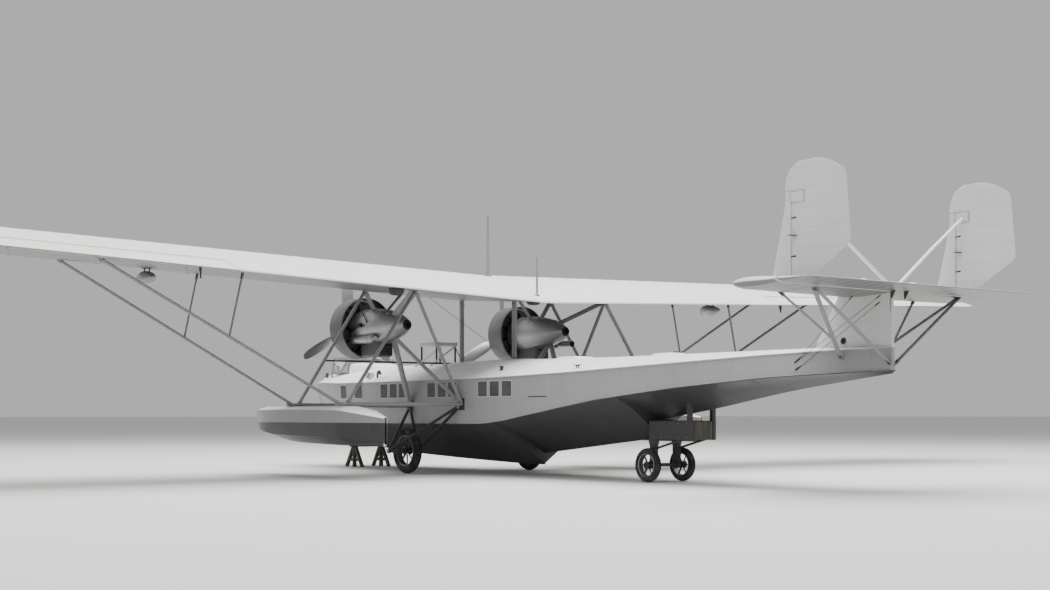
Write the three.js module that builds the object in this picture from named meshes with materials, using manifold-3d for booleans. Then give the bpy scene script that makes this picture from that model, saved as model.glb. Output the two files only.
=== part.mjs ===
import * as THREE from 'three';
import { mergeVertices } from 'three/addons/utils/BufferGeometryUtils.js';
import Module from 'manifold-3d';

// A twin-engined flying boat of about 1930, standing on its beaching wheels, tail dolly and bow trestle.
// All sizes are millimetres. A station x is measured forward from the front spar of the wing, y to port
// and z up from the ground, so most numbers read like those of a general arrangement drawing.

const wasm = await Module();
wasm.setup();

// Driving dimensions of the whole aircraft
const LENGTH = 18800;
const BOW = 6200;
const STERN_EDGE = BOW - LENGTH;
const HALF_SPAN = 15240;
const GAP = 0.3;
const FRONT_SPAR = 0;
const REAR_SPAR = -1900;

// Wing
const WING_LEADING_EDGE = 550;
const WING_CHORD = 3600;
const WING_TIP_START = 13500;
const WING_JOINT = 2600;
const WING_DEPTH = 566;
const WING_DEPTH_TAPER = 0.0125;
const FRONT_SPAR_HEIGHT = 3720;
const FRONT_SPAR_RISE = 0.038;
const REAR_SPAR_HEIGHT = 3610;
const REAR_SPAR_RISE = 0.037;
const WING_TIP = { smallestChord: 0.18, thinnest: 0.35, sweep: 0.45, lift: 95 };

// Ailerons
const AILERON_BAY = { inner: 6880, outer: 13420, front: -2360 };
const AILERON_END_GAP = 22;
const AILERON_HINGE = -2478;
const TRAILING_EDGE_HEIGHT = 22;
const TRAILING_EDGE_DROOP = -0.055;

// Struts meet at these points on the port side
const ENGINE_OUT = 2090;
const ENGINE_HEIGHT = 3080;
const OUTER_NODE = 2475;
const INNER_NODE = 1590;
const LIFT_NODE = 9000;
const LIFT_FOOT = 130;
const JURY_NODE = 6260;
const JURY_FOOT = 6530;
const HULL_HALF_BEAM = 1350;
const FLOAT_OUT = 4050;
const FLOAT_DECK = 1400;
const BOOM_DEPTH = 80;
const BOOM_HEIGHT = FLOAT_DECK + 0.45 * BOOM_DEPTH;
const BOOM_END = 250;

// Tail
const TAILPLANE_HEIGHT = 3230;
const TAILPLANE_REAR_FACE = -11780;
const ELEVATOR_HINGE = -11850;
const FIN_OUT = 2000;
const RUDDER_HINGE = -11520;
const FIN_TOP = 4590;

// Beaching gear
const WHEEL = { station: -300, out: 1620, radius: 480, width: 190, axleRadius: 40 };
const DOLLY = { station: -6510, out: 430, radius: 315, width: 145, axleRadius: 32 };
const GEAR_LEG = { inside: 160, outside: 365, chord: 70, thickness: 55, overhang: 30 };
const BEARING_GAP = 0.3;
const BEARING_SIDES = 24;
const HINGE = { pin: 12, sides: 12, half: 34, lug: 8, reach: 18, slot: 14, slotReach: 30 };

// Propellers
const PROPELLER = { station: 1350, radius: 1250, hubRadius: 95, shaftRadius: 38 };
const BLADES = 3;
const CYLINDERS = 9;
const CYLINDER = { station: 880, foot: 150, barrelEnd: 520, barrel: 78, head: 62 };
const RING = { front: 1060, rear: 520, inner: 600, outer: 645 };
const BAFFLE = { front: 795, rear: 775, reach: 585 };

const PAINT = {
  topside: new THREE.MeshStandardMaterial({ color: 0xb9bab8, roughness: 0.45, metalness: 0.1 }),
  wing: new THREE.MeshStandardMaterial({ color: 0xe4e4df, roughness: 0.5, metalness: 0.05 }),
  strut: new THREE.MeshStandardMaterial({ color: 0x6f7170, roughness: 0.5, metalness: 0.3 }),
  white: new THREE.MeshStandardMaterial({ color: 0xe9e9e5, roughness: 0.5, metalness: 0.1 }),
  metal: new THREE.MeshStandardMaterial({ color: 0x8c8e8f, roughness: 0.35, metalness: 0.8 }),
  engine: new THREE.MeshStandardMaterial({ color: 0x33343a, roughness: 0.55, metalness: 0.6 }),
  blade: new THREE.MeshStandardMaterial({ color: 0xa5a7a8, roughness: 0.3, metalness: 0.9 }),
  iron: new THREE.MeshStandardMaterial({ color: 0x2b2b2c, roughness: 0.7, metalness: 0.4 }),
  rubber: new THREE.MeshStandardMaterial({ color: 0x2c2c2b, roughness: 0.9, metalness: 0 }),
  timber: new THREE.MeshStandardMaterial({ color: 0x4d4740, roughness: 0.85, metalness: 0 }),
  leather: new THREE.MeshStandardMaterial({ color: 0x54483c, roughness: 0.7, metalness: 0 }),
};

const aircraft = new THREE.Group();
aircraft.position.x = -(BOW + STERN_EDGE) / 2;

// Solids

function solid(geometry) {
  const bare = geometry.clone();
  for (const name of Object.keys(bare.attributes)) {
    if (name !== 'position') bare.deleteAttribute(name);
  }
  const merged = mergeVertices(bare, 1e-3);
  const corners = merged.getAttribute('position');
  const index = [];
  let volume = 0;
  const point = [0, 1, 2].map(() => new THREE.Vector3());
  for (let i = 0; i < merged.index.count; i += 3) {
    const face = [0, 1, 2].map((k) => merged.index.getX(i + k));
    if (new Set(face).size < 3) continue;
    index.push(...face);
    face.forEach((corner, k) => point[k].fromBufferAttribute(corners, corner));
    volume += point[0].dot(point[1].cross(point[2]));
  }
  if (volume < 0) index.reverse();
  const mesh = new wasm.Mesh({
    numProp: 3,
    vertProperties: new Float32Array(corners.array),
    triVerts: new Uint32Array(index),
  });
  return new wasm.Manifold(mesh);
}

function geometryOf(body) {
  const mesh = body.getMesh();
  const geometry = new THREE.BufferGeometry();
  geometry.setAttribute('position', new THREE.BufferAttribute(new Float32Array(mesh.vertProperties), 3));
  geometry.setIndex(new THREE.BufferAttribute(new Uint32Array(mesh.triVerts), 1));
  geometry.computeVertexNormals();
  return geometry;
}

function join(...bodies) {
  return bodies.flat().reduce((sum, body) => sum.add(body));
}

function cut(body, ...tools) {
  return tools.flat().reduce((rest, tool) => rest.subtract(tool), body);
}

function largest(body) {
  const pieces = body.decompose();
  return pieces.reduce((best, piece) => (piece.volume() > best.volume() ? piece : best));
}

function mirror(body) {
  return body.mirror([0, 1, 0]);
}

// The port half and its mirror image, so that both sides of a body match to the last facet
function evenSided(body) {
  const starboardSide = box([-LENGTH, -LENGTH, -LENGTH], [LENGTH, 0, LENGTH]);
  const port = cut(body, starboardSide);
  return join(port, mirror(port));
}

function add(name, body, material) {
  const mesh = new THREE.Mesh(geometryOf(body), material);
  mesh.name = name;
  aircraft.add(mesh);
}

function addPair(name, portBody, material) {
  add(`${name}_port`, portBody, material);
  add(`${name}_starboard`, mirror(portBody), material);
}

// A closed skin through rings of points. Every ring has the same number of points.
function loft(rings) {
  const count = rings[0].length;
  const index = [];
  for (let r = 0; r + 1 < rings.length; r += 1) {
    for (let i = 0; i < count; i += 1) {
      const a = r * count + i;
      const b = r * count + ((i + 1) % count);
      index.push(a, b, b + count, a, b + count, a + count);
    }
  }
  index.push(...capOf(rings[0], 0, true));
  index.push(...capOf(rings[rings.length - 1], (rings.length - 1) * count, false));
  const geometry = new THREE.BufferGeometry();
  geometry.setAttribute('position', new THREE.Float32BufferAttribute(rings.flat(2), 3));
  geometry.setIndex(index);
  return solid(geometry);
}

function capOf(ring, offset, reversed) {
  const points = ring.map((p) => new THREE.Vector3(...p));
  const normal = new THREE.Vector3();
  points.forEach((p, i) => normal.add(p.clone().cross(points[(i + 1) % points.length])));
  normal.normalize();
  const side = Math.abs(normal.x) > 0.9 ? new THREE.Vector3(0, 1, 0) : new THREE.Vector3(1, 0, 0);
  const up = normal.clone().cross(side).normalize();
  const across = up.clone().cross(normal);
  const flat = points.map((p) => new THREE.Vector2(p.dot(across), p.dot(up)));
  return THREE.ShapeUtils.triangulateShape(flat, []).flatMap(([a, b, c]) => {
    const face = reversed ? [c, b, a] : [a, b, c];
    return face.map((corner) => corner + offset);
  });
}

function box(low, high) {
  const size = high.map((value, i) => value - low[i]);
  const middle = high.map((value, i) => (value + low[i]) / 2);
  return solid(new THREE.BoxGeometry(...size).translate(...middle));
}

// A round bar between two points
function bar(from, to, radius, sides = 10) {
  return strut(from, to, 2 * radius, 2 * radius, sides);
}

// A streamlined strut between two points: its chord lies along the line of flight
function strut(from, to, chord, thickness, sides = 8) {
  const a = new THREE.Vector3(...from);
  const b = new THREE.Vector3(...to);
  const along = b.clone().sub(a).normalize();
  const flight = Math.abs(along.x) > 0.95 ? new THREE.Vector3(0, 0, 1) : new THREE.Vector3(1, 0, 0);
  const fore = flight.sub(along.clone().multiplyScalar(flight.dot(along))).normalize();
  const over = along.clone().cross(fore);
  const ringAt = (end) => Array.from({ length: sides }, (_, i) => {
    const turn = ((i + 0.5) / sides) * 2 * Math.PI;
    return end.clone()
      .addScaledVector(fore, Math.cos(turn) * chord / 2)
      .addScaledVector(over, Math.sin(turn) * thickness / 2)
      .toArray();
  });
  return loft([ringAt(a), ringAt(b)]);
}

// A bore that a pin or shaft of the given radius turns in
function bearing(from, to, radius, sides = BEARING_SIDES) {
  return bar(from, to, (radius + BEARING_GAP) / Math.cos(Math.PI / sides), sides);
}

// The same point moved on past the end of a line, so that a strut reaches into what it meets
function beyond(from, to, distance) {
  const end = new THREE.Vector3(...to);
  return end.addScaledVector(end.clone().sub(new THREE.Vector3(...from)).normalize(), distance).toArray();
}

// A body of revolution about a line along x, through (y, z). Profile columns: station, radius
function turned(profile, y, z, sides) {
  const points = profile.map(([station, radius]) => new THREE.Vector2(radius, station));
  const geometry = new THREE.LatheGeometry(points, sides);
  geometry.rotateZ(-Math.PI / 2);
  return solid(geometry.translate(0, y, z));
}

// A flat outline in x and z, given thickness about a plane of constant y, with thinner edges
function bladeShape(outline, y, thickness, edge) {
  const shape = new THREE.Shape(outline.map(([x, z]) => new THREE.Vector2(x, z)));
  const core = thickness / 3;
  const geometry = new THREE.ExtrudeGeometry(shape, {
    depth: core,
    bevelThickness: (thickness - core) / 2,
    bevelSize: edge,
    bevelOffset: -edge,
    bevelSegments: 1,
  });
  geometry.translate(0, 0, -core / 2).rotateX(Math.PI / 2);
  return solid(geometry.translate(0, y, 0));
}

// Hull

// Columns: station, keel height, chine half-width, chine height, sheer half-width, sheer height, ridge
const HULL_SECTIONS = [
  [BOW, 1620, 30, 1780, 50, 1990, 2030],
  [5900, 1260, 140, 1600, 205, 2000, 2110],
  [5400, 960, 350, 1430, 495, 2000, 2190],
  [4800, 760, 630, 1290, 810, 1995, 2240],
  [4200, 630, 890, 1190, 1070, 1985, 2280],
  [3600, 535, 1150, 1110, 1255, 1970, 2310],
  [3000, 470, 1280, 1070, 1335, 1950, 2340],
  [1250, 360, 1340, 1050, HULL_HALF_BEAM, 1950, 2370],
  [-1900, 250, 1345, 1050, HULL_HALF_BEAM, 1955, 2400],
  [-2920, 240, 1345, 1085, 1340, 1970, 2370],
  [-2940, 470, 1345, 1090, 1340, 1970, 2370],
  [-4960, 680, 1255, 1375, 1250, 2020, 2345],
  [-6390, 830, 1150, 1570, 1130, 2080, 2340],
  [-6410, 1150, 1150, 1572, 1130, 2080, 2340],
  [-7800, 1340, 1000, 1710, 960, 2140, 2340],
  [-9600, 1630, 720, 1850, 630, 2225, 2340],
  [-10900, 1790, 440, 1905, 300, 2275, 2335],
  [-11750, 1890, 45, 1945, 30, 2300, 2320],
];
const BOTTOM_HOLLOW = { across: 0.6, up: 0.68 };
const DECK_CROWN = { parts: [0.68, 0.34], power: 1.7 };

function hullRing([station, keel, chineOut, chine, sheerOut, sheer, ridge]) {
  const side = [
    [chineOut * BOTTOM_HOLLOW.across, keel + (chine - keel) * BOTTOM_HOLLOW.up],
    [chineOut, chine],
    [sheerOut, sheer],
    ...DECK_CROWN.parts.map((k) => [sheerOut * k, ridge - (ridge - sheer) * k ** DECK_CROWN.power]),
  ];
  const port = side.map(([y, z]) => [station, y, z]);
  const starboard = side.map(([y, z]) => [station, -y, z]).reverse();
  return [[station, 0, keel], ...port, [station, 0, ridge], ...starboard];
}

// The pilots sit in a well cut into the deck
const COCKPIT_WELL = { front: 4650, rear: 3780, half: 540, floor: 1560, above: 2600 };

function hullBody() {
  const shell = evenSided(loft(HULL_SECTIONS.map(hullRing)));
  const { front, rear, half, floor, above } = COCKPIT_WELL;
  return cut(shell, box([rear, -half, floor], [front, half, above]));
}

const hull = hullBody();
const hullAbove = hull.translate([0, 0, GAP]);
const hullBelow = hull.translate([0, 0, -GAP]);
const hullOutward = join(hull.translate([0, GAP, 0]), hullAbove);

// Wing

// Columns: part of the chord from the leading edge, upper surface and lower surface as parts of the depth
const WING_PROFILE = [
  [0.000, 0.34, 0.34],
  [0.020, 0.56, 0.15],
  [0.070, 0.78, 0.04],
  [0.150, 0.94, 0.00],
  [0.250, 1.00, 0.00],
  [0.400, 0.96, 0.00],
  [0.550, 0.82, 0.00],
  [0.700, 0.59, -0.01],
  [0.850, 0.29, -0.04],
  [1.000, -0.03, -0.08],
];

function profileHeight(part, column) {
  const next = WING_PROFILE.findIndex(([edge]) => edge > part);
  const [ahead, behind] = [WING_PROFILE[next - 1], WING_PROFILE[next]];
  return THREE.MathUtils.mapLinear(part, ahead[0], behind[0], ahead[column], behind[column]);
}

function wingUnderside(x, y) {
  const front = FRONT_SPAR_HEIGHT + FRONT_SPAR_RISE * Math.abs(y);
  const rear = REAR_SPAR_HEIGHT + REAR_SPAR_RISE * Math.abs(y);
  return front + (x / REAR_SPAR) * (rear - front);
}

function wingDepth(y) {
  return WING_DEPTH - WING_DEPTH_TAPER * Math.abs(y);
}

function tipFactor(y) {
  const out = Math.max(0, (Math.abs(y) - WING_TIP_START) / (HALF_SPAN - WING_TIP_START));
  return Math.max(WING_TIP.smallestChord, Math.sqrt(Math.max(0, 1 - out * out)));
}

function wingRing(y) {
  const factor = tipFactor(y);
  const depth = wingDepth(y) * THREE.MathUtils.lerp(WING_TIP.thinnest, 1, factor);
  const nose = WING_LEADING_EDGE - WING_TIP.sweep * WING_CHORD * (1 - factor);
  const lift = WING_TIP.lift * (1 - factor);
  const at = (part, height) => {
    const x = nose - part * WING_CHORD * factor;
    return [x, y, wingUnderside(x, y) + lift + height * depth];
  };
  const upper = WING_PROFILE.map(([part, high]) => at(part, high));
  const lower = WING_PROFILE.slice(1).reverse().map(([part, , low]) => at(part, low));
  return [...upper, ...lower];
}

const TIP_STEPS = [0.35, 0.62, 0.82, 0.94, 1];
const AILERON_HINGES = [7550, 9200, 10700, 12300];

const AILERON_PART = (WING_LEADING_EDGE - AILERON_HINGE) / WING_CHORD;
const AILERON_UPPER = profileHeight(AILERON_PART, 1);
const AILERON_LOWER = profileHeight(AILERON_PART, 2);

function aileronHinge(y) {
  const middle = (AILERON_UPPER + AILERON_LOWER) / 2 * wingDepth(y);
  return [AILERON_HINGE, y, wingUnderside(AILERON_HINGE, y) + middle];
}

// The pin of a hinge across the span, and the lug that carries it from a face ahead of it
function spanwiseHinge(hingeAt, y, face) {
  const [x, , z] = hingeAt(y);
  const { pin, sides, half, lug, reach } = HINGE;
  return join(
    bar(hingeAt(y - half), hingeAt(y + half), pin, sides),
    box([x - reach, y - lug, z - reach], [face + 20, y + lug, z + reach]),
  );
}

// What a control surface leaves open for one such hinge
function spanwiseSlot(hingeAt, y) {
  const [x, , z] = hingeAt(y);
  const { pin, sides, half, slot, slotReach } = HINGE;
  return join(
    bearing(hingeAt(y - half - 4), hingeAt(y + half + 4), pin, sides),
    box([x - slotReach, y - slot, z - 300], [x + 300, y + slot, z + 300]),
  );
}

function wingPanel() {
  const stations = [WING_JOINT + GAP, WING_TIP_START];
  TIP_STEPS.forEach((part) => stations.push(WING_TIP_START + part * (HALF_SPAN - WING_TIP_START)));
  const panel = loft(stations.map(wingRing));
  const { inner, outer, front } = AILERON_BAY;
  const open = cut(panel, box([front - WING_CHORD, inner, 0], [front, outer, LENGTH]));
  return join(open, AILERON_HINGES.map((y) => spanwiseHinge(aileronHinge, y, front)));
}

// Heights are above the wing
const MASTS = [
  { station: -960, height: 1400, radius: 32, depth: 350 },
  { station: -2660, height: 460, radius: 22, depth: 350 },
];

function wingCentre() {
  const centre = evenSided(loft([-WING_JOINT, 0, WING_JOINT].map(wingRing)));
  const masts = MASTS.map(({ station, height, radius, depth }) => {
    const foot = wingUnderside(station, 0) + 100;
    return bar([station, 0, foot], [station, 0, foot + depth + height], radius);
  });
  return join(centre, masts);
}

const centreWing = wingCentre();
const portWing = wingPanel();
const wingBelow = join(centreWing, portWing).translate([0, 0, -GAP]);

// A control surface: round nose about its hinge line, flat sides, thin trailing edge
function surfaceRing(y, hinge, height, radius, edge, edgeHeight, edgeThickness) {
  const nose = [-90, -54, -18, 18, 54, 90].map((degrees) => {
    const turn = THREE.MathUtils.degToRad(degrees);
    return [hinge + radius * Math.cos(turn), y, height + radius * Math.sin(turn)];
  });
  return [
    ...nose,
    [edge, y, edgeHeight + edgeThickness / 2],
    [edge, y, edgeHeight - edgeThickness / 2],
  ];
}

function aileron() {
  const edge = WING_LEADING_EDGE - WING_CHORD;
  const ends = [AILERON_BAY.inner + AILERON_END_GAP, AILERON_BAY.outer - AILERON_END_GAP];
  const flap = loft(ends.map((y) => {
    const radius = (AILERON_UPPER - AILERON_LOWER) / 2 * wingDepth(y);
    const [, , height] = aileronHinge(y);
    const edgeHeight = wingUnderside(edge, y) + TRAILING_EDGE_DROOP * wingDepth(y);
    return surfaceRing(y, AILERON_HINGE, height, radius, edge, edgeHeight, TRAILING_EDGE_HEIGHT);
  }));
  return cut(flap, AILERON_HINGES.map((y) => spanwiseSlot(aileronHinge, y)));
}

// Tail

// Columns: distance out, leading edge, elevator trailing edge, depth
const TAIL_SECTIONS = [
  [0, -10600, -12450, 210],
  [2350, -10650, -12450, 190],
  [2560, -10760, -12440, 160],
  [2680, -10950, -12400, 125],
  [2740, -11250, -12300, 90],
];
const TAIL_PROFILE = [[0, 0], [0.06, 0.55], [0.25, 0.95], [0.5, 1], [1, 0.62]];

function bothSides(sections) {
  const port = sections.slice(1).map(([out, ...rest]) => [-out, ...rest]).reverse();
  return [...port, ...sections];
}

const ELEVATOR_EDGE = 18;
const ELEVATOR_NOSE = 0.28;
const ELEVATOR_HINGES = [600, 1450, 2300];
const elevatorHinge = (y) => [ELEVATOR_HINGE, y, TAILPLANE_HEIGHT];

function tailplane() {
  const plane = evenSided(loft(bothSides(TAIL_SECTIONS).map(([y, nose, , depth]) => {
    const chord = nose - TAILPLANE_REAR_FACE;
    const at = (part, half) => [nose - part * chord, y, TAILPLANE_HEIGHT + half * depth / 2];
    const upper = TAIL_PROFILE.map(([part, half]) => at(part, half));
    const lower = TAIL_PROFILE.slice(1).reverse().map(([part, half]) => at(part, -half));
    return [...upper, ...lower];
  })));
  const hinges = ELEVATOR_HINGES.map((y) => spanwiseHinge(elevatorHinge, y, TAILPLANE_REAR_FACE));
  return join(plane, hinges, hinges.map(mirror));
}

function elevator() {
  const flap = evenSided(loft(bothSides(TAIL_SECTIONS).map(([y, , edge, depth]) => {
    const radius = ELEVATOR_NOSE * depth;
    return surfaceRing(y, ELEVATOR_HINGE, TAILPLANE_HEIGHT, radius, edge, TAILPLANE_HEIGHT, ELEVATOR_EDGE);
  })));
  const slots = ELEVATOR_HINGES.map((y) => spanwiseSlot(elevatorHinge, y));
  return cut(flap, slots, slots.map(mirror));
}

// The pylon carries the tailplane above the stern. Columns: height, leading edge, half-thickness
const PYLON_EDGE = -11745;
const PYLON_PROFILE = [[0, 0], [0.06, 0.5], [0.3, 1], [0.7, 0.8], [1, 0.25]];
const PYLON_LEVELS = [
  [2200, -10100, 130],
  [2345, -10150, 120],
  [3170, -10640, 80],
];

function tailPylon() {
  const rings = PYLON_LEVELS.map(([height, nose, half]) => {
    const at = ([part, width], sign) => [nose + part * (PYLON_EDGE - nose), sign * width * half, height];
    const port = PYLON_PROFILE.map((row) => at(row, 1));
    const starboard = PYLON_PROFILE.slice(1).reverse().map((row) => at(row, -1));
    return [...port, ...starboard];
  });
  return evenSided(loft(rings));
}

const tailSurface = tailplane();
const tailAbove = tailSurface.translate([0, 0, GAP]);
const tailBelow = tailSurface.translate([0, 0, -GAP]);
const pylon = largest(cut(tailPylon(), hullAbove, tailBelow));

const FIN_FRONT = -11020;
const HORN_FRONT = -11335;
const FIN_THICKNESS = 110;
const FIN_REAR = RUDDER_HINGE + 65;
const RUDDER_HINGES = [3620, 4200];
const FIN_CORNER = 4400;
const FIN_BLOCK = { depth: 190, thickness: 76, low: 4430 };

function rudderPin(z, make, half) {
  const at = (height) => [RUDDER_HINGE, FIN_OUT, height];
  return make(at(z - half), at(z + half), HINGE.pin, HINGE.sides);
}

function fin() {
  const outline = [
    [FIN_FRONT - 20, TAILPLANE_HEIGHT],
    [HORN_FRONT, FIN_CORNER],
    [HORN_FRONT, FIN_TOP],
    [FIN_REAR, FIN_TOP],
    [FIN_REAR, TAILPLANE_HEIGHT],
  ];
  const { half, lug, reach } = HINGE;
  const { depth, thickness, low } = FIN_BLOCK;
  const block = box(
    [RUDDER_HINGE - depth, FIN_OUT - thickness / 2, low],
    [FIN_REAR + 30, FIN_OUT + thickness / 2, FIN_TOP],
  );
  const hinges = RUDDER_HINGES.map((z) => join(
    rudderPin(z, bar, half),
    box([RUDDER_HINGE - reach, FIN_OUT - reach, z - lug], [FIN_REAR + 30, FIN_OUT + reach, z + lug]),
  ));
  return largest(cut(join(bladeShape(outline, FIN_OUT, FIN_THICKNESS, 30), hinges, block), tailAbove));
}

const RUDDER_FOOT = 3335;
const RUDDER_NOSE = RUDDER_HINGE + 45;
const RUDDER_THICKNESS = 84;
const HORN_GAP = 22;

function rudder() {
  const outline = [
    [RUDDER_NOSE, RUDDER_FOOT],
    [-11900, RUDDER_FOOT],
    [STERN_EDGE, 3760],
    [-12500, 4830],
    [-12200, 5000],
    [-11870, 5060],
    [-11600, 5040],
    [-11450, 4960],
    [-11365, 4840],
    [HORN_FRONT, 4680],
    [HORN_FRONT, FIN_TOP + HORN_GAP],
    [RUDDER_NOSE, FIN_TOP + HORN_GAP],
  ];
  const { half, slot, slotReach } = HINGE;
  const notch = box(
    [RUDDER_HINGE - FIN_BLOCK.depth - HORN_GAP, FIN_OUT - 100, FIN_BLOCK.low - HORN_GAP],
    [FIN_REAR, FIN_OUT + 100, FIN_TOP + HORN_GAP],
  );
  const slots = RUDDER_HINGES.map((z) => join(
    rudderPin(z, bearing, half + 4),
    box([RUDDER_HINGE - slotReach, FIN_OUT - 100, z - slot], [FIN_REAR, FIN_OUT + 100, z + slot]),
  ));
  return cut(bladeShape(outline, FIN_OUT, RUDDER_THICKNESS, 40), slots, notch);
}

// Power plants

const NACELLE_PROFILE = [
  [700, 0], [700, 350], [600, 385], [300, 395], [0, 382], [-400, 325],
  [-760, 225], [-950, 135], [-1030, 92], [-1055, 60], [-1055, 0],
];

const COOLER = { front: 500, rear: -220, half: 190, low: 2440, high: 2930 };
const EXHAUST = {
  out: 330,
  below: 260,
  profile: [[-320, 0], [-320, 60], [-240, 90], [560, 90], [640, 60], [640, 0]],
};

function nacelle() {
  const body = turned([...NACELLE_PROFILE].reverse(), ENGINE_OUT, ENGINE_HEIGHT, 16);
  const { front, rear, half, low, high } = COOLER;
  const cooler = box([rear, ENGINE_OUT - half, low], [front, ENGINE_OUT + half, high]);
  const pipe = turned(EXHAUST.profile, ENGINE_OUT + EXHAUST.out, ENGINE_HEIGHT - EXHAUST.below, 10);
  return join(body, cooler, pipe);
}

function engine() {
  const crankcase = turned(
    [
      [700 + GAP, 0], [700 + GAP, 200], [760, 235], [1020, 235],
      [1120, 165], [1200, 120], [1240, 60], [1240, 0],
    ],
    ENGINE_OUT, ENGINE_HEIGHT, 18,
  );
  const shaft = bar(
    [1200, ENGINE_OUT, ENGINE_HEIGHT],
    [PROPELLER.station + 20, ENGINE_OUT, ENGINE_HEIGHT],
    PROPELLER.shaftRadius, BEARING_SIDES,
  );
  const cylinders = Array.from({ length: CYLINDERS }, (_, i) => {
    const turn = (i / CYLINDERS) * 2 * Math.PI;
    const along = [0, Math.sin(turn), Math.cos(turn)];
    const at = (reach) => [
      CYLINDER.station, ENGINE_OUT + along[1] * reach, ENGINE_HEIGHT + along[2] * reach,
    ];
    return join(
      bar(at(CYLINDER.foot), at(CYLINDER.barrelEnd), CYLINDER.barrel, 8),
      bar(at(CYLINDER.barrelEnd - 20), at(RING.inner + 15), CYLINDER.head, 8),
    );
  });
  const { front, rear, reach } = BAFFLE;
  const sheet = [[rear, 0], [rear, reach], [front, reach], [front, 0]];
  const baffle = turned(sheet, ENGINE_OUT, ENGINE_HEIGHT, 27);
  return cut(join(crankcase, shaft, cylinders, baffle), ringBody(GAP));
}

// The ring around the cylinders: a lip at the front, a thin edge behind. The cylinder heads carry it
function ringBody(clearance) {
  const { front, rear } = RING;
  const inner = RING.inner - clearance;
  const outer = RING.outer + 3 * clearance;
  const middle = (front + rear) / 2;
  const profile = [
    [rear, inner + 20], [rear + 20, outer - 5], [middle, outer],
    [front - 70, outer - 5], [front, outer - 35], [front - 10, inner - 5], [middle + 90, inner],
    [middle - 90, inner], [rear, inner + 20],
  ];
  return turned(profile, ENGINE_OUT, ENGINE_HEIGHT, 28);
}

// Columns: part of the radius, chord, thickness, pitch in degrees
const BLADE_SECTIONS = [
  [0.05, 90, 84, 60],
  [0.15, 96, 70, 52],
  [0.28, 185, 38, 44],
  [0.50, 255, 25, 33],
  [0.75, 250, 16, 26],
  [0.93, 190, 10, 22],
  [1.00, 90, 6, 21],
];

function propeller() {
  const { station, radius, hubRadius, shaftRadius } = PROPELLER;
  const blades = Array.from({ length: BLADES }, (_, i) => {
    const turn = (i / BLADES) * 2 * Math.PI;
    const out = [0, Math.sin(turn), Math.cos(turn)];
    const across = [0, Math.cos(turn), -Math.sin(turn)];
    return loft(BLADE_SECTIONS.map(([part, chord, thickness, pitch]) => {
      const angle = THREE.MathUtils.degToRad(pitch);
      return Array.from({ length: 8 }, (_, k) => {
        const a = (k / 8) * 2 * Math.PI;
        const u = Math.cos(a) * chord / 2;
        const v = Math.sin(a) * thickness / 2;
        const fore = u * Math.sin(angle) + v * Math.cos(angle);
        const side = u * Math.cos(angle) - v * Math.sin(angle);
        return [
          station + fore,
          ENGINE_OUT + out[1] * part * radius + across[1] * side,
          ENGINE_HEIGHT + out[2] * part * radius + across[2] * side,
        ];
      });
    }));
  });
  const hub = turned(
    [[station - 100, 0], [station - 100, 70], [station - 60, hubRadius], [station + 60, hubRadius],
      [station + 100, 60], [station + 120, 0]],
    ENGINE_OUT, ENGINE_HEIGHT, 14,
  );
  const bore = bearing(
    [station - 200, ENGINE_OUT, ENGINE_HEIGHT], [station + 30, ENGINE_OUT, ENGINE_HEIGHT], shaftRadius,
  );
  return cut(join(hub, blades), bore);
}

const nacelleBody = nacelle();

// Struts

const nodeAt = (station, out) => [station, out, wingUnderside(station, out)];
const FRONT_NODE = nodeAt(FRONT_SPAR, OUTER_NODE);
const FRONT_INNER_NODE = nodeAt(FRONT_SPAR, INNER_NODE);
const REAR_NODE = nodeAt(REAR_SPAR, OUTER_NODE);
const FRONT_HULL_NODE = [FRONT_SPAR, HULL_HALF_BEAM, 1420];
const REAR_HULL_NODE = [REAR_SPAR, HULL_HALF_BEAM, 1450];
const FRONT_FOOT = [FRONT_SPAR, FLOAT_OUT, BOOM_HEIGHT];
const REAR_FOOT = [REAR_SPAR, FLOAT_OUT, BOOM_HEIGHT];
const NACELLE_OUTER_TOP = [30, ENGINE_OUT + 110, ENGINE_HEIGHT + 300];
const NACELLE_INNER_TOP = [30, ENGINE_OUT - 140, ENGINE_HEIGHT + 300];
const NACELLE_REAR = [-560, ENGINE_OUT + 60, ENGINE_HEIGHT + 150];
const NACELLE_BOTTOM = [-480, ENGINE_OUT, ENGINE_HEIGHT - 200];
const REACH = 90;
const SPREADER = { inner: 120, outer: 3455, height: 2345 };
const nacelleShifted = join(...[[0, 0, GAP], [0, 0, -GAP], [0, GAP, 0], [0, -GAP, 0]].map(
  (shift) => nacelleBody.translate(shift),
));

// Columns: end, end, chord, thickness. Each strut keeps clear of those that were set before it
class StrutYard {
  constructor() {
    this.placed = [];
  }

  set(rows, cutters) {
    const body = join(rows.map(([from, to, chord, thickness]) => strut(from, to, chord, thickness)));
    const trimmed = largest(cut(body, cutters, this.placed));
    const grow = 2 * GAP / Math.cos(Math.PI / 8);
    this.placed.push(join(rows.map(([from, to, chord, thickness]) => (
      strut(beyond(to, from, GAP), beyond(from, to, GAP), chord + grow, thickness + grow)
    ))));
    return trimmed;
  }
}

// Columns: station, keel height, chine half-width, chine height, edge half-width, edge height, deck height
const FLOAT_SECTIONS = [
  [1700, 1050, 25, 1090, 50, 1300, 1325],
  [1450, 930, 120, 1000, 165, 1320, 1375],
  [1000, 825, 320, 925, 390, 1330, FLOAT_DECK],
  [300, 705, 420, 850, 450, 1330, FLOAT_DECK],
  [-900, 660, 430, 830, 450, 1330, FLOAT_DECK],
  [-2100, 643, 405, 815, 420, 1320, FLOAT_DECK],
  [-2300, 643, 385, 810, 400, 1310, 1375],
  [-3290, 645, 40, 770, 45, 1165, 1190],
];
const FLOAT_CROWN = 0.3;

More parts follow.
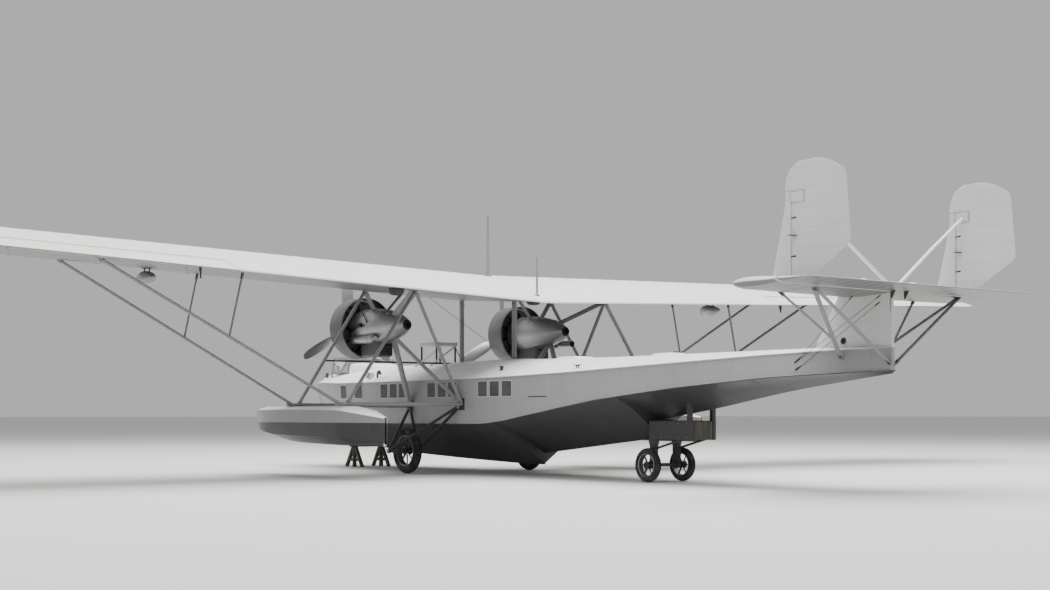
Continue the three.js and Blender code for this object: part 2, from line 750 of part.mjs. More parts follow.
function floatBody() {
  return loft(FLOAT_SECTIONS.map(([station, keel, chineOut, chine, edgeOut, edge, deck]) => [
    [station, FLOAT_OUT, keel],
    [station, FLOAT_OUT + chineOut, chine],
    [station, FLOAT_OUT + edgeOut, edge],
    [station, FLOAT_OUT + edgeOut * FLOAT_CROWN, deck],
    [station, FLOAT_OUT - edgeOut * FLOAT_CROWN, deck],
    [station, FLOAT_OUT - edgeOut, edge],
    [station, FLOAT_OUT - chineOut, chine],
  ]));
}

function buildStruts() {
  const yard = new StrutYard();
  const float = floatBody();
  const floatAbove = float.translate([0, 0, GAP]);
  const ends = [wingBelow, hullOutward, floatAbove, nacelleShifted];

  const into = (point, from) => beyond(from, point, REACH);
  const boom = ([station, out, height]) => [
    [station, out - REACH, height], [station, FLOAT_OUT, BOOM_HEIGHT], 100, BOOM_DEPTH,
  ];
  const boomTip = (station) => {
    const at = (out) => [station, FLOAT_OUT + out, BOOM_HEIGHT];
    return [at(-REACH), at(BOOM_END), 100, BOOM_DEPTH];
  };

  addPair('float', float, PAINT.topside);
  addPair('boom_front', yard.set([boom(FRONT_HULL_NODE), boomTip(FRONT_SPAR)], ends), PAINT.strut);
  addPair('boom_rear', yard.set([boom(REAR_HULL_NODE), boomTip(REAR_SPAR)], ends), PAINT.strut);

  addPair('engine_front_struts', yard.set([
    [into(FRONT_NODE, FRONT_FOOT), FRONT_FOOT, 130, 60],
    [into(FRONT_NODE, NACELLE_OUTER_TOP), NACELLE_OUTER_TOP, 195, 60],
  ], ends), PAINT.strut);
  addPair('engine_inner_strut', yard.set([
    [into(FRONT_INNER_NODE, NACELLE_INNER_TOP), NACELLE_INNER_TOP, 120, 55],
  ], ends), PAINT.strut);
  addPair('engine_rear_struts', yard.set([
    [into(REAR_NODE, REAR_FOOT), REAR_FOOT, 130, 60],
    [into(REAR_NODE, REAR_HULL_NODE), into(REAR_HULL_NODE, REAR_NODE), 120, 58],
    [into(REAR_NODE, NACELLE_REAR), NACELLE_REAR, 170, 60],
  ], ends), PAINT.strut);
  addPair('nacelle_lower_struts', yard.set([
    [NACELLE_BOTTOM, into(FRONT_HULL_NODE, NACELLE_BOTTOM), 220, 65],
    [NACELLE_BOTTOM, into(REAR_HULL_NODE, NACELLE_BOTTOM), 140, 60],
  ], ends), PAINT.strut);

  for (const [name, spar] of [['lift_strut_front', FRONT_SPAR], ['lift_strut_rear', REAR_SPAR]]) {
    const top = nodeAt(spar, LIFT_NODE);
    const low = [spar, FLOAT_OUT + LIFT_FOOT, BOOM_HEIGHT];
    const part = (JURY_FOOT - low[1]) / (top[1] - low[1]);
    const middle = low.map((value, i) => value + (top[i] - value) * part);
    const jury = nodeAt(spar, JURY_NODE);
    addPair(name, yard.set([
      [into(top, low), low, 125, 56],
      [into(jury, middle), middle, 70, 34],
    ], ends), PAINT.strut);
  }

  addPair('spreader_bar', yard.set([
    [[FRONT_SPAR, SPREADER.inner, SPREADER.height], [FRONT_SPAR, SPREADER.outer, SPREADER.height], 40, 40],
  ], ends), PAINT.iron);
  addPair('main_gear_leg', mainGearLeg(yard, ends), PAINT.iron);
}

function cabane(station) {
  const top = [station, 0, wingUnderside(station, 0) + REACH];
  return largest(cut(strut([station, 0, 2200], top, 170, 70), wingBelow, hullAbove));
}

// Beaching gear

function mainGearLeg(yard, ends) {
  const { station, out, radius, width, axleRadius } = WHEEL;
  const { inside, outside, chord, thickness, overhang } = GEAR_LEG;
  const inner = [station, out - width / 2 - inside, radius];
  const outer = [station, out + width / 2 + outside, radius];
  const into = (point, from) => beyond(from, point, REACH);
  const legs = yard.set([
    [inner, into(FRONT_HULL_NODE, inner), chord, thickness],
    [inner, into(REAR_HULL_NODE, inner), chord, thickness],
    [outer, into(FRONT_HULL_NODE, outer), chord, thickness],
    [outer, into(REAR_HULL_NODE, outer), chord, thickness],
    [inner, outer, axleRadius, axleRadius],
  ], ends);
  const axleEnds = [beyond(outer, inner, overhang), beyond(inner, outer, overhang)];
  return join(legs, bar(...axleEnds, axleRadius, BEARING_SIDES));
}

// A spoked wheel about a line along y. The tyre is a ring of eight-sided section
function wheel({ station, out, radius, width, axleRadius }, spokes, sides) {
  const tyreDepth = 0.2 * radius;
  const middle = radius - tyreDepth;
  const profile = Array.from({ length: 9 }, (_, i) => {
    const turn = ((i + 0.5) / 8) * 2 * Math.PI;
    const reach = 1 / Math.cos(Math.PI / 8);
    return [Math.sin(turn) * width / 2 * reach, middle + Math.cos(turn) * tyreDepth * reach];
  });
  const hubHalf = width * 0.55;
  const hubRadius = axleRadius + 45;
  const hub = [[-hubHalf, 0], [-hubHalf, hubRadius], [hubHalf, hubRadius], [hubHalf, 0]];
  const place = (body) => body.rotate([0, 0, 90]).translate([station, out, radius]);
  const arms = Array.from({ length: spokes }, (_, i) => {
    const turn = (i / spokes) * 2 * Math.PI;
    const at = (reach) => [0, Math.sin(turn) * reach, Math.cos(turn) * reach];
    return strut(at(axleRadius + 20), at(middle - tyreDepth + 25), 50, 36, 4);
  });
  const body = join(turned(profile, 0, 0, sides), turned(hub, 0, 0, 14), arms);
  return place(cut(body, bearing([-width, 0, 0], [width, 0, 0], axleRadius)));
}

function dollyWheels() {
  const { station, out, radius, axleRadius } = DOLLY;
  const one = wheel({ ...DOLLY, axleRadius: axleRadius - 8 }, 6, 18);
  const axle = bar([station, -out - 60, radius], [station, out + 60, radius], axleRadius, BEARING_SIDES);
  return join(one, mirror(one), axle);
}

const CRADLE = { front: -6180, rear: -7500, half: 330, low: 780, high: 1130, rail: 90, postTop: 1700 };

function dollyFrame() {
  const { front, rear, half, low, high, rail, postTop } = CRADLE;
  const { station, radius, axleRadius } = DOLLY;
  const rails = [-1, 1].map((side) => box(
    [rear, side > 0 ? half - rail : -half, low], [front, side > 0 ? half : rail - half, high],
  ));
  const crossings = [rear, (front + rear) / 2 - rail, front - rail].map((x) => (
    box([x, -half, low], [x + rail, half, high])
  ));
  const posts = [-1, 1].map((side) => box(
    [rear, side * (half - rail / 2) - rail / 2, high - 10],
    [rear + rail, side * (half - rail / 2) + rail / 2, postTop],
  ));
  const axleHangers = [-1, 1].map((side) => box(
    [station - 70, side * (half - rail / 2) - rail / 2, radius - 70],
    [station + 70, side * (half - rail / 2) + rail / 2, low + 10],
  ));
  const bore = bearing([station, -half - 50, radius], [station, half + 50, radius], axleRadius);
  return largest(cut(join(rails, crossings, posts, axleHangers), hullBelow, bore));
}

const underGround = box([-LENGTH, -LENGTH, -LENGTH], [LENGTH, LENGTH, 0]);
const TRESTLE = { station: 3900, half: 370, spread: 350, beam: 110, leg: 120, low: 470, high: 640 };

function bowTrestle() {
  const { station, half, spread, beam, leg, low, high } = TRESTLE;
  const timbers = [box([station - beam / 2, -half - beam, low], [station + beam / 2, half + beam, high])];
  for (const side of [-1, 1]) {
    const y = side * half;
    for (const lean of [-spread, 0, spread]) {
      const foot = [station + lean, y, 0];
      const head = [station + lean * 0.08, y, low + 30];
      const raw = strut(beyond(head, foot, leg), head, leg, leg, 4);
      timbers.push(cut(raw, underGround));
    }
    timbers.push(box([station - spread * 0.7, y - 25, 130], [station + spread * 0.7, y + 25, 210]));
  }
  return largest(cut(join(timbers), hullBelow));
}

// Cockpit and deck fittings

const FAIRING = { flank: 1.1, roof: 0.72, foot: 1950, shoulder: 35 };
const SCREEN = {
  rear: 3740, corner: 4440, prow: 4830, half: 600, top: 2580, foot: 5230, sill: 2235, tube: 22, splay: 40,
};

function cockpitFairing() {
  // Columns: station, half-width, height
  const sections = [[3700, 600, 2455], [3250, 480, 2425], [2850, 60, 2352]];
  const { flank, roof, foot, shoulder } = FAIRING;
  const rings = sections.map(([station, half, top]) => [
    [station, half * flank, foot], [station, half, top - shoulder], [station, half * roof, top],
    [station, -half * roof, top], [station, -half, top - shoulder], [station, -half * flank, foot],
  ]);
  return largest(cut(loft(rings), hullAbove));
}

function windscreenFrame() {
  const { rear, corner, prow, half, top, foot, sill, tube, splay } = SCREEN;
  const deep = 2000;
  const prowTop = [prow, 0, top];
  const rails = [[prowTop, beyond(prowTop, [foot, 0, sill], 200)]];
  for (const side of [-1, 1]) {
    const y = side * half;
    const base = side * (half + splay);
    rails.push(
      [[rear, y, top], [rear, base, deep]],
      [[corner, y, top], [corner + 70, base, deep]],
      [[rear, y, top], [corner, y, top]],
      [[corner, y, top], prowTop],
      [[corner + 60, base, sill - 20], [foot, 0, sill]],
      [[rear, base, sill], [corner + 60, base, sill - 20]],
    );
  }
  const tubes = rails.map(([from, to]) => bar(from, to, tube, 6));
  const roofOutline = [[rear - 20, -half], [corner, -half], [prow, 0], [corner, half], [rear - 20, half]];
  const roof = loft([top - 18, top + 22].map((z) => roofOutline.map(([x, y]) => [x, y, z])));
  return largest(cut(join(tubes, roof), hullAbove));
}

const SEAT = { out: 265, half: 200, rear: 70, front: 500, cushion: 260, back: 720, backFront: 160 };

function cockpitSeats() {
  const { rear, floor } = COCKPIT_WELL;
  const { out, half } = SEAT;
  const board = box([rear + 60, -500, floor + GAP], [rear + 520, 500, floor + 60]);
  const seats = [-1, 1].map((side) => {
    const low = [rear + SEAT.rear, side * out - half, floor + 50];
    const cushion = box(low, [rear + SEAT.front, side * out + half, floor + SEAT.cushion]);
    const back = box(low, [rear + SEAT.backFront, side * out + half, floor + SEAT.back]);
    return join(cushion, back);
  });
  return join(board, seats);
}

const HANDRAIL = { front: 1250, rear: 580, half: 250, top: 2850, board: 100, post: 24 };

function deckHandrail() {
  const { front, rear, half, top, board, post } = HANDRAIL;
  const pieces = [];
  for (const side of [-1, 1]) {
    const y = side * half;
    pieces.push(box([rear, y - board / 2, top - board], [front, y + board / 2, top]));
    for (const x of [rear + 40, front - 40]) {
      pieces.push(bar([x, y, 2200], [x, y, top - 40], post, 6));
    }
  }
  for (const x of [rear, front - board]) {
    pieces.push(box([x, -half, top - board], [x + board, half, top]));
  }
  return largest(cut(join(pieces), hullAbove));
}

const LAMP = {
  station: -120,
  out: 7370,
  drop: 190,
  profile: [[-420, 0], [-420, 20], [-260, 95], [-60, 138], [80, 140], [150, 115], [170, 60], [172, 0]],
};

function landingLight() {
  const { station, out, drop, profile } = LAMP;
  const height = wingUnderside(station, out) - drop;
  const arm = strut([station, out, height], [station, out, height + 2 * drop], 90, 36);
  return largest(cut(join(turned(profile, out, height, 12), arm), wingBelow));
}

// Tail bracing

function finBrace() {
  const low = [TAILPLANE_REAR_FACE + 30, 110, TAILPLANE_HEIGHT + 20];
  const high = [RUDDER_HINGE - 80, FIN_OUT, FIN_TOP - 70];
  const finNow = fin();
  const brace = strut(low, high, 70, 36);
  return largest(cut(brace, tailAbove, finNow.translate([0, -GAP, 0])));
}

function tailStruts() {
  const top = [-11690, 1800, TAILPLANE_HEIGHT];
  const stern = [-11740, 0, 2000];
  const side = [-10950, 260, 2080];
  const outer = [-10850, 1680, TAILPLANE_HEIGHT];
  const fork = top.map((value, i) => value + (side[i] - value) * 0.7);
  const pieces = [
    strut(beyond(stern, top, 60), stern, 85, 42),
    strut(beyond(side, top, 60), beyond(top, side, 60), 95, 45),
    strut(beyond(fork, outer, 60), fork, 60, 34),
  ];
  const acrossMiddle = box([-LENGTH, -LENGTH, 0], [LENGTH, 30, LENGTH]);
  const pylonOut = pylon.translate([0, GAP, 0]);
  return largest(cut(join(pieces), tailBelow, hullOutward, pylonOut, acrossMiddle));
}

add('hull', hull, PAINT.topside);
add('cockpit_fairing', cockpitFairing(), PAINT.topside);
add('windscreen_frame', windscreenFrame(), PAINT.metal);
add('cockpit_seats', cockpitSeats(), PAINT.leather);
add('deck_handrail', deckHandrail(), PAINT.strut);
add('wing_centre', centreWing, PAINT.wing);
addPair('wing', portWing, PAINT.wing);
addPair('aileron', aileron(), PAINT.wing);
add('tail_pylon', pylon, PAINT.topside);
add('tailplane', tailSurface, PAINT.wing);
add('elevator', elevator(), PAINT.wing);
addPair('fin', fin(), PAINT.topside);
addPair('rudder', rudder(), PAINT.topside);
addPair('fin_brace', finBrace(), PAINT.white);
addPair('tail_struts', tailStruts(), PAINT.strut);
add('cabane_front', cabane(FRONT_SPAR), PAINT.strut);
add('cabane_rear', cabane(REAR_SPAR), PAINT.strut);
addPair('nacelle', nacelleBody, PAINT.metal);
addPair('engine', engine(), PAINT.engine);
addPair('ring_cowl', ringBody(0), PAINT.metal);
addPair('propeller', propeller(), PAINT.blade);
buildStruts();
addPair('landing_light', landingLight(), PAINT.metal);
addPair('main_wheel', wheel(WHEEL, 8, 24), PAINT.rubber);
add('dolly_wheels', dollyWheels(), PAINT.rubber);
add('dolly_frame', dollyFrame(), PAINT.iron);
add('bow_trestle', bowTrestle(), PAINT.timber);

export default aircraft;
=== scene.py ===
# %% [markdown]
# This scene dresses a flying boat of about 1930 that stands on its beaching gear. The solids come
# packed from the drawing, and every piece below is placed from the same frame: X runs towards the
# bow, Y to port and Z up, in metres. The drawing measures its stations from the front spar of the
# wing, so one small helper moves a station to the frame.

# %% Load the frame
import math

import bmesh
import bpy
from mathutils import Matrix, Vector
from mathutils.bvhtree import BVHTree


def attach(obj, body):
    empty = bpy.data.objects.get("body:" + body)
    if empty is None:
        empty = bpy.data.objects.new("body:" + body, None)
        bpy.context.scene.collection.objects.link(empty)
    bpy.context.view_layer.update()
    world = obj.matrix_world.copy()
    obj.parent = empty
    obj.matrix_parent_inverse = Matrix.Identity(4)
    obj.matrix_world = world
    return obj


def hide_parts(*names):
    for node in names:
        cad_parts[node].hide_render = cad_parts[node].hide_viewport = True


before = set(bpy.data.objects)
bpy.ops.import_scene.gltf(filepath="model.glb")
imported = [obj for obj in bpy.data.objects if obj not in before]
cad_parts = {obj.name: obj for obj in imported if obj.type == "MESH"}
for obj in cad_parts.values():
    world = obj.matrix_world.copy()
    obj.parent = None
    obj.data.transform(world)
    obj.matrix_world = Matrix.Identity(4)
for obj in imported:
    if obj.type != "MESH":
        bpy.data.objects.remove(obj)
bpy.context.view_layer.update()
SPAR_TO_FRAME = 3.2


def row(station):
    return station + SPAR_TO_FRAME


def station_points(*points):
    return [(row(station), y, z) for station, y, z in points]


def add_object(name, data):
    """Puts a mesh, a camera or a lamp into the scene under a name"""
    added = bpy.data.objects.new(name, data)
    bpy.context.scene.collection.objects.link(added)
    return added


# %% [markdown]
# The photograph was taken from behind the port wing. The camera stands at chest height and looks
# level, and a vertical shift keeps the horizon low in the picture, as a view camera does. The
# floor of the studio is one pale sheet, and the light comes from large soft panels, so that the
# metal has something broad to reflect.

# %% Camera
PICTURE_WIDTH = 1050
FOCAL_PIXELS = 1516
HORIZON_BELOW_MIDDLE = 119
CAMERA_AT = (-23.91, 19.12, 1.25)
CAMERA_LOOKS = (0.7926, -0.6098)

camera_data = bpy.data.cameras.new("camera")
camera_data.sensor_width = 36
camera_data.lens = FOCAL_PIXELS / PICTURE_WIDTH * camera_data.sensor_width
camera_data.shift_y = HORIZON_BELOW_MIDDLE / PICTURE_WIDTH
camera_data.clip_end = 2000
camera = add_object("camera", camera_data)
camera.location = CAMERA_AT
camera.rotation_euler = (math.pi / 2, 0, math.atan2(CAMERA_LOOKS[1], CAMERA_LOOKS[0]) - math.pi / 2)
bpy.context.scene.camera = camera
print("lens", round(camera_data.lens, 2))

# %% [markdown]
# Four soft panels light the boat: the key from behind the port wing, a weak fill, one for the bow
# and a wide one overhead. They all look at the same spot, two metres above the floor.

# %% Light
LIT_SPOT = Vector((0, 0, 2))
SKY_COLOUR, SKY_STRENGTH = (0.93, 0.94, 0.95, 1), 0.56
# Columns: name, place, size, energy
PANELS = [
    ("key_panel", (-14, 24, 30), 24, 4600),
    ("fill_panel", (-30, -12, 14), 26, 900),
    ("bow_panel", (30, 10, 18), 24, 1500),
    ("top_panel", (0, -4, 30), 36, 26000),
]
for panel_name, place, size, energy in PANELS:
    lamp_data = bpy.data.lights.new(panel_name, "AREA")
    lamp_data.size = size
    lamp_data.energy = energy
    lamp = add_object(panel_name, lamp_data)
    lamp.location = place
    lamp.rotation_euler = (LIT_SPOT - Vector(place)).to_track_quat("-Z", "Y").to_euler()

world = bpy.data.worlds.new("studio")
world.use_nodes = True
sky = world.node_tree.nodes["Background"]
sky.inputs["Color"].default_value = SKY_COLOUR
sky.inputs["Strength"].default_value = SKY_STRENGTH
bpy.context.scene.world = world
print("panels", len(PANELS))

# %% [markdown]
# A finish is a small network of nodes. Written node by node it is long and hard to read, so two
# helpers keep it short. The first is Wire. It stands for the value that comes out of a node, and
# adding, scaling or dividing wires adds the Math nodes that do the same on the surface.

# %% Wires
class Wire:
    def __init__(self, finish, socket):
        self.finish = finish
        self.socket = socket

    def math(self, operation, *values):
        sockets = dict(enumerate(values))
        return self.finish.node("ShaderNodeMath", {"operation": operation}, sockets)

    def also(self, name):
        return Wire(self.finish, self.socket.node.outputs[name])

    def __add__(self, other):
        return self.math("ADD", self, other)

    def __sub__(self, other):
        return self.math("SUBTRACT", self, other)

    def __rsub__(self, other):
        return self.math("SUBTRACT", other, self)

    def __mul__(self, other):
        return self.math("MULTIPLY", self, other)

    def __truediv__(self, other):
        return self.math("DIVIDE", self, other)

    def __abs__(self):
        return self.math("ABSOLUTE", self)

    def fraction(self):
        return self.math("FRACT", self)

    __radd__ = __add__
    __rmul__ = __mul__


print("wire operations", len([name for name in vars(Wire) if name.startswith("__")]))

# %% [markdown]
# The second is Finish. It owns a material and has one method that adds any node, with its settings
# and the values or wires of its sockets. Short methods give the nodes that come back often: noise,
# a mix of two colours, a ramp, a soft step, thin lines at a pitch and a bump.

# %% Finishes
class Finish:
    def __init__(self, name, metallic=0.0, coat=0.0, specular=0.5):
        self.material = bpy.data.materials.new(name)
        self.material.use_nodes = True
        self.tree = self.material.node_tree
        self.tree.nodes.clear()
        self.shader = self.tree.nodes.new("ShaderNodeBsdfPrincipled")
        self.shader.inputs["Metallic"].default_value = metallic
        self.shader.inputs["Coat Weight"].default_value = coat
        self.shader.inputs["Specular IOR Level"].default_value = specular
        output = self.tree.nodes.new("ShaderNodeOutputMaterial")
        self.tree.links.new(self.shader.outputs[0], output.inputs[0])
        self.place = self.node("ShaderNodeTexCoord", out="Object")
        self.x = self.node("ShaderNodeSeparateXYZ", sockets={0: self.place})
        self.y = self.x.also("Y")
        self.z = self.x.also("Z")

    def node(self, kind, settings=None, sockets=None, out=0):
        made = self.tree.nodes.new(kind)
        for key, value in (settings or {}).items():
            if key == "stops":
                self.set_stops(made.color_ramp, value)
            else:
                setattr(made, key, value)
        for key, value in (sockets or {}).items():
            self.feed(made.inputs[key], value)
        return Wire(self, made.outputs[out])

    def set_stops(self, ramp, stops):
        while len(ramp.elements) < len(stops):
            ramp.elements.new(1)
        for element, (position, value) in zip(ramp.elements, stops):
            element.position = position
            element.color = (*value, 1) if isinstance(value, tuple) else (value, value, value, 1)

    def feed(self, socket, value):
        if isinstance(value, Wire):
            self.tree.links.new(value.socket, socket)
        elif socket.type == "RGBA":
            socket.default_value = (*value, 1)
        else:
            socket.default_value = value

    def set(self, **sockets):
        for key, value in sockets.items():
            self.feed(self.shader.inputs[key.replace("_", " ")], value)
        return self.material

    def noise(self, scale, detail=3, stretch=(1, 1, 1)):
        spread = self.node("ShaderNodeVectorMath", {"operation": "MULTIPLY"}, {0: self.place, 1: stretch})
        return self.node("ShaderNodeTexNoise", sockets={"Vector": spread, "Scale": scale, "Detail": detail})

    def mix(self, share, first, second, blend="MIX"):
        settings = {"data_type": "RGBA", "blend_type": blend}
        return self.node("ShaderNodeMix", settings, {0: share, 6: first, 7: second}, out=2)

    def ramp(self, value, stops):
        return self.node("ShaderNodeValToRGB", {"stops": stops}, {0: value})

    def step(self, value, low, high):
        sockets = {"Value": value, "From Min": low, "From Max": high}
        return self.node("ShaderNodeMapRange", {"interpolation_type": "SMOOTHSTEP"}, sockets)

    def line(self, value, pitch, width, offset=0.0):
        """1 on thin lines that repeat at a pitch, 0 between them"""
        middle = abs(((value + offset) / pitch).fraction() - 0.5) * pitch
        return 1 - self.step(middle, width / 2, width)

    def bump(self, height, distance, strength=1.0):
        sockets = {"Height": height, "Distance": distance, "Strength": strength}
        return self.node("ShaderNodeBump", sockets=sockets)


print("finish methods", len([name for name in vars(Finish) if not name.startswith("__")]))

# %% [markdown]
# Old enamel is never one flat tone. Weather leaves broad soft patches, water runs leave faint
# upright streaks, and the sheet metal under it dents a little between its frames. One function
# gives all painted parts that base, and each of them adds its own seams and tones on top.

# %% Weathered enamel
def weathered(finish, colour, patches=0.10, streaks=0.06):
    broad = finish.noise(0.8, detail=4) - 0.5
    runs = finish.noise(5.0, detail=2, stretch=(1, 1, 0.12)) - 0.5
    dust = finish.noise(38.0, detail=2) - 0.5
    tone = 1 + broad * patches * 2 + runs * streaks * 2 + dust * 0.05
    grey = finish.node("ShaderNodeCombineColor", sockets={0: tone, 1: tone, 2: tone})
    return finish.mix(1.0, colour, grey, blend="MULTIPLY")


def enamel(name, colour, roughness=0.42, seams=None, metallic=0.0):
    finish = Finish(name, metallic=metallic)
    tone = weathered(finish, colour)
    gloss = finish.noise(3.0) * 0.14 + (roughness - 0.07)
    height = finish.noise(1.7, detail=1) * 0.6
    if seams:
        height = height - seams(finish)
    normal = finish.bump(height, 0.004)
    return finish.set(Base_Color=tone, Roughness=gloss, Normal=normal)


strut_paint = enamel("strut_paint", (0.205, 0.207, 0.208), 0.46)
white_paint = enamel("white_paint", (0.80, 0.80, 0.78), 0.40)
gear_iron = enamel("gear_iron", (0.030, 0.030, 0.031), 0.62)
print("enamels", strut_paint.name, white_paint.name, gear_iron.name)

# %% [markdown]
# The hull wears a near-black bottom paint up to the waterline, which rises with the chine towards
# the stern. Above it the sides are a darker grey, painted shade, and the decks white, painted light.
# The edges between them are worked out on the surface. Two ramps along X hold the height of the
# waterline and of the deck edge, and on a float the deck is found by how far a facet faces up.

# %% Paint lines
HULL_BOW_X = 9.4
HULL_LENGTH = 18.8
RAMP_HEIGHT = 4.0
# Columns: station, height of the paint line
WATERLINE = [(-12.6, 1.965), (-11.75, 1.94), (-9.61, 1.85), (-7.81, 1.71), (-5.87, 1.51),
             (-3.2, 1.11), (-2.6, 1.055), (6.2, 1.05)]
# Columns: station, height of the deck edge
DECK_EDGE = [(-11.75, 2.300), (-10.9, 2.275), (-9.6, 2.225), (-7.8, 2.14), (-6.4, 2.08), (-4.96, 2.02),
             (-2.93, 1.97), (-1.9, 1.955), (1.25, 1.95), (3.0, 1.95), (3.6, 1.97), (4.2, 1.985), (6.2, 1.99)]


def height_along(finish, table):
    along = (finish.x + HULL_BOW_X) / HULL_LENGTH
    stops = [((row(station) + HULL_BOW_X) / HULL_LENGTH, height / RAMP_HEIGHT) for station, height in table]
    return finish.ramp(along, stops) * RAMP_HEIGHT


def facing_up(finish, low, high):
    facing = finish.node("ShaderNodeNewGeometry", out="True Normal")
    return finish.step(finish.node("ShaderNodeSeparateXYZ", sockets={0: facing}, out="Z"), low, high)


def lit_above_deck_edge(finish):
    return finish.step(finish.z - height_along(finish, DECK_EDGE), 0.002, 0.010)


print("paint lines", len(WATERLINE), len(DECK_EDGE))

# %% [markdown]
# Hull and floats share one recipe. Thin seams stand where one sheet of metal laps over the next,
# the bottom paint ends in a slightly ragged line, and a faint stain hangs just above it.

# %% Hull and float paint
# The grey of hull and float sides is painted shade, and the white of the decks is painted light.
SHADED_SIDE_GREY = (0.285, 0.288, 0.285)
SHADED_FLOAT_GREY = (0.24, 0.243, 0.24)
LIT_DECK_WHITE = (0.90, 0.90, 0.88)
BOTTOM_BLACK = (0.024, 0.024, 0.026)
STAIN_BROWN = (0.20, 0.19, 0.17)
SEAM_DARK = (0.10, 0.10, 0.10)
FLOAT_WATERLINE = 1.085


def planked(name, line_height, lit_deck_at, seam_pitch, side=SHADED_SIDE_GREY):
    finish = Finish(name, coat=0.15)
    deck = lit_deck_at(finish)
    ragged = (finish.noise(9.0, detail=4) - 0.5) * 0.012
    bottom = 1 - finish.step(finish.z + ragged - line_height(finish), -0.004, 0.004)
    seams = finish.line(finish.x, seam_pitch, 0.008)
    # Painted light and shade: white where the deck faces up, darker grey on the sides.
    upper = finish.mix(deck, side, LIT_DECK_WHITE)
    scum = finish.step(finish.z - line_height(finish), 0.0, 0.16)
    stained = finish.mix((1 - scum) * 0.16, upper, STAIN_BROWN)
    painted = finish.mix(bottom, stained, BOTTOM_BLACK)
    tone = weathered(finish, finish.mix(seams * 0.16, painted, SEAM_DARK))
    dents = finish.noise(1.4, detail=2, stretch=(1, 1, 0.7)) * 0.8
    normal = finish.bump(dents - seams * 0.35, 0.006)
    gloss = finish.noise(2.5) * 0.16 + 0.34 + bottom * 0.12
    return finish.set(Base_Color=tone, Roughness=gloss, Normal=normal)


hull_paint = planked("hull_paint", lambda finish: height_along(finish, WATERLINE), lit_above_deck_edge, 0.61)
float_paint = planked("float_paint", lambda finish: FLOAT_WATERLINE,
                      lambda finish: facing_up(finish, 0.3, 0.45), 0.50, side=SHADED_FLOAT_GREY)
tail_paint = enamel("tail_paint", (0.56, 0.565, 0.56), 0.40, seams=lambda f: f.line(f.z, 0.32, 0.006) * 0.3)
print("paints", hull_paint.name, float_paint.name, tail_paint.name)

# %% [markdown]
# Wing and tail are ribs and spars under a taut covering. The dope draws it tight, so it dips a
# little between the ribs, and each rib is covered by a narrow tape. The shapes dip as well, and the
# bump here only sharpens that. The underside is painted darker as painted shade.

# %% Doped covering
RIB_PITCH = 0.38
PAINTED_UNDERSIDE_SHADE = 0.2


def covering(name, colour, pitch=RIB_PITCH):
    finish = Finish(name, coat=0.08)
    across = ((finish.y / pitch).fraction() - 0.5) * 2
    sag = across * across
    # Painted shade: faces turned down get this darker share of the covering's colour.
    shaded = tuple(part * PAINTED_UNDERSIDE_SHADE for part in colour)
    painted = finish.mix(facing_up(finish, -0.35, 0.0), shaded, colour)
    tone = weathered(finish, painted, patches=0.06, streaks=0.02)
    weave = finish.noise(220.0, detail=1) * 0.04
    normal = finish.bump(sag * 0.9 + weave, 0.006, 0.8)
    return finish.set(Base_Color=tone, Roughness=finish.noise(4.0) * 0.12 + 0.36, Normal=normal)


wing_dope = covering("wing_dope", (0.80, 0.80, 0.77))
tail_dope = covering("tail_dope", (0.60, 0.605, 0.59), 0.30)
print("coverings", wing_dope.name, tail_dope.name)

# %% [markdown]
# Bare sheet metal is turned on a wheel or rolled, so its scratches run one way, and heat and oil
# leave a darker film on a cowling. All metals come from one recipe.

# %% Metals
def sheet_metal(name, colour, roughness=0.34, grain=(1, 1, 1), metallic=0.9):
    finish = Finish(name, metallic=metallic)
    film = finish.noise(2.2, detail=5)
    brushed = finish.noise(60.0, detail=2, stretch=grain)
    tone = finish.mix(film * 0.55, colour, tuple(part * 0.45 for part in colour))
    rough = brushed * 0.14 + film * 0.16 + (roughness - 0.12)
    normal = finish.bump(brushed * 0.25 + finish.noise(4.0) * 0.6, 0.0025)
    return finish.set(Base_Color=tone, Roughness=rough, Normal=normal)


nacelle_metal = sheet_metal("nacelle_metal", (0.44, 0.445, 0.45), 0.42, grain=(0.15, 1, 1))
cowl_paint = sheet_metal("cowl_paint", (0.125, 0.125, 0.128), 0.48, grain=(1, 0.2, 0.2), metallic=0.3)
blade_metal = sheet_metal("blade_metal", (0.40, 0.405, 0.41), 0.36)
engine_iron = sheet_metal("engine_iron", (0.055, 0.055, 0.058), 0.5)
cast_iron = sheet_metal("cast_iron", (0.085, 0.085, 0.088), 0.42)
fin_steel = sheet_metal("fin_steel", (0.030, 0.030, 0.032), 0.46)
dull_alloy = sheet_metal("dull_alloy", (0.30, 0.305, 0.31), 0.44)
burnt_steel = sheet_metal("burnt_steel", (0.17, 0.125, 0.095), 0.5)
steel_hub = sheet_metal("steel_hub", (0.22, 0.22, 0.225), 0.4)
print("metals", nacelle_metal.name, cowl_paint.name, steel_hub.name)

# %% [markdown]
# Rubber goes grey with dust, most of all near the floor, timber shows its grain along the upright
# fibres, and the leather of the seats has fine creases and is worn pale in patches.

# %% Rubber, timber and leather
black_rubber = enamel("black_rubber", (0.018, 0.018, 0.018), 0.7)
# Near-black: painted shade inside openings, louvres and slots, and the real black of the dial faces.
dark_opening = enamel("dark_opening", (0.006, 0.006, 0.006), 0.8)


def dusty_rubber():
    finish = Finish("tyre_rubber", specular=0.3)
    dust = finish.step(finish.noise(6.0, detail=5), 0.42, 0.75)
    low = 1 - finish.step(finish.z, 0.02, 0.3)
    tone = finish.mix(dust * 0.35 + low * 0.2, (0.022, 0.022, 0.022), (0.16, 0.15, 0.135))
    return finish.set(Base_Color=tone, Roughness=0.86 - dust * 0.08,
                      Normal=finish.bump(finish.noise(45.0) * 0.5, 0.002))


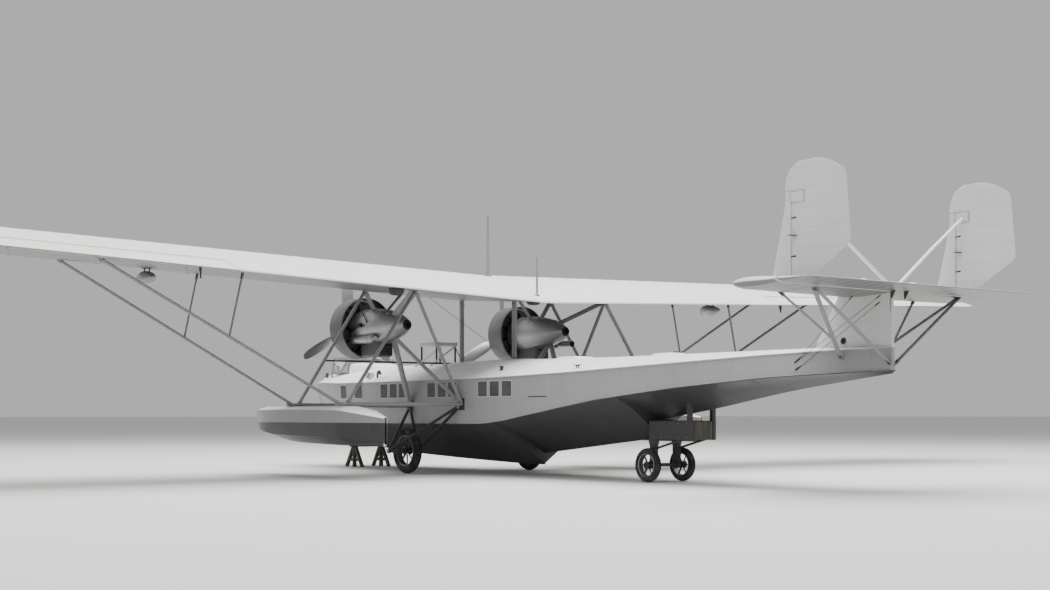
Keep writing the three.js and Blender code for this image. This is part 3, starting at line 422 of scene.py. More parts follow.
def weathered_timber():
    finish = Finish("timber", specular=0.3)
    grain = finish.noise(14.0, detail=6, stretch=(1, 1, 0.1))
    tone = finish.ramp(grain, [(0.25, (0.030, 0.026, 0.022)), (0.55, (0.085, 0.074, 0.062)),
                               (0.8, (0.15, 0.135, 0.115))])
    return finish.set(Base_Color=tone, Roughness=0.8, Normal=finish.bump(grain, 0.003))


def worn_leather():
    finish = Finish("seat_leather")
    creases = finish.node("ShaderNodeTexVoronoi", {"feature": "DISTANCE_TO_EDGE"},
                          {"Vector": finish.place, "Scale": 90.0})
    wear = finish.step(finish.noise(7.0, detail=4), 0.5, 0.72)
    tone = finish.mix(wear, (0.055, 0.036, 0.022), (0.16, 0.115, 0.075))
    return finish.set(Base_Color=tone, Roughness=wear * 0.15 + 0.42,
                      Normal=finish.bump(finish.step(creases, 0.0, 0.12), 0.0015))


tyre_rubber = dusty_rubber()
timber = weathered_timber()
seat_leather = worn_leather()
print("finishes so far", len(bpy.data.materials))

# %% [markdown]
# Every object that the camera sees is a piece. It rides on one body and says which packed solids it
# replaces. What is made for port is mirrored to starboard.
# A few small functions give angles around a circle, points between two points and smooth curves.

# %% Pieces and curves
MIRRORED = Matrix.Scale(-1, 4, (0, 1, 0))
HANDS = {"port": Matrix(), "starboard": MIRRORED}
SIDES = {"port": 1, "starboard": -1}


def ride(piece, body="root", replaces=()):
    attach(piece, body)
    if replaces:
        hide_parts(*replaces)
    return piece


def around(count, closed=False):
    """Angles at even steps around a circle, with the first one again where it closes"""
    return [2 * math.pi * k / count for k in range(count + closed)]


def between(first, second, part):
    return Vector(first).lerp(Vector(second), part)


def smooth_curve(points, steps):
    """Points of a curve that passes evenly through the given points"""
    points = [Vector(point) for point in points]
    padded = [2 * points[0] - points[1], *points, 2 * points[-1] - points[-2]]
    curve = []
    for before, start, end, after in zip(padded, padded[1:], padded[2:], padded[3:]):
        for step in range(steps):
            t = step / steps
            pull = (end - before) * t + (2 * before - 5 * start + 4 * end - after) * t * t
            curve.append(start + (pull + (3 * start - before - 3 * end + after) * t ** 3) / 2)
    return [*curve, points[-1]]


def eased(t, start, end, slope_in, slope_out):
    """A value on the way from start to end that leaves and arrives with given slopes"""
    return ((2 * t ** 3 - 3 * t * t + 1) * start + (t ** 3 - 2 * t * t + t) * slope_in
            + (3 * t * t - 2 * t ** 3) * end + (t ** 3 - t * t) * slope_out)


def table_row(rows, at):
    """One row of a table at any place, on straight lines between its rows"""
    rows = sorted(rows)
    for low, high in zip(rows, rows[1:]):
        if low[0] <= at <= high[0]:
            part = (at - low[0]) / (high[0] - low[0])
            return [a + (b - a) * part for a, b in zip(low, high)]
    return list(rows[0] if at < rows[0][0] else rows[-1])


print("hands", list(HANDS))

# %% [markdown]
# Most pieces are skins through rings of points: a strut, a wing, a tyre. The builder class below
# gathers such skins, turned profiles and bevelled blocks, and remembers which finish each patch
# wears. At the end it makes one object, smooth where the surface is round and sharp at its edges.
# The builder can carry a matrix, so the same lines make both sides.

# %% Shape builder
class Shape:
    def __init__(self, matrix=None):
        self.matrix = matrix or Matrix()
        self.points = []
        self.faces = []
        self.finishes = []
        self.patch = []

    def wear(self, finish):
        if finish not in self.finishes:
            self.finishes.append(finish)
        self.current = self.finishes.index(finish)
        return self

    def skin(self, rings, around=True, caps=True):
        base, count = len(self.points), len(rings[0])
        for ring in rings:
            self.points.extend(self.matrix @ Vector(point) for point in ring)
        steps = count if around else count - 1
        for row_start in range(base, base + (len(rings) - 1) * count, count):
            for i in range(steps):
                a, b = row_start + i, row_start + (i + 1) % count
                self.faces.append((a, b, b + count, a + count))
        if caps:
            last = base + (len(rings) - 1) * count
            self.faces.append(tuple(range(base + count - 1, base - 1, -1)))
            self.faces.append(tuple(range(last, last + count)))
        self.patch.extend([self.current] * (len(self.faces) - len(self.patch)))
        return self

    def tube(self, path, wide, thick=None, sides=16, caps=True):
        """A tube along a path. Where it is streamlined, wide runs along X and thick across it"""
        path = [Vector(point) for point in path]
        widths = wide if isinstance(wide, list) else [wide] * len(path)
        rings = []
        for i, point in enumerate(path):
            along = (path[min(i + 1, len(path) - 1)] - path[max(i - 1, 0)]).normalized()
            guide = Vector((0, 0, 1)) if abs(along.x) > 0.95 else Vector((1, 0, 0))
            fore = (guide - along * guide.dot(along)).normalized()
            over = along.cross(fore)
            half, depth = widths[i] / 2, (thick if thick is not None else widths[i]) / 2
            rings.append([
                point + fore * half * math.cos(turn) + over * depth * math.sin(turn)
                for turn in around(sides)
            ])
        return self.skin(rings, caps=caps)

    def turn(self, profile, centre, axis=(1, 0, 0), sides=48, caps=False):
        """A body of revolution. Profile rows: distance along the axis, radius"""
        axis = Vector(axis).normalized()
        guide = Vector((0, 0, 1)) if abs(axis.z) < 0.9 else Vector((1, 0, 0))
        first = (guide - axis * guide.dot(axis)).normalized()
        second = axis.cross(first)
        centre = Vector(centre)
        rings = [[
            centre + axis * along + (first * math.cos(turn) + second * math.sin(turn)) * radius
            for turn in around(sides)
        ] for along, radius in profile]
        return self.skin(rings, caps=caps)

    def block(self, low, high, bevel=0.004):
        """An upright block with bevelled edges"""
        (x0, y0, z0), (x1, y1, z1) = low, high
        bevel = min(bevel, (x1 - x0) / 3, (y1 - y0) / 3, (z1 - z0) / 3)

        def ring(inset, z):
            cut = inset + bevel
            return [(x0 + cut, y0 + inset, z), (x1 - cut, y0 + inset, z), (x1 - inset, y0 + cut, z),
                    (x1 - inset, y1 - cut, z), (x1 - cut, y1 - inset, z), (x0 + cut, y1 - inset, z),
                    (x0 + inset, y1 - cut, z), (x0 + inset, y0 + cut, z)]
        return self.skin([ring(bevel, z0), ring(0, z0 + bevel), ring(0, z1 - bevel), ring(bevel, z1)])

    def place(self, name, body="root", slot=None, replaces=(), edge=32):
        mesh = bpy.data.meshes.new(name)
        mesh.from_pydata([tuple(point) for point in self.points], [], self.faces)
        for finish in self.finishes:
            mesh.materials.append(finish)
        mesh.polygons.foreach_set("material_index", self.patch)
        shell = bmesh.new()
        shell.from_mesh(mesh)
        bmesh.ops.remove_doubles(shell, verts=shell.verts, dist=1e-5)
        bmesh.ops.dissolve_degenerate(shell, dist=1e-6, edges=shell.edges)
        bmesh.ops.recalc_face_normals(shell, faces=shell.faces)
        shell.to_mesh(mesh)
        shell.free()
        shade(mesh, edge)
        return ride(add_object(name, mesh), body, replaces)


def shade(mesh, edge):
    """Smooth shading with sharp edges where faces meet at more than an angle in degrees"""
    mesh.shade_smooth()
    mesh.set_sharp_from_angle(angle=math.radians(edge))


def settle(piece):
    """Applies a piece's modifiers, so that a plain mesh is left"""
    mesh = bpy.data.meshes.new_from_object(piece.evaluated_get(bpy.context.evaluated_depsgraph_get()))
    piece.modifiers.clear()
    piece.data = mesh
    mesh.name = piece.name
    return mesh


print("shape methods", [name for name in vars(Shape) if not name.startswith("_")])

# %% [markdown]
# Small things that repeat by the dozen, such as rivets, cooling fins and bolts, come from
# Geometry Nodes. A tree takes plain edges, walks along them at a named pitch and sets one small
# item at each step, turned along the edge.

# %% Trees that repeat an item along edges
def repeat_tree(name, item_kind, item_settings):
    tree = bpy.data.node_groups.new(name, "GeometryNodeTree")
    tree.interface.new_socket("Geometry", in_out="INPUT", socket_type="NodeSocketGeometry")
    for socket in ("Pitch", "Radius", "Thickness"):
        tree.interface.new_socket(socket, in_out="INPUT", socket_type="NodeSocketFloat")
    tree.interface.new_socket("Finish", in_out="INPUT", socket_type="NodeSocketMaterial")
    tree.interface.new_socket("Geometry", in_out="OUTPUT", socket_type="NodeSocketGeometry")
    start, end = tree.nodes.new("NodeGroupInput"), tree.nodes.new("NodeGroupOutput")
    steps = [tree.nodes.new(kind) for kind in (
        "GeometryNodeMeshToCurve", "GeometryNodeCurveToPoints", "GeometryNodeInstanceOnPoints",
        "GeometryNodeRealizeInstances", "GeometryNodeSetMaterial")]
    to_curve, to_points, instances, _, finish = steps
    to_points.mode = "LENGTH"
    item = tree.nodes.new(item_kind)
    for key, value in item_settings.items():
        item.inputs[key].default_value = value
    size = tree.nodes.new("ShaderNodeCombineXYZ")
    link = tree.links.new
    for axis, socket in zip("XYZ", ("Radius", "Radius", "Thickness")):
        link(start.outputs[socket], size.inputs[axis])
    link(start.outputs["Geometry"], to_curve.inputs[0])
    link(start.outputs["Pitch"], to_points.inputs["Length"])
    link(start.outputs["Finish"], finish.inputs["Material"])
    link(to_points.outputs["Rotation"], instances.inputs["Rotation"])
    link(item.outputs["Mesh"], instances.inputs["Instance"])
    link(size.outputs[0], instances.inputs["Scale"])
    for before, after in zip(steps, [*steps[1:], end]):
        link(before.outputs[0], after.inputs[0])
    return tree


domes = repeat_tree("domes", "GeometryNodeMeshUVSphere", {"Segments": 7, "Rings": 4, "Radius": 1.0})
discs = repeat_tree("discs", "GeometryNodeMeshCylinder", {"Vertices": 22, "Radius": 1.0, "Depth": 1.0})
bolts = repeat_tree("bolts", "GeometryNodeMeshCylinder", {"Vertices": 6, "Radius": 1.0, "Depth": 1.0})
print("repeat trees", domes.name, discs.name, bolts.name)

# %% [markdown]
# The function below lays the runs of edges down as a path, hands it to a tree with its sizes, and
# applies the modifier. A modifier's inputs are set by the identifiers of their sockets.

# %% Repeats along edges
REPEAT_EDGE = 40


def set_inputs(modifier, tree, values):
    for socket in tree.interface.items_tree:
        if socket.in_out == "INPUT" and socket.name in values:
            modifier[socket.identifier] = values[socket.name]


def repeat(name, tree, runs, pitch, radius, thickness, finish, body="root", matrix=None):
    """Sets items along runs of points, all in one object"""
    points, edges = [], []
    for run in runs:
        base = len(points)
        points.extend(tuple((matrix or Matrix()) @ Vector(point)) for point in run)
        edges.extend((base + i, base + i + 1) for i in range(len(run) - 1))
    path = bpy.data.meshes.new(name + "_path")
    path.from_pydata(points, edges, [])
    piece = add_object(name, path)
    modifier = piece.modifiers.new("repeat", "NODES")
    modifier.node_group = tree
    set_inputs(modifier, tree, {"Pitch": pitch, "Radius": radius, "Thickness": thickness, "Finish": finish})
    shade(settle(piece), REPEAT_EDGE)
    return ride(piece, body)


print("sharp edges of repeated items from", REPEAT_EDGE, "degrees")

# %% [markdown]
# The hull is drawn from the same table of sections as the solid, but with a smooth curve along
# its length between them. It has hollow bottom planes, a hard chine, nearly upright sides and a
# crowned deck. The two steps stay sharp: the bottom jumps up there while the sides run through.

# %% Hull table
# Columns: station, keel, chine half-width, chine height, sheer half-width, sheer height, ridge
HULL_SECTIONS = [
    (6.2, 1.62, 0.03, 1.78, 0.05, 1.99, 2.03), (5.9, 1.26, 0.14, 1.60, 0.205, 2.00, 2.11),
    (5.4, 0.96, 0.35, 1.43, 0.495, 2.00, 2.19), (4.8, 0.76, 0.63, 1.29, 0.81, 1.995, 2.24),
    (4.2, 0.63, 0.89, 1.19, 1.07, 1.985, 2.28), (3.6, 0.535, 1.15, 1.11, 1.255, 1.97, 2.31),
    (3.0, 0.47, 1.28, 1.07, 1.335, 1.95, 2.34), (1.25, 0.36, 1.34, 1.05, 1.35, 1.95, 2.37),
    (-1.9, 0.25, 1.345, 1.05, 1.35, 1.955, 2.40), (-2.92, 0.24, 1.345, 1.085, 1.34, 1.97, 2.37),
    (-2.94, 0.47, 1.345, 1.09, 1.34, 1.97, 2.37), (-4.96, 0.68, 1.255, 1.375, 1.25, 2.02, 2.345),
    (-6.39, 0.83, 1.15, 1.57, 1.13, 2.08, 2.34), (-6.41, 1.15, 1.15, 1.572, 1.13, 2.08, 2.34),
    (-7.8, 1.34, 1.0, 1.71, 0.96, 2.14, 2.34), (-9.6, 1.63, 0.72, 1.85, 0.63, 2.225, 2.34),
    (-10.9, 1.79, 0.44, 1.905, 0.30, 2.275, 2.335), (-11.75, 1.89, 0.045, 1.945, 0.03, 2.30, 2.32),
]
STEPS = ((-2.92, -2.94), (-6.39, -6.41))
HOLLOW_ACROSS, HOLLOW_UP, CROWN_POWER = 0.6, 0.68, 1.7
COCKPIT = {"front": 4.65, "rear": 3.78, "half": 0.54, "floor": 1.56}


def hull_row(station):
    return table_row(HULL_SECTIONS, station)


def deck_height(station, out):
    _, _, _, _, half, sheer, ridge = hull_row(station)
    return ridge - (ridge - sheer) * min(1, abs(out) / half) ** CROWN_POWER


def deck_point(station, out, lift=0.0):
    return (station, out, deck_height(station, out) + lift)


print("sections", len(HULL_SECTIONS), "steps", len(STEPS))

# %% [markdown]
# A section becomes a ring of points that starts at the keel and runs up the port side, over the
# deck and down to starboard. Between two rows of the table the values follow an even curve. The
# stretches before, between and after the steps are curved on their own.

# %% Rings of the hull
def hull_ring(section):
    station, keel, chine_out, chine, sheer_out, sheer, ridge = section
    side = []
    knee = (chine_out * HOLLOW_ACROSS, keel + (chine - keel) * HOLLOW_UP)
    for step in range(1, 5):
        side.append(tuple(between((0, keel, 0), (*knee, 0), step / 5))[:2])
    side.append(knee)
    side.append(tuple(between((*knee, 0), (chine_out, chine, 0), 0.5))[:2])
    for step in range(5):
        side.append(tuple(between((chine_out, chine, 0), (sheer_out, sheer, 0), step / 4))[:2])
    for step in range(1, 12):
        part = 1 - step / 12
        side.append((sheer_out * part, ridge - (ridge - sheer) * part ** CROWN_POWER))
    port = [(row(station), y, z) for y, z in side]
    starboard = [(x, -y, z) for x, y, z in reversed(port)]
    return [(row(station), 0, keel), *port, (row(station), 0, ridge), *starboard]


def splined(sections, steps=5):
    """The table's rows with even curves along the length in between"""
    columns = len(sections[0])
    padded = [[2 * a - b for a, b in zip(sections[0], sections[1])], *sections,
              [2 * a - b for a, b in zip(sections[-1], sections[-2])]]
    made = []
    for before, start, end, after in zip(padded, padded[1:], padded[2:], padded[3:]):
        span = start[0] - end[0]
        for step in range(steps):
            t = step / steps
            made_row = [start[0] - span * t]
            for k in range(1, columns):
                slope_in = (end[k] - before[k]) / (before[0] - end[0]) * span
                slope_out = (after[k] - start[k]) / (start[0] - after[0]) * span
                made_row.append(eased(t, start[k], end[k], slope_in, slope_out))
            made.append(made_row)
    return [*made, list(sections[-1])]


def hull_stretches(steps):
    """The rows before, between and after the steps of the bottom, each stretch curved on its own"""
    cuts = [0, *(next(i for i, r in enumerate(HULL_SECTIONS) if r[0] == rear) for _, rear in STEPS),
            len(HULL_SECTIONS)]
    return [splined(HULL_SECTIONS[start:end], steps) for start, end in zip(cuts, cuts[1:])]


hull_rings = [hull_ring(section) for stretch in hull_stretches(5) for section in stretch]
print("hull rings", len(hull_rings), "points in each", len(hull_rings[0]))

# %% [markdown]
# The skin goes through the rings, and a block with rounded edges cuts the open cockpit out of it.
# Small pieces further down are laid on the hull with the help of a tree that finds its faces.

# %% Hull skin
WELL_TOP = 2.6
hull_skin = Shape().wear(hull_paint).skin(hull_rings).place(
    "hull_skin", slot="topside_paint", replaces=["hull"], edge=24)
well = Shape().wear(hull_paint).block((row(COCKPIT["rear"]), -COCKPIT["half"], COCKPIT["floor"]),
                                      (row(COCKPIT["front"]), COCKPIT["half"], WELL_TOP), 0.02).place("well_cutter")
cutter = hull_skin.modifiers.new("well", "BOOLEAN")
cutter.object = well
cutter.solver = "EXACT"
cut_mesh = settle(hull_skin)
bpy.data.objects.remove(well)
hull_tree = BVHTree.FromPolygons([v.co for v in cut_mesh.vertices], [p.vertices for p in cut_mesh.polygons])
print("hull faces", len(cut_mesh.polygons))

# %% [markdown]
# A heavy strip guards the chine, a half-round rail runs along the sheer, and an iron shoe guards the
# keel.

# %% Strips along the hull
STRIP_FRONT, SHOE_FRONT = 6.15, 5.8
hull_trim = Shape()
fine = hull_stretches(3)
sheer_path = [(row(r[0]), r[4] + 0.002, r[5]) for part in fine for r in part if r[0] < STRIP_FRONT]
for matrix in HANDS.values():
    hull_trim.matrix = matrix
    hull_trim.wear(hull_paint).tube(sheer_path, 0.034, 0.030, sides=8)
    for part in fine:
        chine_path = [(row(r[0]), r[2] + 0.001, r[3] - 0.004) for r in part if r[0] < STRIP_FRONT]
        hull_trim.tube(chine_path, 0.030, 0.030, sides=8)
hull_trim.matrix = Matrix()
keel_paths = [[(row(r[0]), 0, r[1] + 0.008) for r in part if r[0] < SHOE_FRONT] for part in fine[:2]]
hull_trim.wear(gear_iron).tube(keel_paths[0], 0.05, 0.045, sides=8)
hull_trim.tube(keel_paths[1], 0.045, 0.04, sides=8)
hull_trim.place("hull_trim", slot="topside_paint")
print("hull strips", len(HANDS) * (1 + len(fine)) + len(keel_paths))

# %% [markdown]
# Butt straps lie over the seams between the plates, with a row of rivets on each edge. Where a
# strap meets the open cockpit it is cut off. Two more rows of rivets follow the stringers inside.

# %% Straps and rivets on the hull
SEAM_STATIONS = [5.3, 4.35, 3.35, 2.45, 1.35, 0.35, -0.65, -1.75, -2.75, -3.9, -4.95, -6.0, -7.1, -8.2, -9.3,
                 -10.4]
STRAP = {"half": 0.026, "proud": 0.0022, "rivets": 0.014}
STRAP_LIFT = Vector((0, STRAP["proud"], STRAP["proud"]))
STRINGER_HEIGHTS = [0.34, 0.68]
straps, strap_rivets = Shape().wear(hull_paint), []


def clear_of_well(points, station):
    """The points of a strap without those over the open cockpit"""
    inside = COCKPIT["rear"] - 0.1 < station < COCKPIT["front"] + 0.1
    return [p for p in points if not (inside and p[2] > 1.9 and p[1] < COCKPIT["half"] + 0.03)]


def strap_line(station, shift, first, last):
    """Points just off the port side beside a seam, from one point of the ring to another"""
    ring = hull_ring(hull_row(station + shift))
    return [Vector(p) + STRAP_LIFT for p in clear_of_well(ring[first:len(ring) // 2 + last], station)]


for station in SEAM_STATIONS:
    edges = [strap_line(station, shift, 5, 0) for shift in (-STRAP["half"], STRAP["half"])]
    inner = [[p - Vector((0, 0.006, 0.006)) for p in edge] for edge in edges]
    for matrix in HANDS.values():
        straps.matrix = matrix
        straps.skin([[i0, e0, e1, i1] for i0, e0, e1, i1 in zip(inner[0], edges[0], edges[1], inner[1])])
    for shift in (-STRAP["rivets"], STRAP["rivets"]):
        strap_rivets.append(strap_line(station, shift, 6, -1))
        strap_rivets.append([MIRRORED @ p for p in strap_rivets[-1]])
straps.place("butt_straps", slot="topside_paint")
for share in STRINGER_HEIGHTS:
    for part in fine:
        line = [(row(r[0]), r[2] + (r[4] - r[2]) * share + 0.001, r[3] + (r[5] - r[3]) * share)
                for r in part if -11.3 < r[0] < 5.8]
        strap_rivets.append(line)
        strap_rivets.append([MIRRORED @ Vector(p) for p in line])
repeat("hull_rivets", domes, strap_rivets, 0.075, 0.0058, 0.0058, hull_paint)
print("seams", len(SEAM_STATIONS))

# %% [markdown]
# The floats are small hulls with a pointed bow and stern, a hard chine and a crowned deck. Each
# has a rail along the deck edge, a stern post, two hatches and rows of rivets over its frames.

# %% Rings of a float
FLOAT_OUT = 4.05
# Columns: station, keel, chine half-width, chine height, edge half-width, edge height, deck
FLOAT_SECTIONS = [
    (1.70, 1.05, 0.025, 1.09, 0.05, 1.30, 1.325), (1.45, 0.93, 0.12, 1.00, 0.165, 1.32, 1.375),
    (1.00, 0.825, 0.32, 0.925, 0.39, 1.33, 1.40), (0.30, 0.705, 0.42, 0.85, 0.45, 1.33, 1.40),
    (-0.90, 0.66, 0.43, 0.83, 0.45, 1.33, 1.40), (-2.10, 0.643, 0.405, 0.815, 0.42, 1.32, 1.40),
    (-2.30, 0.643, 0.385, 0.81, 0.40, 1.31, 1.375), (-3.29, 0.645, 0.04, 0.77, 0.045, 1.165, 1.19),
]
FLOAT_CROWN = 0.3


def float_ring(section):
    station, keel, chine_out, chine, edge_out, edge, deck = section
    flat = edge_out * FLOAT_CROWN
    port = [(chine_out * 0.5, (keel + chine) / 2 - 0.006), (chine_out, chine),
            ((chine_out + edge_out) / 2, (chine + edge) / 2), (edge_out, edge),
            ((edge_out + flat) / 2, (edge + deck) / 2 + 0.004), (flat, deck)]
    points = [(0, keel), *port, (0, deck + 0.0005), *((-y, z) for y, z in reversed(port))]
    return [(row(station), FLOAT_OUT + y, z) for y, z in points]


body_rings = [float_ring(r) for r in (*splined(FLOAT_SECTIONS[:6], 4), *FLOAT_SECTIONS[6:])]
print("float rings", len(body_rings))

# %% [markdown]
# The skin, the rails, the stern post and the hatches of a float are one piece, and its rivets are
# a second one.

# %% Floats
FLOAT_HATCHES = [1.05, -1.55]
FLOAT_SEAMS = [1.2, 0.55, -0.35, -1.15, -1.75, -2.2, -2.75]
# Columns: height over the deck, radius
HATCH_PROFILE = [(-0.02, 0.12), (0.004, 0.12), (0.009, 0.108), (0.010, 0.001)]
for side, matrix in HANDS.items():
    float_shape = Shape(matrix).wear(float_paint).skin(body_rings)
    rail = [(row(r[0]), FLOAT_OUT + r[4] - 0.003, r[5]) for r in FLOAT_SECTIONS]
    float_shape.tube(rail, 0.020, 0.018, sides=8)
    float_shape.tube([(x, 2 * FLOAT_OUT - y, z) for x, y, z in rail], 0.020, 0.018, sides=8)
    float_shape.wear(white_paint).block((row(-3.29), FLOAT_OUT - 0.022, 0.645),
                                        (row(-3.25), FLOAT_OUT + 0.022, 1.188), 0.008)
    for station in FLOAT_HATCHES:
        float_shape.wear(float_paint).turn(HATCH_PROFILE, (row(station), FLOAT_OUT, 1.391), axis=(0, 0, 1), sides=32)
        float_shape.wear(gear_iron).tube(
            station_points((station, FLOAT_OUT - 0.05, 1.4035), (station, FLOAT_OUT + 0.05, 1.4035)), 0.014, sides=8)
    float_shape.place(f"float_skin_{side}", slot="topside_paint", replaces=[f"float_{side}"], edge=26)
    seams = []
    for station in FLOAT_SEAMS:
        ring = float_ring(table_row(FLOAT_SECTIONS, station))
        seams.append(ring[1:6])
        seams.append(list(reversed(ring[9:14])))
    repeat(f"float_rivets_{side}", domes, seams, 0.045, 0.0055, 0.0055, float_paint,
           matrix=matrix)
print("floats", len(HANDS))

# %% [markdown]
# The wing is one smooth airfoil from tip to tip, with rounded tips and a bay for each aileron.
# Its height comes from the two spars, which rise evenly to the tips. The airfoil is a table, and
# an even curve runs through its rows.

# %% Wing table
# Nose is the station of the leading edge. Joint, tip and end are distances out, taper is per metre
WING = {"nose": 0.55, "chord": 3.6, "joint": 2.6, "tip": 13.5, "end": 15.24, "depth": 0.566, "taper": 0.0125}
REAR_SPAR = -1.9
# The aileron's bay. Gap is the space at its ends, hinge the station of the hinge line
BAY = {"inner": 6.88, "outer": 13.42, "front": -2.36, "gap": 0.022, "hinge": -2.478}
HINGE_OUTS = [7.55, 9.2, 10.7, 12.3]
# Columns: part of the chord, upper surface, lower surface, both as parts of the depth
WING_PROFILE = [(0.0, 0.34, 0.34), (0.004, 0.44, 0.25), (0.02, 0.56, 0.15), (0.07, 0.78, 0.04), (0.15, 0.94, 0.0),
                (0.25, 1.0, 0.0), (0.4, 0.96, 0.0), (0.55, 0.82, 0.0), (0.7, 0.59, -0.01), (0.85, 0.29, -0.04),
                (1.0, -0.03, -0.08)]


def underside(station, out):
    front = 3.72 + 0.038 * abs(out)
    rear = 3.61 + 0.037 * abs(out)
    return front + station / REAR_SPAR * (rear - front)


def profile_at(part, column):
    points = [(r[0], r[column]) for r in WING_PROFILE]
    k = max(i for i, (edge, _) in enumerate(points[:-1]) if edge <= part + 1e-9)
    (x0, y0), (x1, y1) = points[k], points[k + 1]
    before = points[k - 1] if k else (2 * x0 - x1, 2 * y0 - y1)
    after = points[k + 2] if k + 2 < len(points) else (2 * x1 - x0, 2 * y1 - y0)
    span, t = x1 - x0, (part - x0) / (x1 - x0)
    slope_in = (y1 - before[1]) / (x1 - before[0]) * span
    slope_out = (after[1] - y0) / (after[0] - x0) * span
    return eased(t, y0, y1, slope_in, slope_out)


def tip_share(out):
    """How much of the chord is left at a place along the span, which rounds the tips"""
    beyond = max(0.0, (abs(out) - WING["tip"]) / (WING["end"] - WING["tip"]))
    return max(0.18, math.sqrt(max(0.0, 1 - beyond * beyond)))


def wing_point(out, part, column, sag=0.0):
    share = tip_share(out)
    depth = (WING["depth"] - WING["taper"] * abs(out)) * (0.35 + 0.65 * share)
    station = WING["nose"] - 0.45 * WING["chord"] * (1 - share) - part * WING["chord"] * share
    height = underside(station, out) + 0.095 * (1 - share) + profile_at(part, column) * depth
    return (row(station), out, height - (sag if column == 1 else -sag))


print("wing profile", len(WING_PROFILE), "span", 2 * WING["end"])

# %% [markdown]
# Between the ribs the covering sags a few millimetres, and this is modelled, because low light
# across it shows it. Rings of the wing stand at every quarter of the space between two ribs.

# %% Rings of the wing
RIB_SAG = 0.0035
CHORD_STEPS = [0, 0.003, 0.008, 0.02, 0.04, 0.07, 0.11, 0.15, 0.2, 0.25, 0.32, 0.4, 0.48, 0.55, 0.62, 0.7, 0.76,
               0.82, 0.88, 0.94, 1.0]


def rib_sag(out, pitch, depth):
    return abs(math.sin(math.pi * out / pitch)) * depth


def wing_ring(out, last=1.0):
    off = rib_sag(out, RIB_PITCH, RIB_SAG)
    steps = [part for part in CHORD_STEPS if part < last - 0.004] + [last]

    def sag(part):
        return off * min(1.0, max(0.0, (part - 0.06) / 0.1), max(0.0, (1 - part) / 0.1))

    upper = [wing_point(out, part, 1, sag(part)) for part in steps]
    lower = [wing_point(out, part, 2, sag(part)) for part in reversed(steps[1:])]
    return upper + lower


def span_steps(start, end):
    count = max(2, round((end - start) / (RIB_PITCH / 4)))
    return [start + (end - start) * k / count for k in range(count + 1)]


print("ribs in the span", round(2 * WING["end"] / RIB_PITCH))

# %% [markdown]
# The centre section carries two thin masts on round feet. Each panel is made in three lengths, the
# middle one cut short in front of its aileron, and small iron arms reach from it to the hinge line.

# %% Wing skins
HINGE_UPPER, HINGE_LOWER, EDGE_DROOP = 0.3078, -0.0382, -0.055
# Columns: station, height of the foot over the underside, length, radius
MASTS = [(-0.96, 0.1, 1.75, 0.032), (-2.66, 0.1, 0.81, 0.022)]


def depth_at(out):
    return WING["depth"] - WING["taper"] * abs(out)


def hinge_height(out):
    return underside(BAY["hinge"], out) + (HINGE_UPPER + HINGE_LOWER) / 2 * depth_at(out)


bay_part = (WING["nose"] - BAY["front"]) / WING["chord"]
centre_outs = span_steps(-WING["joint"], WING["joint"])
centre_wing = Shape().wear(wing_dope).skin([wing_ring(out) for out in centre_outs])
for station, foot, length, radius in MASTS:
    z = underside(station, 0) + foot
    mast = [(station, 0, z + height) for height in (0, length * 0.5, length - 0.01, length)]
    centre_wing.wear(strut_paint).tube(station_points(*mast), [2 * radius, 2 * radius, 1.5 * radius, 0.8 * radius],
                                       sides=18)
    skin_z = wing_point(0.0, (WING["nose"] - station) / WING["chord"], 1)[2]
    centre_wing.wear(dull_alloy).turn([(-0.03, radius * 2.6), (0.006, radius * 2.6), (0.03, radius * 1.2)],
                                      (row(station), 0, skin_z), axis=(0, 0, 1), sides=24)
centre_wing.place("wing_centre_skin", slot="doped_skin", replaces=["wing_centre"], edge=30)
for side, matrix in HANDS.items():
    panel = Shape(matrix).wear(wing_dope)
    panel.skin([wing_ring(out) for out in span_steps(WING["joint"] + 0.0003, BAY["inner"])])
    panel.skin([wing_ring(out, bay_part) for out in span_steps(BAY["inner"], BAY["outer"])])
    tip = [WING["tip"] + (WING["end"] - WING["tip"]) * math.sin(math.pi / 2 * k / 16) for k in range(17)]
    panel.skin([wing_ring(out) for out in (BAY["outer"], 13.46, *tip)])
    panel.wear(gear_iron)
    for out in HINGE_OUTS:
        x, z = row(BAY["hinge"]), hinge_height(out)
        panel.block((x - 0.018, out - 0.008, z - 0.018), (row(BAY["front"]) + 0.02, out + 0.008, z + 0.018), 0.004)
        panel.tube([(x, out - 0.034, z), (x, out + 0.034, z)], 0.024, sides=12)
    panel.place(f"wing_skin_{side}", slot="doped_skin", replaces=[f"wing_{side}"], edge=30)
print("wing rings", len(centre_outs))

# %% [markdown]
# An aileron turns about a line inside its round nose. Its sides run flat to a thin trailing edge,
# and the nose is cut back where a hinge bracket of the wing reaches in.

# %% Ailerons
SLOT_HALF, SLOT_BACK = 0.014, 0.03


def hinge_marks(places, hinges):
    """Places of rings, with the ones near a hinge replaced by a slot. The second value says cut back"""
    marks = [(place, False) for place in places if all(abs(place - hinge) > 0.03 for hinge in hinges)]
    for hinge in hinges:
        low, high = hinge - SLOT_HALF, hinge + SLOT_HALF
        marks += [(low - 1e-4, False), (low, True), (high, True), (high + 1e-4, False)]
    return sorted(marks)


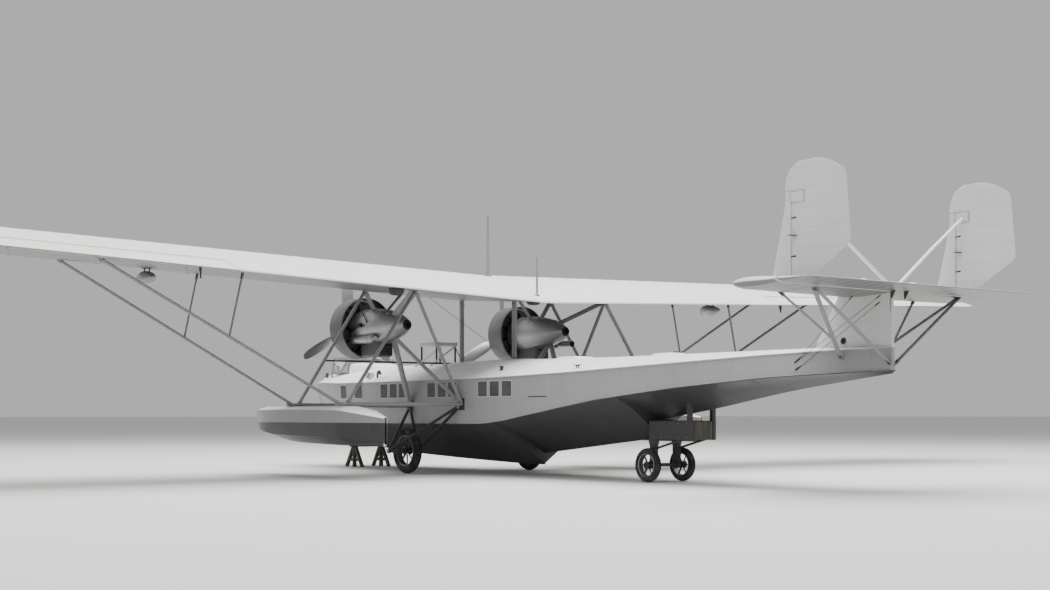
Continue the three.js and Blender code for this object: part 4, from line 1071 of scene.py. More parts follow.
def aileron_ring(out, notched=False):
    hinge = BAY["hinge"]
    radius = (HINGE_UPPER - HINGE_LOWER) / 2 * depth_at(out)
    edge = WING["nose"] - WING["chord"]
    edge_z = underside(edge, out) + EDGE_DROOP * depth_at(out)
    off = rib_sag(out, RIB_PITCH, RIB_SAG)
    nose = [(hinge + radius * math.cos(turn), hinge_height(out) + radius * math.sin(turn))
            for turn in (math.radians(-90 + 15 * k) for k in range(13))]
    top, low = nose[-1], nose[0]
    quarters = (0.25, 0.5, 0.75)
    upper = [tuple(between((*top, 0), (edge, edge_z + 0.011, 0), part))[:2] for part in quarters]
    lower = [tuple(between((edge, edge_z - 0.011, 0), (*low, 0), part))[:2] for part in quarters]
    outline = [*nose, *((x, z - off) for x, z in upper), (edge + 0.004, edge_z + 0.010), (edge, edge_z),
               (edge + 0.004, edge_z - 0.010), *((x, z + off) for x, z in lower)]
    limit = hinge - SLOT_BACK if notched else hinge + 1
    return [(row(min(x, limit)), out, z) for x, z in outline]


for side, matrix in HANDS.items():
    flap = Shape(matrix).wear(wing_dope)
    outs = span_steps(BAY["inner"] + BAY["gap"], BAY["outer"] - BAY["gap"])
    flap.skin([aileron_ring(out, notched) for out, notched in hinge_marks(outs, HINGE_OUTS)])
    flap.place(f"aileron_skin_{side}", body=f"aileron_{side}", slot="doped_skin", replaces=[f"aileron_{side}"],
               edge=30)
print("ailerons", len(HANDS))

# %% [markdown]
# Each rib is covered by a doped tape, above and below. The tapes are thin strips that lie on the
# covering from the nose to the trailing edge, or to the bay of the aileron.

# %% Rib tapes
TAPE = {"half": 0.017, "proud": 0.0011, "start": 0.003}


def tape_lines(first, last, end_part, column):
    """Centre lines of the tapes over the ribs between two places along the span"""
    ribs = [k * RIB_PITCH for k in range(1, 60) if first < k * RIB_PITCH < last]
    parts = [part for part in CHORD_STEPS if TAPE["start"] <= part < end_part] + [end_part]
    return [[wing_point(out, part, column) for part in parts] for out in ribs]


def tape(shape, line, column):
    lift = TAPE["proud"] if column == 1 else -TAPE["proud"]
    rings = [[(x, y - TAPE["half"], z - lift), (x, y - TAPE["half"] * 0.9, z + lift),
              (x, y + TAPE["half"] * 0.9, z + lift), (x, y + TAPE["half"], z - lift)] for x, y, z in line]
    shape.skin(rings)


for side, matrix in HANDS.items():
    tapes = Shape(matrix).wear(wing_dope)
    for column in (1, 2):
        for line in (tape_lines(0.1, BAY["inner"] - 0.03, 0.99, column)
                     + tape_lines(BAY["inner"], BAY["outer"], bay_part - 0.006, column)
                     + tape_lines(BAY["outer"] + 0.05, 14.9, 0.985, column)):
            tape(tapes, line, column)
    tapes.place(f"rib_tapes_{side}", slot="doped_skin")

# %% [markdown]
# The struts follow one table of ends, the same as the solids. Each end is a node where struts
# meet: on the spars of the wing, on the hull, on the decks of the floats or on the nacelles.

# %% Table of struts
FLOAT_DECK = 1.4
BOOM_CHORD, BOOM_DEPTH, BOOM_REACH = 0.100, 0.080, 0.25
BOOM_Z = FLOAT_DECK + 0.45 * BOOM_DEPTH
ENGINE_OUT, ENGINE_Z = 2.09, 3.08


def spar_node(station, out):
    return (station, out, underside(station, out))


NODE_OUT, INNER_OUT = 2.475, 1.59
FRONT_NODE, INNER_NODE, REAR_NODE = spar_node(0, NODE_OUT), spar_node(0, INNER_OUT), spar_node(REAR_SPAR, NODE_OUT)
FRONT_HULL, REAR_HULL = (0, 1.35, 1.42), (REAR_SPAR, 1.35, 1.45)
FRONT_FOOT, REAR_FOOT = (0, FLOAT_OUT, BOOM_Z), (REAR_SPAR, FLOAT_OUT, BOOM_Z)
NACELLE_OUTER_TOP = (0.03, ENGINE_OUT + 0.11, ENGINE_Z + 0.30)
NACELLE_INNER_TOP = (0.03, ENGINE_OUT - 0.14, ENGINE_Z + 0.30)
NACELLE_REAR = (-0.56, ENGINE_OUT + 0.06, ENGINE_Z + 0.15)
NACELLE_LOW = (-0.48, ENGINE_OUT, ENGINE_Z - 0.2)
LIFT_OUT, JURY_OUT = 9.0, 6.26
LIFT_TOP_FRONT, LIFT_TOP_REAR = spar_node(0, LIFT_OUT), spar_node(REAR_SPAR, LIFT_OUT)
LIFT_FOOT_FRONT, LIFT_FOOT_REAR = (0, FLOAT_OUT + 0.13, BOOM_Z), (REAR_SPAR, FLOAT_OUT + 0.13, BOOM_Z)
JURY_SHARE = (6.53 - 4.18) / (9.0 - 4.18)
JURY_FOOT_FRONT = tuple(between(LIFT_FOOT_FRONT, LIFT_TOP_FRONT, JURY_SHARE))
JURY_FOOT_REAR = tuple(between(LIFT_FOOT_REAR, LIFT_TOP_REAR, JURY_SHARE))
# Columns: node of the solid, end, end, chord, thickness, sockets at the first and the second end
STRUTS = [
    ("boom_front", FRONT_HULL, FRONT_FOOT, BOOM_CHORD, BOOM_DEPTH, 1, 0),
    ("boom_front", FRONT_FOOT, (0, FLOAT_OUT + BOOM_REACH, BOOM_Z), BOOM_CHORD, BOOM_DEPTH, 0, 0),
    ("boom_rear", REAR_HULL, REAR_FOOT, BOOM_CHORD, BOOM_DEPTH, 1, 0),
    ("boom_rear", REAR_FOOT, (REAR_SPAR, FLOAT_OUT + BOOM_REACH, BOOM_Z), BOOM_CHORD, BOOM_DEPTH, 0, 0),
    ("engine_front_struts", FRONT_NODE, FRONT_FOOT, 0.130, 0.060, 1, 1),
    ("engine_front_struts", FRONT_NODE, NACELLE_OUTER_TOP, 0.195, 0.060, 1, 0),
    ("engine_inner_strut", INNER_NODE, NACELLE_INNER_TOP, 0.120, 0.055, 1, 0),
    ("engine_rear_struts", REAR_NODE, REAR_FOOT, 0.130, 0.060, 1, 1),
    ("engine_rear_struts", REAR_NODE, REAR_HULL, 0.120, 0.058, 1, 1),
    ("engine_rear_struts", REAR_NODE, NACELLE_REAR, 0.170, 0.060, 1, 0),
    ("nacelle_lower_struts", NACELLE_LOW, FRONT_HULL, 0.220, 0.065, 0, 1),
    ("nacelle_lower_struts", NACELLE_LOW, REAR_HULL, 0.140, 0.060, 0, 1),
    ("lift_strut_front", LIFT_TOP_FRONT, LIFT_FOOT_FRONT, 0.125, 0.056, 1, 1),
    ("lift_strut_front", spar_node(0, JURY_OUT), JURY_FOOT_FRONT, 0.070, 0.034, 1, 0),
    ("lift_strut_rear", LIFT_TOP_REAR, LIFT_FOOT_REAR, 0.125, 0.056, 1, 1),
    ("lift_strut_rear", spar_node(REAR_SPAR, JURY_OUT), JURY_FOOT_REAR, 0.070, 0.034, 1, 0),
    ("cabane_front", (0, 0, 2.39), spar_node(0, 0), 0.170, 0.070, 1, 1),
    ("cabane_rear", (REAR_SPAR, 0, 2.39), spar_node(REAR_SPAR, 0), 0.170, 0.070, 1, 1),
]
print("struts", len(STRUTS))

# %% [markdown]
# A strut is a smooth teardrop in section, blunt in front and fine behind. It ends in a painted
# sleeve with an iron fork and a cross bolt.

# %% Section and ends of a strut
ROOT_AT = Vector((row(0), 0, 0))
STRUT_FILL = 0.96
TEARDROP = [(math.cos(turn) + (0.12 if math.cos(turn) < 0 else 0) * math.cos(turn) ** 2,
             math.sin(turn) * (1.0 if math.cos(turn) > 0 else 1 - 0.38 * math.cos(turn) ** 2))
            for turn in around(24)]


def strut_axes(start, end):
    """Directions along a strut, forward across it and over its flat side"""
    along = (end - start).normalized()
    fore = (Vector((1, 0, 0)) - along * along.x).normalized()
    return along, fore, along.cross(fore)


def streamlined(shape, start, end, chord, thickness):
    start, end = Vector(start), Vector(end)
    _, fore, over = strut_axes(start, end)
    shape.skin([[ROOT_AT + point + fore * u * chord / 2 * STRUT_FILL + over * v * thickness / 2 * STRUT_FILL
                 for u, v in TEARDROP] for point in (start, between(start, end, 0.5), end)])


def socket_end(shape, at, towards, chord, thickness):
    """A sleeve on a strut's end, with the plates of its fork and a bolt through them"""
    at, towards = Vector(at) + ROOT_AT, Vector(towards) + ROOT_AT
    along, fore, over = strut_axes(at, towards)
    rings = []
    for reach, swell in ((0.045, 0.5), (0.06, 0.99), (0.115, 1.0), (0.125, 0.93)):
        rings.append([at + along * reach + fore * math.cos(a) * chord / 2 * swell
                      + over * math.sin(a) * thickness / 2 * swell for a in around(20)])
    shape.wear(strut_paint).skin(rings)
    shape.wear(gear_iron)
    for sign in (-1, 1):
        plate = over * sign * thickness * 0.36
        shape.skin([[at + plate + along * reach + fore * wide + over * deep for wide, deep in
                     ((-0.026, -0.005), (0.026, -0.005), (0.026, 0.005), (-0.026, 0.005))]
                    for reach in (-0.005, 0.11)])
    bolt = at + along * 0.05
    shape.tube([bolt - over * thickness * 0.62, bolt + over * thickness * 0.62], 0.022, sides=6)


print("teardrop", len(TEARDROP))

# %% [markdown]
# All struts of one solid become one piece, which stands in for that solid. Most of them come in a
# pair, one on each side.

# %% Struts
for stem in dict.fromkeys(strut[0] for strut in STRUTS):
    paired = f"{stem}_port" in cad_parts
    for side, matrix in (HANDS.items() if paired else [("", Matrix())]):
        node = f"{stem}_{side}" if side else stem
        shape = Shape(matrix)
        for name, start, end, chord, thickness, first, second in STRUTS:
            if name != stem:
                continue
            streamlined(shape.wear(strut_paint), start, end, chord, thickness)
            if first:
                socket_end(shape, start, end, chord, thickness)
            if second:
                socket_end(shape, end, start, chord, thickness)
        shape.place(f"{stem}_smooth{'_' + side if side else ''}", slot="strut_paint", replaces=[node])
print("strut stems", len({strut[0] for strut in STRUTS}))

# %% [markdown]
# Each engine has nine cylinders around a drum-shaped crankcase. A cylinder is a finned barrel, a
# finned head in two lumps for its valves, two pushrod tubes in front and one intake pipe behind.
# All of it stands inside the wide ring that smooths the air around the heads.

# %% Places around an engine
ENGINE = {"out": ENGINE_OUT, "height": ENGINE_Z, "station": 0.88, "foot": 0.21, "head": 0.50, "top": 0.585}
CYLINDERS = 9
engine_x = row(ENGINE["station"])
shaft_line = (engine_x, ENGINE["out"], ENGINE["height"])
axis_at = (0, ENGINE["out"], ENGINE["height"])


def engine_point(forward, turn, reach, aside=0.0):
    """A point near a cylinder: forward of its axis, out from the shaft, and aside around the ring"""
    out, up = math.sin(turn), math.cos(turn)
    return (engine_x + forward, ENGINE["out"] + out * reach + up * aside,
            ENGINE["height"] + up * reach - out * aside)


def beside_shaft(station, out, up):
    """A point at a station, out from the propeller shaft and up from it"""
    return (row(station), ENGINE["out"] + out, ENGINE["height"] + up)


def round_shaft(station, turn, reach):
    return beside_shaft(station, math.sin(turn) * reach, math.cos(turn) * reach)


def shifted(profile):
    return [(row(along), reach) for along, reach in profile]


print("cylinders", CYLINDERS * len(HANDS))

# %% [markdown]
# One cylinder is made at a time. Its function adds barrel, head, rods and pipes to the engine, and
# returns the runs along which the cooling fins, the fins of the head and the nuts repeat.

# %% Cylinders
def add_cylinder(engine, turn):
    def at(forward, reach, aside=0.0):
        return engine_point(forward, turn, reach, aside)

    engine.wear(fin_steel).tube([at(0, ENGINE["foot"]), at(0, ENGINE["head"])], 0.128, sides=24)
    engine.wear(cast_iron).tube([at(0, 0.20), at(0, 0.225), at(0, 0.24)], [0.175, 0.175, 0.135], sides=24)
    engine.tube([at(0, ENGINE["head"] - 0.02), at(0, ENGINE["top"] - 0.012), at(0, ENGINE["top"])],
                [0.10, 0.105, 0.06], sides=20)
    collars = []
    for forward in (-0.042, 0.046):
        engine.tube([at(forward, 0.47), at(forward * 1.5, 0.555), at(forward * 1.6, 0.572)],
                    [0.062, 0.066, 0.04], sides=14)
        collars.append([at(forward, 0.48), at(forward * 1.45, 0.556)])
    for aside in (-0.036, 0.036):
        engine.wear(dull_alloy).tube(
            [at(0.13, 0.195, aside * 0.8), at(0.112, 0.36, aside), at(0.086, 0.545, aside)], 0.017, sides=8)
        engine.tube([at(0.13, 0.185, aside * 0.8), at(0.128, 0.215, aside * 0.8)], 0.034, sides=10)
    engine.wear(fin_steel).tube(
        [at(-0.13, 0.20, 0.07), at(-0.15, 0.33, 0.085), at(-0.125, 0.47, 0.075), at(-0.05, 0.53, 0.03)],
        0.036, sides=10)
    engine.wear(burnt_steel).tube(
        [at(-0.03, 0.525, -0.03), at(-0.10, 0.535, -0.055), at(-0.165, 0.50, -0.06)], 0.044, sides=12)
    engine.wear(black_rubber).tube([at(0.15, 0.20, 0.02), at(0.13, 0.40, 0.062), at(0.05, 0.50, 0.06)], 0.009,
                                   sides=6)
    fins = [at(0, 0.255), at(0, ENGINE["head"] - 0.022)]
    studs = [[at(forward, 0.229, aside), at(forward, 0.24, aside)]
             for aside in (0.05, -0.05) for forward in (0.06, -0.06)]
    return fins, collars, studs


print("cylinder function", add_cylinder.__name__)

# %% [markdown]
# The crankcase is turned about the shaft. Behind the cylinders a flat dark plate closes the ring,
# and a rubber-covered wire loop runs around the front of the case.

# %% Engines
# Columns of the turned profiles: distance along the shaft, radius
CRANKCASE = [(-0.17, 0.0), (-0.17, 0.19), (-0.12, 0.232), (0.11, 0.232), (0.14, 0.222), (0.19, 0.185),
             (0.245, 0.16), (0.30, 0.128), (0.335, 0.108), (0.35, 0.066), (0.365, 0.060), (0.365, 0.0)]
SHAFT = [(0.36, 0.0), (0.36, 0.036), (0.478, 0.036), (0.478, 0.0)]
WIRE_LOOP = [(0.13, 0.228), (0.136, 0.242), (0.15, 0.242), (0.156, 0.226)]
REAR_PLATE = [(-0.105, 0.18), (-0.104, 0.30), (-0.098, 0.57), (-0.088, 0.584), (-0.086, 0.57), (-0.088, 0.30),
              (-0.088, 0.2)]
for side, matrix in HANDS.items():
    crankcase = Shape(matrix).wear(dull_alloy)
    crankcase.turn(CRANKCASE, shaft_line, sides=54)
    crankcase.wear(cast_iron).turn(SHAFT, shaft_line, sides=24)
    fins, collars, studs = [], [], []
    for turn in around(CYLINDERS):
        barrel_fins, head_fins, nuts = add_cylinder(crankcase, turn)
        fins.append(barrel_fins)
        collars.extend(head_fins)
        studs.extend(nuts)
    crankcase.wear(black_rubber).turn(WIRE_LOOP, shaft_line, sides=54)
    crankcase.wear(cowl_paint).turn(REAR_PLATE, shaft_line, sides=81)
    crankcase.place(f"engine_detail_{side}", slot="engine_iron", replaces=[f"engine_{side}"])
    repeat(f"cooling_fins_{side}", discs, fins, 0.0095, 0.0765, 0.0022, fin_steel,
           matrix=matrix)
    repeat(f"head_fins_{side}", discs, collars, 0.0105, 0.047, 0.0024, cast_iron,
           matrix=matrix)
    repeat(f"cylinder_nuts_{side}", bolts, studs, 0.006, 0.009, 0.010, dull_alloy,
           matrix=matrix)
print("engines", len(HANDS))

# %% [markdown]
# The ring is a shell of dark painted sheet with a rolled front lip and a wire in its rear edge.
# Small brackets tie it to the heads, and three hoops of rivets go around it.

# %% Rings
# Columns: station, radius
RING_PROFILE = [(0.52, 0.622), (0.534, 0.638), (0.65, 0.6435), (0.80, 0.645), (0.985, 0.6435), (1.030, 0.634),
                (1.053, 0.619), (1.0595, 0.606), (1.052, 0.5965), (1.03, 0.595), (0.99, 0.5975), (0.92, 0.600),
                (0.70, 0.601), (0.60, 0.607), (0.525, 0.617), (0.52, 0.622)]
RING_WIRE = [(0.527, 0.624), (0.521, 0.630), (0.527, 0.6365), (0.533, 0.630), (0.527, 0.624)]
HOOP_STATIONS, HOOP_REACH = (0.56, 0.80, 0.985), 0.645
for side, matrix in HANDS.items():
    ring = Shape(matrix).wear(cowl_paint).turn(shifted(RING_PROFILE), axis_at, sides=96)
    for turn in around(CYLINDERS):
        ring.tube([engine_point(0.0, turn, 0.575), engine_point(0.0, turn, 0.602)], 0.05, 0.03, sides=12)
        for aside in (-0.05, 0.05):
            ring.tube([engine_point(-0.13, turn, 0.548, aside), engine_point(-0.135, turn, 0.606, aside * 1.3)],
                      0.018, sides=8)
    ring.turn(shifted(RING_WIRE), axis_at, sides=96)
    ring.place(f"ring_shell_{side}", slot="bare_metal", replaces=[f"ring_cowl_{side}"])
    hoops = [[round_shaft(station, turn, HOOP_REACH) for turn in around(90, closed=True)]
             for station in HOOP_STATIONS]
    repeat(f"ring_rivets_{side}", domes, hoops, 0.045, 0.0042, 0.0042, cowl_paint,
           matrix=matrix)
print("rings", len(HANDS))

# %% [markdown]
# Behind the ring hangs the nacelle, a turned body of sheet metal with raised straps and an opening
# at its tail, closed by a near-black cap of painted shade.

# %% Body of the nacelle
# Columns of the turned profiles: station, radius
NACELLE_PROFILE = [(0.70, 0.001), (0.70, 0.345), (0.60, 0.383), (0.30, 0.393), (0.0, 0.380), (-0.40, 0.323),
                   (-0.76, 0.224), (-0.95, 0.136), (-1.02, 0.100)]
NACELLE_STRAPS = [0.585, 0.02, -0.60]
TAIL_OPENING = [(-1.00, 0.104), (-1.02, 0.105), (-1.048, 0.084), (-1.053, 0.062), (-1.03, 0.055), (-0.95, 0.05),
                (-0.95, 0.001)]


def nacelle_reach(station):
    rows = sorted(NACELLE_PROFILE[1:])
    for (x0, r0), (x1, r1) in zip(rows, rows[1:]):
        if x0 <= station <= x1:
            return r0 + (r1 - r0) * (station - x0) / (x1 - x0)
    return rows[0][1]


def add_body(nacelle):
    smooth = smooth_curve([(along, reach, 0) for along, reach in NACELLE_PROFILE[1:]], 6)
    nacelle.wear(nacelle_metal).turn(shifted([(0.70, 0.001), *((point.x, point.y) for point in smooth)]), axis_at,
                                     sides=72)
    for station in NACELLE_STRAPS:
        reach = nacelle_reach(station)
        slope = (nacelle_reach(station + 0.01) - nacelle_reach(station - 0.02)) / 0.03
        nacelle.turn([(row(station + along), reach + lift + slope * along) for along, lift in
                      ((-0.017, -0.004), (-0.014, 0.0028), (0.014, 0.0028), (0.017, -0.004))], axis_at, sides=72)
    # Painted shade: the near-black cap stands for the dark inside of the tail opening.
    nacelle.wear(dark_opening).turn(shifted(TAIL_OPENING), axis_at, sides=40)


print("nacelle rows", len(NACELLE_PROFILE))

# %% [markdown]
# Under the nacelle is the box of the oil cooler, open in front and behind, with slats. A wide
# exhaust cylinder lies along the outer side on two straps.

# %% Cooler and exhaust cylinder
COOLER_BOX = ((-0.20, 1.905, 2.45), (0.495, 2.275, 2.93))
COOLER_SLATS, REAR_SLATS = 9, 6
PIPE = {"out": 0.33, "below": 0.26}
PIPE_PROFILE = [(-0.318, 0.050), (-0.30, 0.062), (-0.24, 0.088), (-0.20, 0.0895), (0.52, 0.0895), (0.56, 0.088),
                (0.625, 0.062), (0.638, 0.050)]
# Columns: distance from the middle of the strap, radius
STRAP_PROFILE = [(-0.02, 0.0885), (-0.018, 0.0925), (0.018, 0.0925), (0.02, 0.0885)]
pipe_at = (0, ENGINE["out"] + PIPE["out"], ENGINE["height"] - PIPE["below"])


def add_cooler(nacelle):
    low, high = COOLER_BOX
    rear, front, near, far = row(low[0]), row(high[0]), low[1] + 0.03, high[1] - 0.03
    nacelle.wear(cowl_paint).block((rear, low[1], low[2]), (front, high[1], high[2]), 0.03)
    # Painted shade: near-black blocks stand for the dark inside of the open front and back.
    nacelle.wear(dark_opening).block((front - 0.01, near, low[2] + 0.04), (front + 0.001, far, high[2] - 0.12), 0.004)
    nacelle.block((rear - 0.001, near, low[2] + 0.04), (rear + 0.01, far, high[2] - 0.20), 0.004)
    nacelle.wear(dull_alloy)
    for slat in range(COOLER_SLATS):
        z = low[2] + 0.06 + slat * 0.030
        nacelle.block((front - 0.02, near, z), (front + 0.0015, far, z + 0.007), 0.002)
        if slat < REAR_SLATS:
            nacelle.block((rear - 0.0015, near, z), (rear + 0.02, far, z + 0.007), 0.002)


def add_exhaust_cylinder(nacelle):
    nacelle.wear(nacelle_metal).turn(shifted(PIPE_PROFILE), pipe_at, sides=36, caps=True)
    for station in (-0.1, 0.42):
        strap = [(station + along, reach) for along, reach in STRAP_PROFILE]
        nacelle.wear(dull_alloy).turn(shifted(strap), pipe_at, sides=36)
        nacelle.tube([(row(station), pipe_at[1] - 0.05, pipe_at[2] + 0.05),
                      (row(station), pipe_at[1] - 0.14, pipe_at[2] + 0.13)], 0.04, 0.02, sides=10)


print("slats", COOLER_SLATS + REAR_SLATS)

# %% [markdown]
# A dark pipe leads from the ring to the side of the nacelle, with a hose above it. Three filler
# caps sit on top, rows of short louvres open the sides, and rivets follow the straps.

# %% Pipes, caps and louvres
# Columns: station, out from the shaft, up from the shaft
SIDE_PIPE = [(0.66, 0.30, -0.10), (0.52, 0.40, -0.04), (0.28, 0.425, 0.02), (0.10, 0.425, 0.03)]
HOSE = [(0.34, 0.22, 0.27), (0.20, 0.33, 0.30), (0.00, 0.38, 0.16), (-0.06, 0.35, 0.02)]
# Columns: station, angle around the nacelle
FILLER_CAPS = [(0.16, 0.35), (-0.22, -0.4), (-0.5, 0.5)]
LOUVRE = {"count": 6, "front": 0.50, "pitch": 0.028, "turns": (1.15, 1.45, -1.15, -1.45), "half": 0.12}
CAP_FOOT = 0.3


def add_fittings(nacelle):
    nacelle.wear(engine_iron).tube(smooth_curve([beside_shaft(*point) for point in SIDE_PIPE], 5), 0.085, sides=20)
    nacelle.wear(black_rubber).tube(smooth_curve([beside_shaft(*point) for point in HOSE], 6), 0.022, sides=10)
    for station, turn in FILLER_CAPS:
        reach = nacelle_reach(station) - CAP_FOOT
        nacelle.wear(dull_alloy).turn(
            [(reach - 0.01, 0.045), (reach + 0.012, 0.045), (reach + 0.018, 0.035), (reach + 0.020, 0.001)],
            round_shaft(station, turn, CAP_FOOT), axis=(0, math.sin(turn), math.cos(turn)), sides=24)
    # Painted shade: the louvres are near-black strips that stand for their openings.
    nacelle.wear(dark_opening)
    for number in range(LOUVRE["count"]):
        station = LOUVRE["front"] - number * LOUVRE["pitch"]
        for turn in LOUVRE["turns"]:
            nacelle.tube([round_shaft(station, turn + shift, nacelle_reach(station))
                          for shift in (-LOUVRE["half"], LOUVRE["half"])], 0.014, 0.010, sides=6)


for side, matrix in HANDS.items():
    nacelle = Shape(matrix)
    add_body(nacelle)
    add_cooler(nacelle)
    add_exhaust_cylinder(nacelle)
    add_fittings(nacelle)
    nacelle.place(f"nacelle_shell_{side}", slot="bare_metal", replaces=[f"nacelle_{side}"])
    seams = [[beside_shaft(station + shift, nacelle_reach(station) * math.sin(turn),
                           nacelle_reach(station) * math.cos(turn)) for turn in around(60, closed=True)]
             for station in NACELLE_STRAPS for shift in (-0.009, 0.009)]
    repeat(f"nacelle_rivets_{side}", domes, seams, 0.04, 0.0055, 0.0040, nacelle_metal,
           matrix=matrix)
print("nacelles", len(HANDS))

# %% [markdown]
# A propeller blade is a thin airfoil that turns from coarse pitch at the root to fine pitch at the
# tip. Its root is round, and a flat face grows out of it within a quarter of the length.

# %% Blades
HUB_STATION = 1.35
BLADE_LENGTH = 1.25
hub_at = (row(HUB_STATION), ENGINE["out"], ENGINE["height"])
# Columns: part of the radius, chord, thickness, pitch in degrees
BLADES = [(0.055, 0.084, 0.080, 60), (0.12, 0.090, 0.076, 56), (0.18, 0.122, 0.060, 50),
          (0.28, 0.180, 0.038, 44), (0.40, 0.230, 0.030, 38), (0.50, 0.250, 0.025, 33),
          (0.63, 0.256, 0.020, 29.5), (0.75, 0.246, 0.016, 26), (0.86, 0.218, 0.012, 23.5),
          (0.93, 0.184, 0.010, 22), (0.975, 0.132, 0.007, 21.4), (0.994, 0.080, 0.005, 21)]


def blade_rings(out, across):
    """Rings of a blade that points out, with its chord between the shaft's direction and across"""
    rings = []
    for part, chord, thickness, pitch in BLADES:
        angle = math.radians(pitch)
        centre = Vector(hub_at) + out * part * BLADE_LENGTH
        fore = Vector((1, 0, 0)) * math.sin(angle) + across * math.cos(angle)
        over = Vector((1, 0, 0)) * math.cos(angle) - across * math.sin(angle)
        roundness = max(0.0, 1 - (part - 0.05) / 0.2)
        ring_points = []
        for a in around(28):
            flat = math.sin(a) * (1 - (1 - roundness) * (0.32 if math.sin(a) < 0 else 0.0))
            ring_points.append(centre + fore * math.cos(a) * chord / 2 + over * flat * thickness / 2)
        rings.append(ring_points)
    return rings


print("blade rows", len(BLADES))

# %% [markdown]
# The three blades are clamped in a split steel hub, with a bolt at each side of every socket.

# %% Propellers
HUB_PROFILE = [(-0.098, 0.0), (-0.098, 0.066), (-0.06, 0.090), (0.055, 0.090), (0.082, 0.074), (0.098, 0.052),
               (0.104, 0.030), (0.118, 0.027), (0.118, 0.0)]
for side, matrix in HANDS.items():
    body = f"propeller_{side}"
    propeller = Shape(matrix)
    nuts = []
    for turn in around(3):
        out = Vector((0, math.sin(turn), math.cos(turn)))
        across = Vector((0, math.cos(turn), -math.sin(turn)))
        propeller.wear(blade_metal).skin(blade_rings(out, across))
        socket = [Vector(hub_at) + out * reach for reach in (0.03, 0.150, 0.158, 0.163)]
        propeller.wear(steel_hub).tube(socket, [0.118, 0.118, 0.112, 0.09], sides=32)
        for reach in (0.075, 0.140):
            centre = Vector(hub_at) + out * reach
            propeller.tube([centre - out * 0.012, centre + out * 0.012], 0.128, sides=32)
            for sign in (-1, 1):
                lug = centre + across * sign * 0.066
                propeller.tube([lug - Vector((0.022, 0, 0)), lug + Vector((0.022, 0, 0))], 0.024, sides=8)
                nuts.append([lug - Vector((0.026, 0, 0)), lug - Vector((0.024, 0, 0))])
                nuts.append([lug + Vector((0.024, 0, 0)), lug + Vector((0.026, 0, 0))])
    propeller.turn(HUB_PROFILE, hub_at, sides=40)
    propeller.place(f"propeller_detail_{side}", body=body, slot="blade_metal", replaces=[f"propeller_{side}"])
    repeat(f"hub_nuts_{side}", bolts, nuts, 0.004, 0.0085, 0.008, steel_hub, body=body,
           matrix=matrix)
print("blades", 3 * len(HANDS))

# %% [markdown]
# The tail is built like the wing, only thinner: ribs at an even pitch under a taut covering, a round
# tip, and an elevator behind it over the whole span. The rows of the table are the ones of the
# solid, and an even curve runs through the last four to round the tip.

# %% Tail table
TAIL = {"height": 3.23, "rear": -11.78, "hinge": -11.85, "nose": 0.28, "edge": 0.018, "pitch": 0.30}
# Columns: distance out, leading edge, elevator trailing edge, depth
TAIL_SECTIONS = [(0, -10.6, -12.45, 0.21), (2.35, -10.65, -12.45, 0.19), (2.56, -10.76, -12.44, 0.16),
                 (2.68, -10.95, -12.40, 0.125), (2.74, -11.25, -12.30, 0.09)]
# Columns: part of the chord, half of the depth
TAIL_SHAPE = [(0, 0), (0.004, 0.14), (0.015, 0.275), (0.035, 0.42), (0.06, 0.55), (0.12, 0.74), (0.25, 0.95),
              (0.38, 1.0), (0.5, 1.0), (0.75, 0.83), (1.0, 0.62)]
ELEVATOR_HINGES = [0.6, 1.45, 2.3]
TIP_START, TAIL_HALF_SPAN = 2.6, 2.74


def tail_row(out):
    low, high = TAIL_SECTIONS[:2]
    part = out / high[0]
    return [out, *(a + (b - a) * part for a, b in zip(low[1:], high[1:]))]


def tail_rows(extra=()):
    count = round(TAIL_SECTIONS[1][0] / (TAIL["pitch"] / 4))
    straight = [tail_row(TAIL_SECTIONS[1][0] * k / count) for k in range(count)]
    straight = sorted([r for r in straight if all(abs(r[0] - out) > 0.03 for out in ELEVATOR_HINGES)]
                      + [tail_row(out) for out in extra])
    tip = [list(point) for point in smooth_curve(TAIL_SECTIONS[1:], 5)]
    for r in tip:
        beyond = max(0.0, (r[0] - TIP_START) / (TAIL_HALF_SPAN - TIP_START))
        r[3] *= math.sqrt(max(0.02, 1 - beyond * beyond))
    port = [*straight, *tip]
    return [[-r[0], *r[1:]] for r in reversed(port) if r[0] > 0] + port


def tail_sag(out):
    return rib_sag(out, TAIL["pitch"], 0.0026) if abs(out) < TIP_START else 0.0


print("tail rows", len(tail_rows()))

# %% [markdown]
# The tailplane carries three hinge arms on each side.

# %% Tailplane
def tail_ring(out, nose, _, depth):
    chord, sag = nose - TAIL["rear"], tail_sag(out)
    upper = [(row(nose - part * chord), out, TAIL["height"] + half * depth / 2 - sag * min(1, part * 5))
             for part, half in TAIL_SHAPE]
    lower = [(x, y, 2 * TAIL["height"] - z) for x, y, z in reversed(upper[1:])]
    return upper + lower


plane = Shape().wear(tail_dope).skin([tail_ring(*r) for r in tail_rows()])
plane.wear(gear_iron)
for sign in (-1, 1):
    for hinge_out in ELEVATOR_HINGES:
        x, y, z = row(TAIL["hinge"]), sign * hinge_out, TAIL["height"]
        plane.block((x - 0.018, y - 0.008, z - 0.018), (row(TAIL["rear"]) + 0.01, y + 0.008, z + 0.018), 0.004)
        plane.tube([(x, y - 0.034, z), (x, y + 0.034, z)], 0.024, sides=12)
plane.place("tailplane_skin", slot="doped_skin", replaces=["tailplane"], edge=30)
print("tail hinges", 2 * len(ELEVATOR_HINGES))

# %% [markdown]
# The elevator has a round nose about the hinge line and is cut back where an arm reaches in. Two
# short levers under it take the control cables.

# %% Elevator
# Columns: station, height below the middle of the elevator
ELEVATOR_LEVER = [(-11.83, 0.045), (-11.84, 0.17), (-11.86, 0.175), (-11.93, 0.045)]


